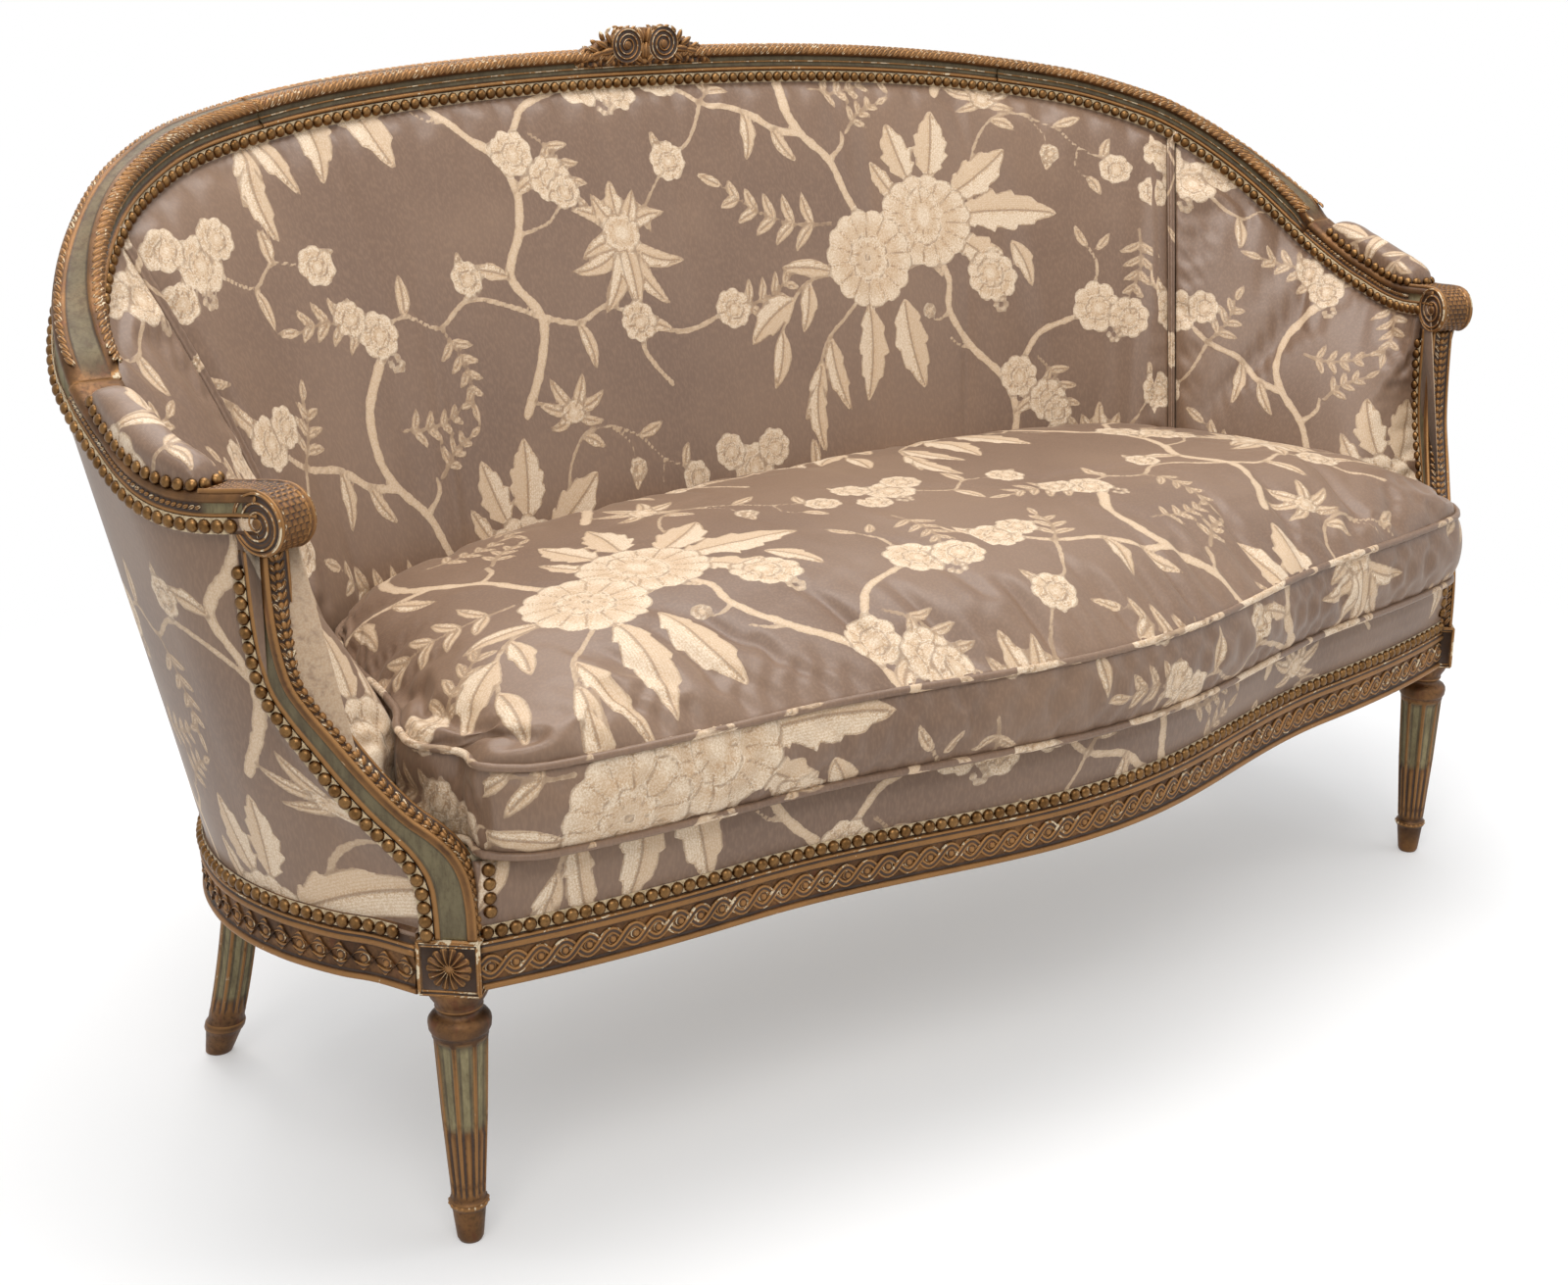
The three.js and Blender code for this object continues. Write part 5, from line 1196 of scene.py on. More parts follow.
def build_legs(finish):
    gilt = finish["gilt"]
    shaft = turned_leg("shaft", lambda z: (LEG_SPREAD, 0), LEG_PROFILE, 8, 44, 200, gilt)
    middle = from_block(0, 0, RAIL_BOTTOM + BLOCK_HEIGHT / 2)
    block = block_piece("block", middle, BLOCK_SIDE, BLOCK_HEIGHT, math.pi / 4, gilt)
    outward = np.array((ROOT, -ROOT, 0))
    flower = rosette("rosette", middle + outward * (BLOCK_SIDE / 2 - 2.2), outward, 19.5, 14, gilt)
    ring = turned_shape("foot_bead", [(1.9, -0.6), (1.9, 0.6), (1.3, 1.5), (0, 1.9)], 8)
    beads = []
    for i in range(18):
        a = 2 * math.pi * i / 18
        out = np.array((math.cos(a), math.sin(a), 0))
        beads.append((np.array((LEG_SPREAD, 0, 38)) + out * 16.2, out, UP))
    beads = set_out("foot_beads", beads, ring, gilt)
    leg = joined_as("front_leg_carved", [shaft, block, flower, beads])
    pair(leg, "front_leg_carved", "frame", "gilded_wood", "front_leg")
    head = spot_on(BASE, REAR)
    top = head.point + head.inward * 20
    foot = np.array((LEG_SPREAD + 29, 445, 0))
    bend = np.array((mix(top[0], foot[0], 0.35), mix(top[1], foot[1], 0.3), 0.45 * RAIL_BOTTOM))

    def centre_at(z):
        s = (z / RAIL_BOTTOM)
        for _ in range(6):
            height = 2 * (1 - s) * s * bend[2] + s * s * RAIL_BOTTOM
            s += (z - height) / max(2 * (1 - s) * bend[2] + 2 * s * (RAIL_BOTTOM - bend[2]), 1)
        return (1 - s) ** 2 * foot + 2 * (1 - s) * s * bend + s * s * top

    profile = [(0, 11.8), (1, 13.2), (7, 14.3), (18, 16), (28, 17.7), (30.4, 19.2), (32.5, 19.9), (37.5, 19.9),
               (39.6, 19.2), (41.5, 18.1), (45, 17.6), (60, 18), (130, 18.4), (196, 19), (206, 19.4), (212, 20.6),
               (226, 20.8), (232, 19.6), (236, 19), (245, 19)]
    rear = turned_leg("rear_shank", centre_at, profile, 8, 52, 204, gilt, 2.4, 0.1)
    core = block_piece("rear_block", head.point + head.inward * 21 + UP * (RAIL_BOTTOM - RAIL_TOP + 28), 31, 60, math.atan2(head.inward[1], head.inward[0]), gilt)
    rear = joined_as("rear_leg_carved", [rear, core])
    pair(rear, "rear_leg_carved", "frame", "gilded_wood")


def post_rings(ks):
    """Rings of the right post with its sunk painted sides and moulded front."""
    rings, paint = [], []
    for k in ks:
        front, seat, _, width, level = post_edge(k)
        d = np.linalg.norm(seat - front)
        outline = [(3.0, 14, 0), (1.0, 13.6, 0), (0, 12.4, 0), (0, 10.6, 0), (1.2, 10.0, 0), (2.0, 9.2, 0), (2.2, 0, 0)]
        outline = outline[::-1] + []
        side = [(5.4, 14.3, 0), (7.2, 14, 0), (8, 13.2, 0.2), (8.4, 12.4, 0.9), (10, 12.2, 1), (d - 7, 12.2, 1),
                (d - 5.4, 12.4, 0.9), (d - 5, 13.2, 0.2), (d - 4.2, 14, 0), (d - 1.4, 14, 0), (d - 0.4, 13.4, 0),
                (d, 12.2, 0), (d + REBATE_WIDTH, 12, 0)]
        half = outline + side
        whole = half + [(e, -w, p) for e, w, p in half[::-1]][:-1]
        ring = []
        for e, w, _ in whole:
            base = mix(front, seat, e / d) if e <= d else seat + level * (e - d)
            ring.append(base + width * w)
        rings.append(ring)
        paint.append([p for _, _, p in whole])
    return np.array(rings), np.array(paint)


def build_posts(finish):
    gilt = finish["gilt"]
    rings, paint = post_rings(np.linspace(0, 13, 100))
    post = lofted("post_body", rings, gilt, paint=paint)
    ks = np.linspace(0.15, 13, 400)
    fronts = np.array([post_edge(k)[0] for k in ks])
    run = run_of(fronts)
    count = 46
    rows, leaves = [], []
    for i in range(count):
        k = float(np.interp((i + 0.5) / count * run[-1], run, ks))
        front, seat, _, width, _ = post_edge(k)
        along = unit(post_edge(min(k + 0.1, 13))[0] - post_edge(max(k - 0.1, 0))[0])
        facing = np.cross(width, along)
        facing = facing if facing @ (front - seat) > 0 else -facing
        grown = mix(1.25, 0.95, float(smooth(k, 0, 6)))
        rows.append((front - facing * 2.4, facing, along, grown))
        for way in (-1, 1):
            leaves.append((front + width * way * 5.6 * grown - facing * 2.2, facing, along + width * way * 0.75, grown))
    bead = turned_shape("husk", [(3.6, -0.8), (3.7, 0.9), (3.0, 2.2), (1.8, 2.9), (0, 3.2)], 8, 0.8)
    husks = set_out("post_husks", rows, bead, gilt)
    lobes = set_out("post_lobes", leaves, lobe_shape("post_lobe", 9.5, 4.2, 2.6), gilt)
    front = joined_as("post_carving", [husks, lobes])
    put(front, "paint", np.zeros(len(front.data.vertices)))
    pair(post, "arm_post_carved", "frame", "gilded_wood", "arm_post")
    pair(front, "post_husks", "frame", "gilded_wood")


TOP_PROFILE = [
    (-8, 0, 0), (6, 0, 0), (6.3, 1.4, 0), (7, 3, 0), (8.4, 4, 0), (9.8, 3.6, 0), (10.8, 2.2, 0), (11.3, 0.5, 0.1),
    (12.2, -0.2, 1), (14.4, -0.6, 1), (15.6, -0.3, 0.9), (16.1, 0.9, 0), (17.2, 1.0, 0), (17.7, -0.2, 0.8),
    (18.6, -0.8, 1), (21.2, -0.5, 1), (22.5, 0.4, 0.4), (23, 2, 0), (24.2, 4.2, 0), (26.2, 5.6, 0), (28.6, 6.2, 0),
    (31, 5.4, 0), (33.4, 3.2, 0), (34.8, 0, 0), (35, -5, 0),
]


def top_ring(u):
    f = rail_spot(u)
    fade = 1 - float(smooth(abs(u), ARM - 0.8, ARM))
    head = mix(ARM_HEIGHT - TUCK, 35, fade)
    ring, paint = [], []
    for a, n, p in TOP_PROFILE:
        up = a if a <= 6 else mix(6, head, (a - 6) / 29)
        ring.append(f.place(up, n * (fade if a > 6 else 1)))
        paint.append(p * fade)
    for up, n, p in ((-0.4, -7, 0), (-1.4, -8, 0.2), (-1.8, -10, 0.55), (-1.8, 14 - f.depth, 0.55), (-1.4, 12.4 - f.depth, 0.2), (-0.4, 11.4 - f.depth, 0)):
        ring.append(f.place(head + up * fade, n))
        paint.append(p * fade)
    for up, n, p in ((head, 9 - f.depth, 0), (head - 1.4, 3 - f.depth, 0), (head - 4, 0.8 - f.depth, 0), (head - 7, -f.depth, 0.2),
                     (head - 9, 0.8 - f.depth, 1), (8, 0.8 - f.depth, 1), (6.4, -f.depth, 0.2), (-8, -f.depth, 0)):
        ring.append(f.place(up, n))
        paint.append(p)
    return ring, paint


def rope_rows(start, end, pitch):
    """Places along the top rail's outer roll."""
    spots, _ = spots_between(rail_spot, start, end, pitch)
    rows = []
    for s in spots:
        rows.append((s.place(29.3, 4.4), unit(s.inward + s.upright * 0.35), unit(s.tangent + s.upright * 0.85)))
        rows.append((s.place(33.6, 0.4), unit(s.inward * 0.5 + s.upright), unit(s.tangent - s.inward * 0.7)))
        rows.append((s.place(33.6, 5.4 - s.depth), unit(s.upright - s.inward * 0.35), unit(s.tangent + s.inward * 0.6)))
    return rows


def build_top_rail(finish):
    gilt = finish["gilt"]
    lobe = lobe_shape("ribbon_twist", 12.5, 5.4, 2.5, 0.25)
    for name, start, end in (("top_rail_centre", -4.53, 4.53), ("right_top_rail", 4.55, ARM - 0.01)):
        marks = np.linspace(start, end, int(abs(end - start) * 17))
        rings, paint = zip(*(top_ring(u) for u in marks))
        rail = lofted(name + "_moulding", rings, gilt, paint=np.array(paint))
        rope = set_out(name + "_ribbon", rope_rows(start, min(end, ARM - 0.45), 8.2), lobe, gilt)
        if name.startswith("right"):
            pair(rail, "top_rail_moulding", "frame", "gilded_wood", "top_rail")
            pair(rope, "top_rail_ribbon", "frame", "gilded_wood")
        else:
            finished(rail, "frame", "gilded_wood", name)
            finished(rope, "frame", "gilded_wood")


def arm_ring(u):
    """Right arm: nailed foot, carved band, soft top; painted sunk sides on the handle."""
    f = rail_spot(u)
    grip = float(smooth(u, PAD_END + 0.1, PAD_END + 0.45))
    half = [(-8, 0, 0), (5.6, 0, 0), (6.2, 1.0, 0), (7.4, 1.4, 0), (8.6, 0.8, 0), (9.4, -0.2 - 1.2 * grip, grip),
            (16.6, -0.2 - 1.2 * grip, grip), (17.6, 0.9, 0), (19.4, 1.6, 0), (21.4, 1.3, 0), (23.4, 0, 0),
            (25, -2.4, 0), (26, -6, 0)]
    whole = half + [(a, -f.depth - n, p) for a, n, p in half[::-1]]
    return [f.place(a, n) for a, n, _ in whole], [p for _, _, p in whole]


def band_path():
    """The handle's crown line, over the scroll and round under it: points, facings and widths."""
    rows = []
    for u in np.linspace(PAD_END + 0.12, LAST, 40):
        f = rail_spot(u)
        rows.append((f.place(ARM_HEIGHT - TUCK, -f.depth / 2), f.upright, unit(np.cross(f.upright, f.tangent)), f.depth / 2 - 1))
    c, ahead = scroll_centre(), handle_forward()
    for a in np.linspace(math.pi / 2, -math.pi * 0.8, 60)[1:]:
        out = ahead * math.cos(a) + UP * math.sin(a)
        rows.append((c + out * (SCROLL_RADIUS - 0.4), out, handle_outward(), SCROLL_WIDTH / 2))
    return rows


def build_arms(finish):
    gilt = finish["gilt"]
    rings, paint = zip(*(arm_ring(u) for u in np.linspace(ARM, LAST, 130)))
    arm = lofted("arm_body", rings, gilt, paint=np.array(paint))
    rows = band_path()
    run = run_of(np.array([r[0] for r in rows]))
    side_way = rows[-1][2]
    fine, dense = [], []
    shares = np.linspace(-1, 1, 37)
    for mark in np.arange(0, run[-1], 0.9):
        k = float(np.interp(mark, run, np.arange(len(rows))))
        i = min(int(k), len(rows) - 2)
        p, facing, side, half = (mix(rows[i][j], rows[i + 1][j], k - i) for j in range(4))
        side = unit(side if side @ side_way > 0 else -side)
        w = shares * half
        row = np.floor(mark / 5.2)
        cross = (w / 6.4 + 0.5 * (row % 2)) % 1 - 0.5
        step = (mark / 5.2) % 1
        scale = np.sqrt(np.clip(1 - (2 * cross) ** 2, 0, 1)) * (0.35 + 0.65 * step)
        rim = smooth(np.abs(shares), 0.74, 0.8)
        rise = mix(scale * 1.9, 1.6 + 1.0 * np.cos(np.clip((np.abs(shares) - 0.9) / 0.1, -1, 1) * math.pi / 2), rim)
        rise = rise - 2.4 * smooth(np.abs(shares), 0.985, 1.0)
        top = p + side * w[:, None] + facing * (rise - 0.4)[:, None]
        low = p + side * (shares[::-6] * half * 0.9)[:, None] - facing * 3.0
        fine.append(np.vstack([top, low]))
    band = lofted("handle_band", fine, gilt, paint=0)
    volutes = []
    for way in (-1, 1):
        facing = handle_outward() * way
        ahead = handle_forward()
        centre = scroll_centre() + facing * (SCROLL_WIDTH / 2 - 0.5)
        disc = []
        angles = np.arange(72) * 2 * math.pi / 72
        for r in np.concatenate([[25.3, 25.3], np.linspace(24.9, 0.6, 56)]):
            turns = (r / 7.6 + angles / (2 * math.pi)) % 1
            ridge = np.exp(-((turns - 0.5) / 0.16) ** 2) * 2.2 - 0.4 * np.exp(-((turns - 0.5) / 0.05) ** 2)
            rise = np.where(r > 23.6, 1.8, ridge) if r > 5 else np.full(72, 2.6 * math.sqrt(max(1 - (r / 5.2) ** 2, 0)))
            if not disc:
                rise = np.full(72, -6.0)
            disc.append(centre + ahead * (r * np.cos(angles))[:, None] + UP * (r * np.sin(angles))[:, None] + facing * rise[:, None])
        volutes.append(lofted(f"volute_{way}", disc, gilt, paint=0))
    dense = joined_as("arm_carved", [arm, band, *volutes])
    pair(dense, "arm_carved", "frame", "gilded_wood", "arm")
    leaf = lobe_shape("arm_leaf", 6.4, 3.6, 1.7)
    rows = []
    for inward in (True, False):
        spots, _ = spots_between(rail_spot, ARM + 0.1, PAD_END + 0.1, 5.6)
        for s in spots:
            facing = s.inward if inward else -s.inward
            rows.append((s.place(13, 0 if inward else -s.depth), facing, unit(s.tangent + s.upright * 0.5)))
    pair(set_out("arm_leaves", rows, leaf, gilt), "arm_leaves", "frame", "gilded_wood")


# Padding and cloth

SEAM_WIDTH, SEAM_PROUD = 14, 4
SEAM_HALF = (SEAM_WIDTH / 2 + FIT) / np.linalg.norm(NAIL_LINE.at(WELTED + 0.5) - NAIL_LINE.at(WELTED - 0.5))
CUSHION_SHARES = np.array([
    (1, 1), (0.985, 1.25), (0.94, 1.6), (0.85, 1.95), (0.7, 2.2), (0.48, 2.36), (0.24, 2.41), (0, 2.42),
])[::-1]


def end_shift(ruled, offset, shares):
    """How far the wall's last column moves to meet the arm post, at each share of its height."""
    last = np.array([ruled(LAST, s) for s in shares])
    return np.array([wall_end(p[2], offset) for p in last]) - last


def columns_of(ruled, offset, marks, shares):
    """The wall's points, station by station; only its upright part follows the post."""
    shift = end_shift(ruled, offset, shares) * (1, 1, 0)
    found = []
    for u in marks:
        column = np.array([ruled(u, s) for s in shares])
        ease = max(abs(u) - HANDLE, 0) / (LAST - HANDLE)
        found.append(column + shift * ((1 if u > 0 else -1, 1, 1)) * ease**2)
    return np.array(found)


def marks_between(ruled, start, end, level, step):
    """Stations spaced evenly along the wall at one level."""
    fine = np.linspace(start, end, 160)
    run = run_of(np.array([ruled(u, level) for u in fine]))
    count = max(int(round(run[-1] / step)), 2)
    return np.interp(np.linspace(0, run[-1], count + 1), run, fine)


def with_cloth_places(grid, across, up):
    """The grid with its places on the flat cloth, measured from its middle column and its foot."""
    width = run_of(grid[:, grid.shape[1] // 2])
    height = np.array([run_of(column) for column in grid])
    flat = np.stack([np.broadcast_to(width[:, None], height.shape) + across, height + up], -1)
    return np.concatenate([grid, flat], -1)


def refined(grid, times):
    """The grid with smooth rows and columns set between its own."""
    for axis in (0, 1):
        g = np.moveaxis(grid, axis, 0)
        n = len(g)
        wide = np.concatenate([2 * g[:1] - g[1:2], g, 2 * g[-1:] - g[-2:-1]])
        p0, p1, p2, p3 = wide[:n - 1], wide[1:n], wide[2:n + 1], wide[3:n + 2]
        steps = []
        for i in range(times):
            t = i / times
            steps.append(p1 + 0.5 * t * ((p2 - p0) + t * ((2 * p0 - 5 * p1 + 4 * p2 - p3) + t * (3 * (p1 - p2) + p3 - p0))))
        g = np.stack(steps, 1).reshape((-1,) + g.shape[1:])
        grid = np.moveaxis(np.concatenate([g, wide[n:n + 1]]), 0, axis)
    return grid


def puffed(grid, outward, cap, loose, frames=18):
    """Cloth blown out between its held edges; loose is how much larger it is cut than its place."""
    rows, columns = grid.shape[:2]
    faces = quads(rows, columns, wrap_columns=False)
    points = grid[..., :3].reshape(-1, 3) * MM
    middle = faces[len(faces) // 2 + columns // 2]
    a, b, c = points[middle[:3]]
    if np.cross(b - a, c - a) @ np.asarray(outward) < 0:
        faces = faces[:, ::-1]
    mesh = bpy.data.meshes.new("blown")
    mesh.from_pydata(points.tolist(), [], faces.tolist())
    piece = bpy.data.objects.new("blown", mesh)
    scene = bpy.context.scene
    scene.collection.objects.link(piece)
    held = piece.vertex_groups.new(name="held")
    index = np.arange(rows * columns).reshape(rows, columns)
    edge = np.unique(np.concatenate([index[0], index[-1], index[:, 0], index[:, -1]]))
    held.add(edge.tolist(), 1.0, "REPLACE")
    blow = piece.modifiers.new("blow", "CLOTH")
    rules = blow.settings
    rules.quality, rules.mass = 6, 0.25
    rules.tension_stiffness, rules.compression_stiffness, rules.shear_stiffness = 18, 12, 6
    rules.bending_stiffness = 0.35
    rules.vertex_group_mass = "held"
    rules.shrink_min = -loose
    rules.use_pressure, rules.uniform_pressure_force = True, 4.0
    rules.effector_weights.gravity = 0
    blow.point_cache.frame_start, blow.point_cache.frame_end = 1, frames
    for step in range(1, frames + 1):
        scene.frame_set(step)
    after = piece.evaluated_get(bpy.context.evaluated_depsgraph_get()).to_mesh()
    ended = np.zeros(len(points) * 3)
    after.vertices.foreach_get("co", ended)
    scene.frame_set(1)
    bpy.data.objects.remove(piece)
    move = (ended.reshape(-1, 3) - points) / MM
    move = np.nan_to_num(move)
    length = np.linalg.norm(move, axis=1, keepdims=True)
    move *= cap * np.tanh(length / cap) / np.maximum(length, 1e-6)
    result = grid.copy()
    result[..., :3] += move.reshape(rows, columns, 3)
    return result


def creased(grid, outward, size, seed):
    """Soft upright folds and small puckers at the nailed edge, as the stuffing settles."""
    chance = np.random.default_rng(seed)
    across, up = grid[..., 3], grid[..., 4]
    height = (up - up.min()) / (up.max() - up.min())
    rise = np.zeros(across.shape)
    for _ in range(16):
        middle, lean, width = chance.uniform(across.min(), across.max()), chance.uniform(-0.22, 0.22), chance.uniform(8, 28)
        level, reach = chance.uniform(0.1, 0.95), chance.uniform(0.16, 0.55)
        ridge = np.exp(-(((across - middle - lean * (up - up.mean())) / width) ** 2))
        rise += chance.uniform(-1, 1) * ridge * np.exp(-(((height - level) / reach) ** 2))
    gap = up.max(1, keepdims=True) - up
    rise = size * rise + 0.8 * np.exp(-gap / 12) * np.cos(2 * math.pi * across / 12.4) * (gap > 1)
    ends = np.minimum(across - across.min(), across.max() - across)
    pad = 6.0 * (1 - np.exp(-gap / 9)) * np.exp(-gap / 90) * (1 - np.exp(-ends / 10))
    rise = rise * (1 - np.exp(-ends / 14)) + 2.5 * (1 - np.exp(-ends / 8)) - 1.0
    result = grid.copy()
    result[..., :3] += (rise + pad)[..., None] * outward
    return result


def shell(name, front, backs, cloth, flaps=None):
    """A closed pad: its fine front, a flap under the nails, and a coarse back, column by column."""
    rings, flat = [], []
    for i, column in enumerate(front):
        parts = [column[:, :3]]
        places = [column[:, 3:]]
        if flaps is not None:
            parts.append(flaps[i])
            rise = np.linalg.norm(flaps[i] - column[-1, :3], axis=1)
            places.append(np.stack([np.full(len(rise), column[-1, 3]), column[-1, 4] + rise], 1))
        parts.append(backs[i])
        places.append(np.broadcast_to(places[-1][-1], (len(backs[i]), 2)))
        rings.append(np.vstack(parts))
        flat.append(np.vstack(places))
    piece = lofted(name, rings, cloth, fanned=False)
    flat = np.array(flat).reshape(-1, 2)
    drawing().on(piece, flat[:, 0], flat[:, 1])
    return piece


DRAWINGS = []


def drawing():
    """The brocade, drawn once."""
    if not DRAWINGS:
        DRAWINGS.append(Brocade().drawn())
    return DRAWINGS[0]


def padded_wall(name, start, end, across, seed, folds, cloth):
    """The padded inside of the wall between two stations."""
    offset = POST_REBATE - POST_THICK / 2
    marks = marks_between(inner_ruled, start, end, 0.55, 15)
    shares = np.linspace(0, 1, 40)
    grid = columns_of(inner_ruled, offset, marks, shares)
    for _ in range(2):
        grid[:, 1:-1] = (grid[:, :-2] + 2 * grid[:, 1:-1] + grid[:, 2:]) / 4
    inward = np.array([spot_on(INSIDE, u).inward for u in marks])
    grid = with_cloth_places(grid, across, 0)
    middle = inward[len(inward) // 2]
    grid = puffed(grid, middle, 9, 0.025)
    marks = refined(np.repeat(marks[:, None, None], 2, 1), 4)[:, 0, 0]
    inward = np.array([spot_on(INSIDE, u).inward for u in marks])
    front = creased(refined(grid, 4), inward[:, None, :], folds, seed)
    flaps, backs = [], []
    levels = np.array((1, 0.85, 0.55, 0.25, 0))
    skin = columns_of(outer_ruled, POST_THICK / 2 - POST_REBATE, marks, levels)
    for u, column in zip(marks, skin):
        t = rail_spot(u)
        flaps.append(np.array([t.place(a, n) for a, n in ((-7, 0.5), (-2, 0.6), (5, 0.6), (5, 0.1), (-9.5, -1))]))
        ease = float(smooth(abs(u), HANDLE, LAST))
        back = column + spot_on(BASE, u).inward * mix(20, COVER_THICK * 3, ease)
        back[-1, 2] = DECK_BASE
        backs.append(back)
    return shell(name, front, backs, cloth, flaps)


def build_inside_pads(finish):
    cloth = finish["cloth"]
    back = padded_wall("inside_back_padding", SEAM_HALF - WELTED, WELTED - SEAM_HALF, -650, 3, 4.2, cloth)
    finished(back, "frame", "cover_fabric", "inside_back_pad")
    side = padded_wall("inside_padding", WELTED + SEAM_HALF, LAST, 660, 9, 1.2, cloth)
    for pad in (back, *pair(side, "inside_padding", "frame", "cover_fabric", "inside_pad")):
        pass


def build_seam_welts(finish):
    """One covered cord over the seam between the back and the side."""
    shares = np.linspace(0, 1, 150)
    half = SEAM_HALF * (1 - 3 * SOFT_CLEAR / SEAM_WIDTH)
    edges = [np.array([inner_point(WELTED + way * half, s) for s in shares]) for way in (-1, 1)]
    t = rail_spot(WELTED)
    top = [t.place(a, 0.8) for a in (-6, -1, 5)]
    inward, side = t.inward, unit(edges[1][-1] - edges[0][-1])
    width = np.linalg.norm(edges[1] - edges[0], axis=1)
    middle = np.vstack([(edges[0] + edges[1]) / 2, top])
    width = np.append(width, [width[-1]] * 3)
    run = run_of(middle)
    turns = np.linspace(0, 1, 19)
    arch = np.where(np.abs(turns - 0.5) < 0.25, 1.4 + 3.4 * np.sqrt(np.clip(1 - ((turns - 0.5) / 0.25) ** 2, 0, 1)), 1.4 - 6 * np.maximum(np.abs(turns - 0.5) - 0.36, 0))
    rings = []
    for i, p in enumerate(middle):
        pucker = 1 + 0.07 * math.sin(run[i] * 1.1) + 0.05 * math.sin(run[i] * 0.37)
        ahead = unit(edges[1][min(i, 149)] - edges[0][min(i, 149)])
        ahead = unit(ahead + side * 0.2)
        lift = inward * (arch[:, None] * pucker - 0.6)
        front = p + ahead * ((turns - 0.5) * width[i] * 1.2)[:, None] + lift
        back = [p + ahead * w * width[i] - inward * 7 for w in (0.62, -0.62)]
        rings.append(np.vstack([front, back]))
    welt = lofted("seam_piping", rings, finish["cloth"])
    flat = np.array([(j * 1.1 + 40, r + 90) for r in run for j in range(21)])
    flat = np.vstack([flat, flat[:1], flat[-1:]])
    drawing().on(welt, flat[:, 0], flat[:, 1])
    pair(welt, "seam_piping", "frame", "cover_fabric", "seam_welt")


def cover_piece(name, start, end, across, cloth):
    """Cloth stretched over the outer wall, tucked under the braid at its head and its foot."""
    offset = POST_THICK / 2 - POST_REBATE
    marks = marks_between(outer_ruled, start, end, 0.5, 16)
    grid = columns_of(outer_ruled, offset, marks, np.linspace(0, 1, 38))
    grid = refined(with_cloth_places(grid, across, 160), 4)
    marks = refined(np.repeat(marks[:, None, None], 2, 1), 4)[:, 0, 0]
    rings, flat = [], []
    for u, column in zip(marks, grid):
        base, t = spot_on(BASE, u), rail_spot(u)
        skin = column[:, :3] - base.inward * 0.5 * np.sin(math.pi * np.linspace(0, 1, len(column)))[:, None]
        foot = [base.point + base.inward * 3.9 - UP * z for z in (7, 3)]
        head = [t.place(a, -t.depth - 0.5) for a in (-5, 0, 5)]
        outer = np.vstack([foot, skin, head])
        inner = np.vstack([foot, skin[[0, -1]], head])[::-1] + base.inward * COVER_THICK
        inner[:3] = [t.place(a, -t.depth - 0.1) for a in (5, 0, -5)]
        lining = np.vstack([skin[::-12], skin[:1]]) + base.inward * COVER_THICK
        inner = np.vstack([inner[:3], lining, inner[-2:] - base.inward * (COVER_THICK - 0.5)])
        rings.append(np.vstack([outer, inner]))
        places = np.vstack([[(column[0, 3], column[0, 4] - 8 + 4 * i) for i in range(2)], column[:, 3:],
                            [(column[-1, 3], column[-1, 4] + 5 * i + 4) for i in range(3)]])
        flat.append(np.vstack([places, np.broadcast_to(places[-1], (len(inner), 2))]))
    piece = lofted(name, rings, cloth, fanned=False)
    flat = np.array(flat).reshape(-1, 2)
    drawing().on(piece, flat[:, 0], flat[:, 1])
    width = (grid[-1, 0, 3] - grid[0, 0, 3]) * MM
    tall = float(np.mean([c[-1, 4] - c[0, 4] for c in grid])) * MM + 0.02
    return piece, (round(width, 3), round(tall, 3))


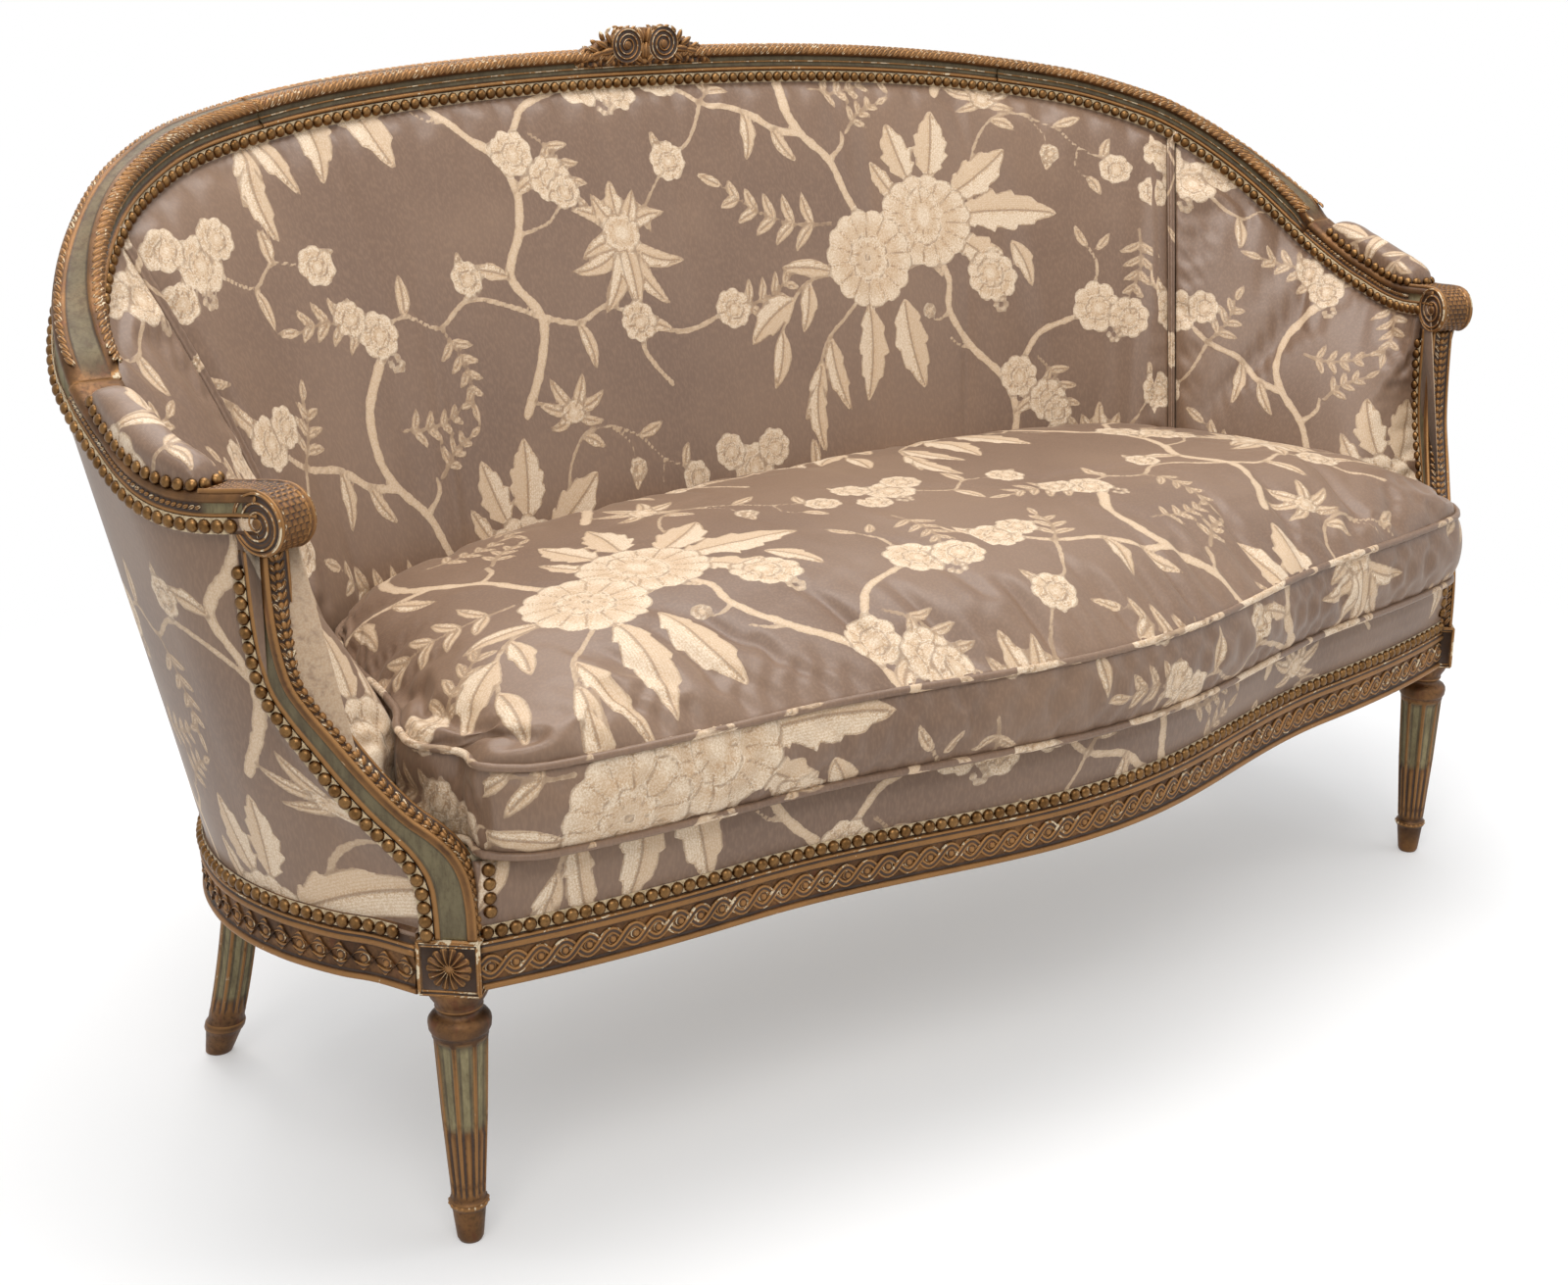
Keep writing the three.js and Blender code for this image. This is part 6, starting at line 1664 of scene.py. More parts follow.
def build_outside_covers(finish):
    joint = FIT / RAIL_THICK
    back, flat = cover_piece("outside_back_cloth", joint - REAR, REAR - joint, -640, finish["cloth"])
    finished(back, "frame", "cover_fabric", "outside_back_cover")
    side, flat = cover_piece("outside_cloth", REAR + joint, LAST, 660, finish["cloth"])
    for way, one in zip(("right", "left"), pair(side, "outside_cloth", "frame", "cover_fabric", "outside_cover")):
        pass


def build_armrest_pads(finish):
    """A crowned roll on each arm, drawn in by the nails along its foot."""
    marks = marks_between(lambda u, _: rail_spot(u).point, PAD_START, PAD_END, 0, 3.6)
    run = run_of(np.array([rail_spot(u).point for u in marks]))
    chance = np.random.default_rng(5)
    folds = [(chance.uniform(0, run[-1]), chance.uniform(4, 9), chance.uniform(-0.9, 0.9)) for _ in range(14)]
    rings, flat = [], []
    angles = np.linspace(0, math.pi, 33)
    for u, r in zip(marks, run):
        f = rail_spot(u)
        s = (u - PAD_START) / (PAD_END - PAD_START)
        ends = math.sqrt(max(1 - (2 * s - 1) ** 4, 0))
        half, tall = 19 * mix(0.6, 1, ends), 29 * mix(0.22, 1, ends)
        wave = sum(h * math.exp(-((r - m) / w) ** 2) for m, w, h in folds)
        pucker = 0.7 * math.cos(2 * math.pi * r / 12.4)
        low = np.exp(-np.sin(angles) / 0.25)
        swell = 1 + (0.04 * wave * np.sin(angles)) + pucker * low / 19
        across = half * np.cos(angles) * swell * (1 + 0.16 * np.sin(angles * 2) ** 2)
        rise = tall * np.sin(angles) ** 0.62 * (1 + 0.02 * wave)
        ring = [f.place(ARM_HEIGHT - TUCK - 0.2 + h, a - f.depth / 2) for a, h in zip(across, rise)]
        rings.append(np.array(ring))
        arc = run_of(rings[-1])
        flat.append(np.stack([np.full(33, r + 320), arc + 130], 1))
    pad = lofted("armrest_padding", rings, finish["cloth"])
    flat = np.vstack([np.array(flat).reshape(-1, 2), flat[0][:1], flat[-1][-1:]])
    drawing().on(pad, flat[:, 1], flat[:, 0])
    for one in pair(pad, "armrest_padding", "frame", "cover_fabric", "armrest_pad"):
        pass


def seat_outline(height, inset, out):
    """The seat's closed outline at one height, as the deck fills it."""
    corner = LEG_SPREAD - POST_THICK
    xs = np.linspace(-corner, corner, 90)
    front = np.stack([xs, front_y(xs) + REBATE_SINK - out, np.full(90, height)], 1)
    side = np.array([from_block(POST_DEPTH / 3, 0, height)])
    rounds = np.array([inner_at(u, height, inset) for u in np.linspace(LAST - 1, 1 - LAST, 120)])
    return np.vstack([front, side, rounds, side * (-1, 1, 1)])


def build_deck(finish):
    """The stuffed seat under the cushion: ticking over its top, brocade over its front edge."""
    inset = SEAM_PROUD + 2 + 1.5
    layers = [(0, 0), (0.15, 0.4), (0.3, 0.75), (0.62, 1), (0.85, 0.55), (0.95, 0.1), (1, -0.4)]
    rings = [seat_outline(DECK_BASE + h * DECK_HEIGHT, inset, swell * 5 - 1.4) for h, swell in layers]
    rings.append(np.vstack([r * (0.97, 0.97, 1) + (0, 8, 0) for r in [rings[-1]]]))
    deck = lofted("seat_deck_padding", [r[::1] for r in rings], finish["ticking"])
    swell = np.array(layers)
    heights = np.linspace(0, 0.97, 17)
    rise = np.interp(heights, swell[:, 0], swell[:, 1]) * 5
    xs = np.linspace(-653, 653, 375)
    band = []
    for x in xs:
        f = front_spot(x)
        wave = 0.5 * math.sin(x * 0.05) * math.sin(x * 0.021)
        face = [f.point + UP * z + f.inward * 3.8 for z in (-7, -3)]
        face += [f.point + UP * (DECK_BASE - RAIL_TOP + h * DECK_HEIGHT) + f.inward * (4 - r - wave * math.sin(math.pi * h)) for h, r in zip(heights, rise)]
        back = [face[-1] + f.inward * 8 - UP * 1, face[5] + f.inward * 4, face[1] + f.inward * 0.6, face[0] + f.inward * 0.6]
        band.append(np.array(face + back))
    border = lofted("deck_border", band, finish["cloth"])
    run = run_of(np.array([front_spot(x).point for x in xs]))
    high = np.append(np.concatenate([[-8, -4], heights * DECK_HEIGHT]), (60, 60, 60, 60))
    flat = np.array([(r + 90, h + 250) for r in run for h in high])
    flat = np.vstack([flat, flat[:1], flat[-1:]])
    drawing().on(border, flat[:, 0], flat[:, 1])
    deck = joined_as("seat_deck_padding", [deck, border])
    finished(deck, "frame", "cover_fabric", "seat_deck")


def build_webbing(finish):
    """Jute straps woven over and under each other across the seat rails."""
    edge = seat_outline(RAIL_TOP, FIT, -RAIL_THICK / 2)[:, :2]
    pitch, half, middle = 140, 25, (RAIL_BACK - FRONT_END) / 2
    straps = []

    def reach(axis, at):
        a, b = edge, np.roll(edge, -1, 0)
        crossing = (a[:, axis] - at) * (b[:, axis] - at) < 0
        t = (at - a[crossing, axis]) / (b[crossing, axis] - a[crossing, axis])
        found = mix(a[crossing, 1 - axis], b[crossing, 1 - axis], t)
        return found.min(), found.max()

    def strap(axis, index, at):
        spans = [reach(axis, at + w) for w in (-half, half)]
        low, high = max(s[0] for s in spans), min(s[1] for s in spans)
        start = (middle if axis == 0 else 0) + pitch / 2 * (0 if axis == 0 else 1)
        rings = []
        for along in np.linspace(low, high, int((high - low) / 9)):
            turn = math.cos(math.pi * (along - start) / pitch + math.pi * index)
            z = RAIL_TOP + FIT + 0.75 + 0.45 * turn * (1 if axis == 0 else -1)
            ring = []
            for w, r in ((-25, 0), (-24.6, 0.28), (-12, 0.3), (0, 0.3), (12, 0.3), (24.6, 0.28), (25, 0), (24.6, -0.28), (0, -0.3), (-24.6, -0.28)):
                ring.append((at + w, along, z + r) if axis == 0 else (along, at + w, z + r))
            rings.append(ring)
        straps.append(lofted(f"strap_{axis}_{index}", rings, finish["jute"]))

    for i in range(-4, 4):
        strap(0, i, (i + 0.5) * pitch)
    for j in range(-2, 3):
        if edge[:, 1].min() + half < middle + j * pitch < edge[:, 1].max() - half:
            strap(1, j, middle + j * pitch)
    finished(joined_as("webbing_straps", straps), "frame", "webbing", "seat_webbing")


# Cushion

CUSHION_OVERHANG, CUSHION_FULL = 20, 26
SEAM_LEVEL = CUSHION_SIDE + CUSHION_FULL


def cushion_path():
    """The cushion's outline at its seams: front, right, back and left sides."""
    corner = LEG_SPREAD - 12
    xs = np.linspace(-corner, corner, 220)
    ease = 1 - smooth(np.abs(xs), corner * 0.94, corner)
    front = np.stack([xs, front_y(xs) - CUSHION_OVERHANG * ease], 1)
    turn = np.array([from_block(12, -22.4, 0)[:2], from_block(-36, -30.8, 0)[:2]])
    rounds = np.array([inner_at(u, INNER_LEVEL, 12)[:2] for u in np.linspace(17.6, -17.6, 170)])
    path = np.vstack([front, turn, rounds, (turn * (-1, 1))[::-1]])
    path = even(path, step=4, closed=True)
    for _ in range(10):
        path = (np.roll(path, 1, 0) + 2 * path + np.roll(path, -1, 0)) / 4
    marks = [front[0], front[-1], inner_at(9, INNER_LEVEL, 12)[:2], inner_at(-9, INNER_LEVEL, 12)[:2]]
    spots = [int(np.argmin(np.linalg.norm(path - m, axis=1))) for m in marks]
    path = np.roll(path, -spots[0], 0)
    spots = [(s - spots[0]) % len(path) for s in spots] + [len(path)]
    path = np.vstack([path, path[:1]])
    return [path[a:b + 1] for a, b in zip(spots[:-1], spots[1:])]


def patch(front, right, back, left):
    """Points filling four sides, each running the way the grid does."""
    s = np.linspace(0, 1, len(front))[:, None, None]
    t = np.linspace(0, 1, len(left))[None, :, None]
    flat = mix(front[:, None], back[:, None], t) + mix(left[None], right[None], s)
    corners = mix(mix(front[0], front[-1], s), mix(back[0], back[-1], s), t)
    return flat - corners


def crown_height(points, outline):
    """The cushion's crown above its base, by how near a place is to the outline."""
    middle = np.array((0, (float(front_y(0)) + INNER_BACK) / 2))
    around = outline - middle
    angle = np.arctan2(around[:, 1], around[:, 0])
    order = np.argsort(angle)
    away = points - middle
    reach = np.interp(np.arctan2(away[..., 1], away[..., 0]), angle[order], np.linalg.norm(around, axis=1)[order], period=2 * math.pi)
    share = np.clip(np.linalg.norm(away, axis=-1) / reach, 0, 1)
    return CUSHION_SIDE * np.interp(share, CUSHION_SHARES[::1, 0], CUSHION_SHARES[::1, 1])


def build_cushion(finish):
    """The loose cushion: crowned top and boxed side blown out between its seams, ticking under it."""
    sides = cushion_path()
    front, right, back, left = (even(s, count=c) for s, c in zip(sides, (97, 45, 97, 45)))
    outline = np.vstack([front[:-1], right[:-1], back[:-1], left[:-1]])
    top = patch(front, right, back[::-1], left[::-1])
    crown = crown_height(top, outline)
    share = 0.86
    crown = SEAM_LEVEL + (crown - CUSHION_SIDE) * share
    top = np.concatenate([top, CUSHION_BASE + crown[..., None], top + (700, 300)], -1)
    top[0, :, 2] = top[-1, :, 2] = top[:, 0, 2] = top[:, -1, 2] = CUSHION_BASE + SEAM_LEVEL
    top = puffed(top, (0, 0, 1), 26, 0.05, 20)
    rise = CUSHION_SIDE * 1.46 + 6
    over = top[..., 2] - CUSHION_BASE - SEAM_LEVEL
    top[..., 2] = CUSHION_BASE + SEAM_LEVEL + over * rise / over.max()
    pieces = [grid_piece("cushion_crown", dimpled(refined(top, 4)), finish["cloth"])]
    run, rows = 0, np.linspace(0, 1, 6)
    for i, side in enumerate((front, right, back, left)):
        away = run_of(side)
        swell = np.array((0, 0.6, 0.95, 0.95, 0.6, 0)) * (8 if i == 0 else 2.5)
        ahead = unit(np.gradient(side, axis=0))
        out = np.stack([ahead[:, 1], -ahead[:, 0]], 1)
        out[0] = out[-1] = 0
        strip = np.array([[(*(p + o * w), CUSHION_BASE + h * SEAM_LEVEL, run + a + 130, h * SEAM_LEVEL + 380) for h, w in zip(rows, swell)]
                          for p, o, a in zip(side, out, away)])
        middle = out[len(out) // 2]
        strip = puffed(strip, (*middle, 0), 6 if i == 0 else 4, 0.04, 14)
        pieces.append(grid_piece(f"cushion_side_{i}", refined(strip, 4), finish["cloth"]))
        run += away[-1]
    loop = np.vstack([refined(np.repeat(s[:, None], 2, 1), 4)[:-1, 0] for s in (front, right, back, left)])
    middle = loop.mean(0)
    rings = [np.column_stack([mix(middle, loop, size), np.full(len(loop), CUSHION_BASE + z)]) for size, z in ((1, 0), (0.985, -3.4), (0.96, -5), (0.5, -5), (0.02, -5))]
    under = np.vstack(rings)
    faces = quads(len(rings), len(loop)).tolist()
    faces.append(tuple(range(4 * len(loop), 5 * len(loop))))
    base = made("cushion_under", under, faces, finish["ticking"])
    put(base, "motif", np.full(len(base.data.vertices), FAR))
    cushion = weld(joined_as("cushion_padding", [pieces[0], *pieces[1:], base]), 0.0004)
    turn_out(cushion)
    finished(cushion, "cushion", "cover_fabric", "seat_cushion")
    for level, name in ((1, "top"), (0, "bottom")):
        welt = piping(f"cushion_{name}_piping", loop[::2], CUSHION_BASE + level * SEAM_LEVEL, finish["cloth"])
        finished(welt, "cushion", "cover_fabric", f"cushion_{name}_welt")


def dimpled(grid):
    """The filled crown with soft furrows and with puckers running in from its seam."""
    chance = np.random.default_rng(21)
    x, y = grid[..., 0], grid[..., 1]
    rows, columns = x.shape
    across, along = np.linspace(0, 1, rows)[:, None], np.linspace(0, 1, columns)[None, :]
    edge = np.minimum(np.minimum(across, 1 - across) * np.ptp(x), np.minimum(along, 1 - along) * np.ptp(y))
    rise = np.zeros(x.shape)
    for _ in range(46):
        turn, width, reach = chance.uniform(0, math.pi), chance.uniform(7, 20), chance.uniform(40, 150)
        dx, dy = x - chance.uniform(x.min(), x.max()), y - chance.uniform(y.min(), y.max())
        u, v = dx * math.cos(turn) + dy * math.sin(turn), dy * math.cos(turn) - dx * math.sin(turn)
        rise += chance.uniform(-1, 0.6) * np.exp(-(u / reach) ** 2 - (v / width) ** 2)
    run = x + 0.6 * y
    corner = np.hypot(np.minimum(across, 1 - across) * np.ptp(x), np.minimum(along, 1 - along) * np.ptp(y))
    pucker = np.sin(run / 9 + 2 * np.sin(run / 41)) * np.sin(run / 67) * np.exp(-edge / 34) * smooth(corner, 60, 160)
    result = grid.copy()
    result[..., 2] += (2.6 * rise + 1.5 * pucker) * (1 - np.exp(-edge / 16))
    return result


def turn_out(piece):
    """Faces of a closed piece turned outwards together."""
    work = bmesh.new()
    work.from_mesh(piece.data)
    bmesh.ops.recalc_face_normals(work, faces=work.faces)
    work.to_mesh(piece.data)
    work.free()


def grid_piece(name, grid, cloth):
    rows, columns = grid.shape[:2]
    piece = made(name, grid[..., :3].reshape(-1, 3), quads(rows, columns, wrap_columns=False).tolist(), cloth)
    drawing().on(piece, grid[..., 3].ravel(), grid[..., 4].ravel())
    return piece


def piping(name, loop, level, cloth):
    """A covered cord round the cushion at one seam."""
    radius = bpy.context.scene.settee_size.piping / MM / 2
    ahead = unit(np.roll(loop, -1, 0) - np.roll(loop, 1, 0))
    out = np.stack([ahead[:, 1], -ahead[:, 0]], 1)
    run = run_of(loop)
    angles = np.arange(12) * 2 * math.pi / 12
    rings = []
    for p, o, r in zip(loop, out, run):
        grown = radius * (1 + 0.05 * math.sin(r * 0.9) + 0.04 * math.sin(r * 0.31))
        middle = p + o * 2.8
        flat = middle + o * (grown * np.cos(angles))[:, None]
        rings.append(np.column_stack([flat, level + grown * np.sin(angles)]))
    cord = lofted(name, rings, cloth, joined=True)
    flat = np.array([(r + 20, j * 1.8 + 40) for r in run for j in range(12)])
    drawing().on(cord, flat[:, 0], flat[:, 1])
    return cord


# Braid and nails


def ribbon(name, rows, finish):
    """Braid along rows of its four corners, with rounded selvedges."""
    rings = []
    for low, high, lift in rows:
        ring = [mix(low, high, w) + lift * r for w, r in ((0, 0.1), (0.03, 0.75), (0.1, 1), (0.5, 0.92), (0.9, 1), (0.97, 0.75), (1, 0.1), (0.5, 0))]
        rings.append(ring)
    return lofted(name, rings, finish["braid"])


def seat_braid_rows(spots):
    return [(s.point - UP * 12.1 + s.inward * 3.7, s.point + s.inward * 3.7, -s.inward * GIMP_THICK) for s in spots]


def top_braid_rows(spots, outside):
    rows = []
    for s in spots:
        near = -s.depth - BRAID_CLEAR if outside else BRAID_CLEAR
        lift = s.inward * (-GIMP_THICK if outside else GIMP_THICK)
        rows.append((s.place(FIT - TUCK, near), s.place(NAIL_BAND - FIT, near), lift))
    return rows


def post_places(way):
    """Braid corners and nail places up the right post's rebate, outside or inside."""
    near = way * (POST_THICK / 2 - POST_REBATE + BRAID_CLEAR)
    rows, nails = [], []
    for k in np.linspace(0, 12.55, 60):
        _, seat, back, width, level = post_edge(k)
        start = mix(seat, back, 2 * FIT / REBATE_WIDTH)
        rows.append((start + width * near, back + width * near, width * way * GIMP_THICK))
        nails.append((mix(seat, back, 0.5) + width * (near + way * 1.1), width * way, level))
    return rows, nails


def nail_line(places, pitch=12.4, margin=4.0):
    """Nails spaced evenly along places of (point, facing, heading)."""
    points = np.array([p[0] for p in places])
    run = run_of(points)
    count = max(int(round((run[-1] - 2 * margin) / pitch)), 1)
    marks = np.linspace(margin, run[-1] - margin, count + 1)
    ks = np.interp(marks, run, np.arange(len(places)))
    rows = []
    for k in ks:
        i = min(int(k), len(places) - 2)
        rows.append(tuple(mix(np.asarray(a, float), np.asarray(b, float), k - i) for a, b in zip(places[i], places[i + 1])))
    return rows


def clear_of_scroll(point, reach):
    """Whether a place is outside the round of either arm's scroll."""
    centre = scroll_centre()
    return math.hypot(abs(point[0]) - centre[0], point[1] - centre[1], point[2] - centre[2]) > reach


def build_braid(finish):
    ends = LAST - 0.5
    spots, _ = spots_between(front_spot, -652, 652, 7)
    finished(ribbon("front_braid", seat_braid_rows(spots), finish), "frame", "nail_braid", "front_gimp")
    spots, _ = spots_between(lambda u: spot_on(BASE, u), -20.6, 20.6, 7)
    finished(ribbon("lower_braid", seat_braid_rows(spots), finish), "frame", "nail_braid", "lower_gimp")
    for name, outside in (("inside", False), ("outside", True)):
        spots, _ = spots_between(rail_spot, -ends, ends, 7)
        spots = [s for s in spots if clear_of_scroll(s.place(0, -s.depth / 2), 27)]
        finished(ribbon(f"{name}_braid", top_braid_rows(spots, outside), finish), "frame", "nail_braid", f"{name}_gimp")
    for name, way in (("outer", 1), ("inner", -1)):
        rows, _ = post_places(way)
        pair(ribbon(f"post_{name}_braid", rows, finish), f"post_{name}_braid", "frame", "nail_braid", f"post_{name}_gimp")


def build_nails(finish):
    nail, brass = nail_shape(), finish["brass"]

    def rail_row(path, start, end):
        spots, _ = spots_between(path, start, end, 6)
        return nail_line([(s.point - UP * 6.1 + s.inward * 2.4, -s.inward, s.tangent) for s in spots])

    seat = rail_row(front_spot, -650, 650) + rail_row(lambda u: spot_on(BASE, u), -20.6, 20.6)
    finished(set_out("seat_nails", seat, nail, brass, 1, 0.03), "frame", "nail_braid")
    for name, outside in (("inside", False), ("outside", True)):
        spots, _ = spots_between(rail_spot, 0.5 - LAST, LAST - 0.5, 6)
        depth = (lambda s: -s.depth - 2.0) if outside else (lambda s: 2.0)
        facing = (lambda s: -s.inward) if outside else (lambda s: s.inward)
        rows = nail_line([(s.place(-1, depth(s)), facing(s), s.tangent) for s in spots])
        rows = [r for r in rows if clear_of_scroll(r[0], 31)]
        finished(set_out(f"{name}_nails", rows, nail, brass, 1, 0.03), "frame", "nail_braid")
    rows = nail_line(post_places(1)[1]) + nail_line(post_places(-1)[1])
    edge = front_spot(643)
    rows += [(edge.point + UP * z + edge.inward * 0.4, -edge.inward, UP) for z in (13, 25.4, 37.8, 50)]
    pair(set_out("post_nails", rows, nail, brass, 1, 0.03), "post_nails", "frame", "nail_braid")
    ring = []
    for way in (1, -1):
        line = []
        for u in np.linspace(PAD_START + 0.08, PAD_END - 0.05, 50):
            f = rail_spot(u)
            s = (u - PAD_START) / (PAD_END - PAD_START)
            half = 19 * mix(0.6, 1, math.sqrt(max(1 - (2 * s - 1) ** 4, 0)))
            line.append((f.place(ARM_HEIGHT - TUCK + 3.4, way * (half + 0.2) - f.depth / 2), f.inward * way + f.upright * 0.35, f.tangent))
        ring.append(line)
    f = rail_spot(PAD_END)
    ahead = f.tangent if f.tangent @ (scroll_centre() - f.point) > 0 else -f.tangent
    end = [(f.place(ARM_HEIGHT - TUCK + 3.2, a - f.depth / 2) + ahead * 0.6, ahead + f.upright * 0.3, f.inward) for a in (-7, 7)]
    rows = nail_line(ring[0]) + nail_line(ring[1]) + end
    pair(set_out("armrest_nails", rows, nail, brass, 0.92, 0.03), "armrest_nails", "frame", "nail_braid")


def build_crest(finish):
    """Two ringed rosettes between curling leaves, on the middle of the top rail."""
    gilt, f = finish["gilt"], rail_spot(0)
    right = f.tangent if f.tangent[0] > 0 else -f.tangent

    def at(x, y, n):
        return f.place(y, n) + right * x

    shares = [(-1, 0.02), (-0.8, 0.2), (-0.62, 0.42), (-0.44, 0.55), (-0.33, 0.86), (-0.14, 0.98), (0, 0.92), (0.14, 0.98),
              (0.33, 0.86), (0.44, 0.55), (0.62, 0.42), (0.8, 0.2), (1, 0.02)]
    xs = np.linspace(-92, 92, 140)
    tops = np.interp(xs / 92, [s[0] for s in shares], [s[1] for s in shares]) * 26 + 35
    for _ in range(3):
        tops[1:-1] = (tops[:-2] + 2 * tops[1:-1] + tops[2:]) / 4
    rings = []
    for x, top in zip(xs, tops):
        scallop = 1.6 * abs(math.sin(x / 6.2))
        high = top - scallop
        ys = np.linspace(18, high, 16)
        vein = 1.5 * np.sin((ys - 18) * 0.42 + abs(x) * 0.30) + 1.1 * np.sin(abs(x) * 0.75 - ys * 0.25)
        dome = np.sqrt(np.clip(1 - ((ys - 18) / max(high - 18, 1)) ** 4, 0, 1))
        front = [at(x, y, (4.5 + v) * d + 1) for y, v, d in zip(ys, vein, dome)]
        back = [at(x, y, -3.5 - (3.5 + 0.6 * v) * d) for y, v, d in zip(ys, vein, dome)][::-3]
        rings.append(front + back)
    plate = lofted("crest_plate", rings, gilt, paint=0)
    parts = [plate]
    angles = np.arange(72) * 2 * math.pi / 72
    for side in (-1, 1):
        for way, proud, reach in ((1, 11.5, 19.5), (-1, 8.2, 17)):
            rings = []
            for r in np.concatenate([[reach, reach], np.linspace(reach - 0.5, 0.4, 48)]):
                turns = (r / 5.4 - side * way * angles / (2 * math.pi)) % 1
                rise = np.exp(-((turns - 0.5) / 0.2) ** 2) * 2.0 if r > 5 else np.full(72, 3.4 * math.sqrt(max(1 - (r / 5.2) ** 2, 0)))
                depth = -1.0 if not rings else 0.0
                n = way * (proud - 3.0 + rise) if rings else np.full(72, way * 2.0)
                rings.append(np.array([at(side * 25 + r * math.cos(a), 40.2 + r * math.sin(a), k) for a, k in zip(angles, n)]))
            parts.append(lofted(f"crest_rosette_{side}_{way}", rings, gilt, paint=0))
    leaf = lobe_shape("crest_leaf", 17, 7.5, 4.2, 0.25)
    rows = []
    for side in (-1, 1):
        for x, y, lean, size in ((51, 34, -8, 1.2), (58, 42, 30, 0.95), (49, 49, 62, 0.85), (66, 31, -14, 1.05), (70, 37, 26, 0.75), (79, 27, -18, 0.9),
                                 (47, 25, -40, 0.9), (5.5, 50, 72, 1.05), (2.5, 34, 86, 1.1), (8, 25, 40, 0.8), (30, 59, 12, 0.6), (16, 58, 150, 0.6), (41, 56, 130, 0.55)):
            heading = right * side * math.cos(math.radians(lean)) + f.upright * math.sin(math.radians(lean))
            for way, n in ((1, 6.2), (-1, -6.0)):
                rows.append((at(side * x, y, n), f.inward * way, heading, size))
    parts.append(set_out("crest_leaves", rows, leaf, gilt))
    for side in (-1, 1):
        parts.append(rosette(f"crest_flower_{side}", at(side * 87, 24, 5.5), f.inward, 7.5, 6, gilt, 2.2))
    crest = joined_as("crest_carved", parts)
    put(crest, "paint", np.zeros(len(crest.data.vertices)))
    finished(crest, "frame", "gilded_wood", "crest_ornament")


def build_hidden_wood(finish):
    """Beech on the solids that carry the seat and the padding; their shapes stay as packed."""
    for name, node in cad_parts.items():
        if any(part in name for part in ("cross_rail", "brace", "tack_rail")):
            node.data.materials.clear()
            node.data.materials.append(finish["beech"])


# Stage


def lamp(name, place, aim, width, tall, power, colour):
    light = bpy.data.lights.new(name, "AREA")
    light.shape, light.size, light.size_y = "RECTANGLE", width, tall
    light.energy, light.color = power, colour
    thing = bpy.data.objects.new(name, light)
    thing.location = place
    thing.rotation_euler = (Vector(aim) - Vector(place)).to_track_quat("-Z", "Y").to_euler()
    bpy.context.scene.collection.objects.link(thing)


def seen_white(tree, shade, strength=1.0):
    """Mixes a shader with plain white where the camera, a mirror or glass sees it."""
    path, white = tree.nodes.new("ShaderNodeLightPath"), tree.nodes.new("ShaderNodeBackground")
    white.inputs["Color"].default_value = (1, 1, 1, 1)
    white.inputs["Strength"].default_value = strength
    seen = path.outputs["Is Camera Ray"]
    for key in ("Is Glossy Ray", "Is Transmission Ray"):
        most = tree.nodes.new("ShaderNodeMath")
        most.operation = "MAXIMUM"
        tree.links.new(seen, most.inputs[0])
        tree.links.new(path.outputs[key], most.inputs[1])
        seen = most.outputs[0]
    both = tree.nodes.new("ShaderNodeMixShader")
    tree.links.new(seen, both.inputs[0])
    tree.links.new(shade, both.inputs[1])
    tree.links.new(white.outputs[0], both.inputs[2])
    return both.outputs[0]


def floor_finish():
    """Pale paper that keeps the settee's shadow near it, lightened by a painted share of plain white, and is plain
    white further off.
    """
    pale = bpy.data.materials.new("pale_floor")
    pale.use_nodes = True
    tree = Tree(pale.node_tree)
    shader = pale.node_tree.nodes["Principled BSDF"]
    shader.inputs["Base Color"].default_value = (0.9, 0.9, 0.9, 1)
    shader.inputs["Roughness"].default_value = 0.85
    shader.inputs["Specular IOR Level"].default_value = 0.1
    away = tree.node("VectorMath", operation="LENGTH", inputs={0: tree.place()}).outputs["Value"]
    path = tree.node("LightPath")
    seen = tree.math("MAXIMUM", path.outputs["Is Camera Ray"], path.outputs["Is Glossy Ray"])
    seen = tree.math("MAXIMUM", seen, path.outputs["Is Transmission Ray"])
    # Painted light: at least a 0.3 share of plain white where seen, which lifts the settee's shadow on the floor.
    share = tree.math("MULTIPLY", tree.math("MAXIMUM", tree.ramp(away, 0.9, 1.7), 0.3), seen)
    white = tree.node("Emission", inputs={"Color": (1, 1, 1, 1), "Strength": 1.0}).outputs[0]
    both = tree.node("MixShader", inputs={0: share, 1: shader.outputs[0], 2: white})
    tree.feed(pale.node_tree.nodes["Material Output"].inputs["Surface"], both.outputs[0])
    return pale


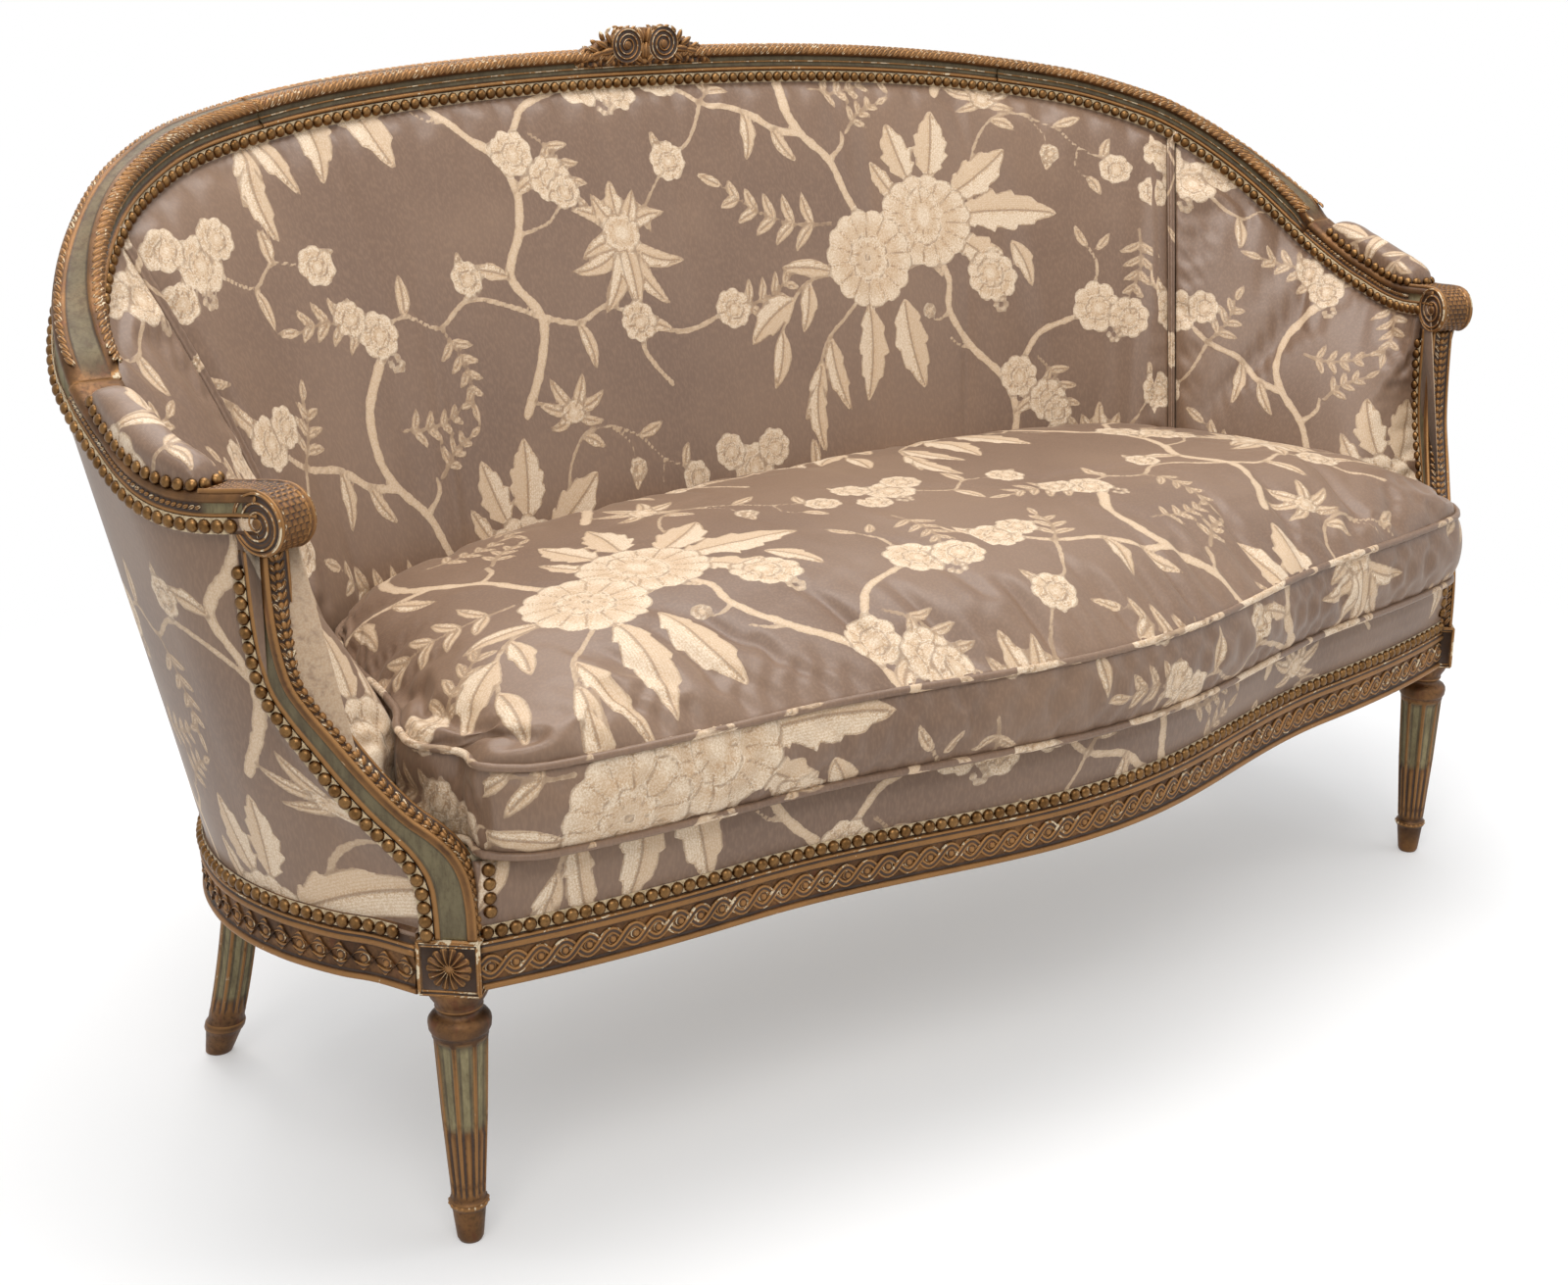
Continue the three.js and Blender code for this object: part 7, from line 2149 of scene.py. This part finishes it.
def build_stage():
    scene = bpy.context.scene
    world = bpy.data.worlds.new("studio")
    world.use_nodes = True
    nodes = world.node_tree
    shade = nodes.nodes["Background"]
    shade.inputs["Color"].default_value = (0.95, 0.97, 1, 1)
    shade.inputs["Strength"].default_value = 0.55
    nodes.links.new(seen_white(nodes, shade.outputs[0]), nodes.nodes["World Output"].inputs["Surface"])
    scene.world = world
    floor_mesh = bpy.data.meshes.new("floor")
    reach = 14.0
    floor_mesh.from_pydata([(-reach, -reach, 0), (reach, -reach, 0), (reach, reach, 0), (-reach, reach, 0)], [], [(0, 1, 2, 3)])
    floor = bpy.data.objects.new("floor", floor_mesh)
    scene.collection.objects.link(floor)
    floor_mesh.materials.append(floor_finish())
    lamp("key", (-2.0, -2.3, 3.6), (0, 0, 0.45), 2.4, 1.8, 70, (1, 0.97, 0.93))
    lamp("top", (0.1, 0.1, 3.3), (0, -0.05, 0.4), 2.6, 1.6, 80, (1, 0.99, 0.98))
    lamp("fill", (3.2, -3.0, 2.2), (0, 0, 0.4), 3.0, 2.2, 26, (0.97, 0.98, 1))
    lamp("back", (0.6, 3.0, 3.2), (0, 0.2, 0.6), 3.4, 1.6, 50, (1, 1, 1))
    set_camera(scene)
    scene.view_settings.view_transform = "Standard"


def set_camera(scene):
    yaw, pitch, roll = (math.radians(a) for a in (38.995, 17.541, 0.143))
    ahead = Vector((math.sin(yaw) * math.cos(pitch), math.cos(yaw) * math.cos(pitch), -math.sin(pitch)))
    level = Vector((math.cos(yaw), -math.sin(yaw), 0))
    tall = level.cross(ahead)
    right = level * math.cos(roll) + tall * math.sin(roll)
    up = tall * math.cos(roll) - level * math.sin(roll)
    lens = bpy.data.cameras.new("camera")
    lens.sensor_width, lens.lens = 36, 50.72
    lens.shift_x, lens.shift_y = -0.0172, -0.0262
    thing = bpy.data.objects.new("camera", lens)
    turn = Matrix((right, up, -ahead)).transposed().to_4x4()
    turn.translation = Vector((-1.4772, -1.7496, 1.1047))
    thing.matrix_world = turn
    scene.collection.objects.link(thing)
    scene.camera = thing


# Settings and steps of the add-on


class SetteeSize(bpy.types.PropertyGroup):
    """Sizes that a user would change"""

    nail: bpy.props.FloatProperty(
        name="Nail width", description="Width of a brass nail head", default=0.0121, min=0.008, max=0.0125, unit="LENGTH")
    piping: bpy.props.FloatProperty(
        name="Piping width", description="Thickness of the cushion's covered cord", default=0.0072, min=0.004,
        max=0.012, unit="LENGTH")


class SetteeFinish(bpy.types.PropertyGroup):
    """Colours and wear that a user would change"""

    gold: bpy.props.FloatVectorProperty(
        name="Gilding", description="Colour of the aged gilding", subtype="COLOR", size=3, min=0, max=1,
        default=linear("#77522d")[:3])
    wear: bpy.props.FloatProperty(
        name="Wear", description="How far edges are chipped down to the gesso", default=0.48, min=0, max=1,
        subtype="FACTOR")
    ground: bpy.props.FloatVectorProperty(
        name="Satin ground", description="Colour of the cloth's ground", subtype="COLOR", size=3, min=0, max=1,
        default=linear("#79604d")[:3])
    thread: bpy.props.FloatVectorProperty(
        name="Pattern thread", description="Colour of the cloth's woven flowers", subtype="COLOR", size=3, min=0, max=1,
        default=linear("#d8c6ae")[:3])


def all_finishes():
    """The object's materials, made at the first step that needs them."""
    if "gilt" not in bpy.data.materials:
        finishes()
    return {name: bpy.data.materials[name] for name in ("gilt", "cloth", "brass", "braid", "beech", "jute", "ticking")}


class SeatRails(bpy.types.Operator):
    """Moulds the bowed seat rails and carves the plaited band along them"""

    bl_idname, bl_label = "settee.seat_rails", "Seat rails"

    def execute(self, context):
        build_seat_rails(all_finishes())
        return {"FINISHED"}


class Legs(bpy.types.Operator):
    """Turns and flutes the four legs, with a rosette on each front block"""

    bl_idname, bl_label = "settee.legs", "Legs"

    def execute(self, context):
        build_legs(all_finishes())
        return {"FINISHED"}


class ArmPosts(bpy.types.Operator):
    """Makes the swept arm posts with painted sides and carved fronts"""

    bl_idname, bl_label = "settee.arm_posts", "Arm posts"

    def execute(self, context):
        build_posts(all_finishes())
        return {"FINISHED"}


class TopRail(bpy.types.Operator):
    """Moulds the top rail and winds its carved ribbon"""

    bl_idname, bl_label = "settee.top_rail", "Top rail"

    def execute(self, context):
        build_top_rail(all_finishes())
        return {"FINISHED"}


class Arms(bpy.types.Operator):
    """Makes the arms with their scaled handles and scrolls"""

    bl_idname, bl_label = "settee.arms", "Arms"

    def execute(self, context):
        build_arms(all_finishes())
        return {"FINISHED"}


class Crest(bpy.types.Operator):
    """Carves the crest of rosettes and leaves"""

    bl_idname, bl_label = "settee.crest", "Crest"

    def execute(self, context):
        build_crest(all_finishes())
        return {"FINISHED"}


class InsidePadding(bpy.types.Operator):
    """Pads the inside of the back and sides"""

    bl_idname, bl_label = "settee.inside_padding", "Inside padding"

    def execute(self, context):
        build_inside_pads(all_finishes())
        build_seam_welts(all_finishes())
        return {"FINISHED"}


class OutsideCloth(bpy.types.Operator):
    """Stretches cloth over the outside of the back and sides"""

    bl_idname, bl_label = "settee.outside_cloth", "Outside cloth"

    def execute(self, context):
        build_outside_covers(all_finishes())
        return {"FINISHED"}


class ArmrestPadding(bpy.types.Operator):
    """Pads the tops of the arms"""

    bl_idname, bl_label = "settee.armrest_padding", "Armrest padding"

    def execute(self, context):
        build_armrest_pads(all_finishes())
        return {"FINISHED"}


class SeatDeck(bpy.types.Operator):
    """Weaves the webbing and pads the seat on it"""

    bl_idname, bl_label = "settee.seat_deck", "Seat deck"

    def execute(self, context):
        build_webbing(all_finishes())
        build_deck(all_finishes())
        return {"FINISHED"}


class SeatCushion(bpy.types.Operator):
    """Makes the loose seat cushion and its piping"""

    bl_idname, bl_label = "settee.seat_cushion", "Seat cushion"

    def execute(self, context):
        build_cushion(all_finishes())
        return {"FINISHED"}


class BraidAndNails(bpy.types.Operator):
    """Lays braid over the cloth's edges and drives the brass nails"""

    bl_idname, bl_label = "settee.braid_and_nails", "Braid and nails"

    def execute(self, context):
        build_braid(all_finishes())
        build_nails(all_finishes())
        return {"FINISHED"}


class HiddenWood(bpy.types.Operator):
    """Finishes the plain rails and braces under the cloth"""

    bl_idname, bl_label = "settee.hidden_wood", "Hidden wood"

    def execute(self, context):
        build_hidden_wood(all_finishes())
        return {"FINISHED"}


class Stage(bpy.types.Operator):
    """Sets the floor, the lights and the camera"""

    bl_idname, bl_label = "settee.stage", "Stage"

    def execute(self, context):
        build_stage()
        return {"FINISHED"}


STEPS = (
    SeatRails, Legs, ArmPosts, TopRail, Arms, Crest, OutsideCloth, InsidePadding, ArmrestPadding, SeatDeck,
    SeatCushion, BraidAndNails, HiddenWood, Stage,
)


class SetteePanel(bpy.types.Panel):
    """Lists the sizes, the colours and the steps"""

    bl_idname, bl_label = "VIEW3D_PT_settee", "Basket-shaped settee"
    bl_space_type, bl_region_type, bl_category = "VIEW_3D", "UI", "Settee"

    def draw(self, context):
        scene = context.scene
        for holder in (scene.settee_size, scene.settee_finish):
            for name in holder.__annotations__:
                self.layout.prop(holder, name)
        for step in STEPS:
            self.layout.operator(step.bl_idname)


def register():
    for kind in (SetteeSize, SetteeFinish, *STEPS, SetteePanel):
        bpy.utils.register_class(kind)
    bpy.types.Scene.settee_size = bpy.props.PointerProperty(type=SetteeSize)
    bpy.types.Scene.settee_finish = bpy.props.PointerProperty(type=SetteeFinish)


def unregister():
    del bpy.types.Scene.settee_finish
    del bpy.types.Scene.settee_size
    for kind in (SetteePanel, *STEPS[::-1], SetteeFinish, SetteeSize):
        bpy.utils.unregister_class(kind)


def plain(box):
    return [[round(float(c), 5) for c in corner] for corner in box]


def main():
    register()
    for step in STEPS:
        group_name, name = step.bl_idname.split(".")
        getattr(getattr(bpy.ops, group_name), name)()


if __name__ == "__main__":
    main()
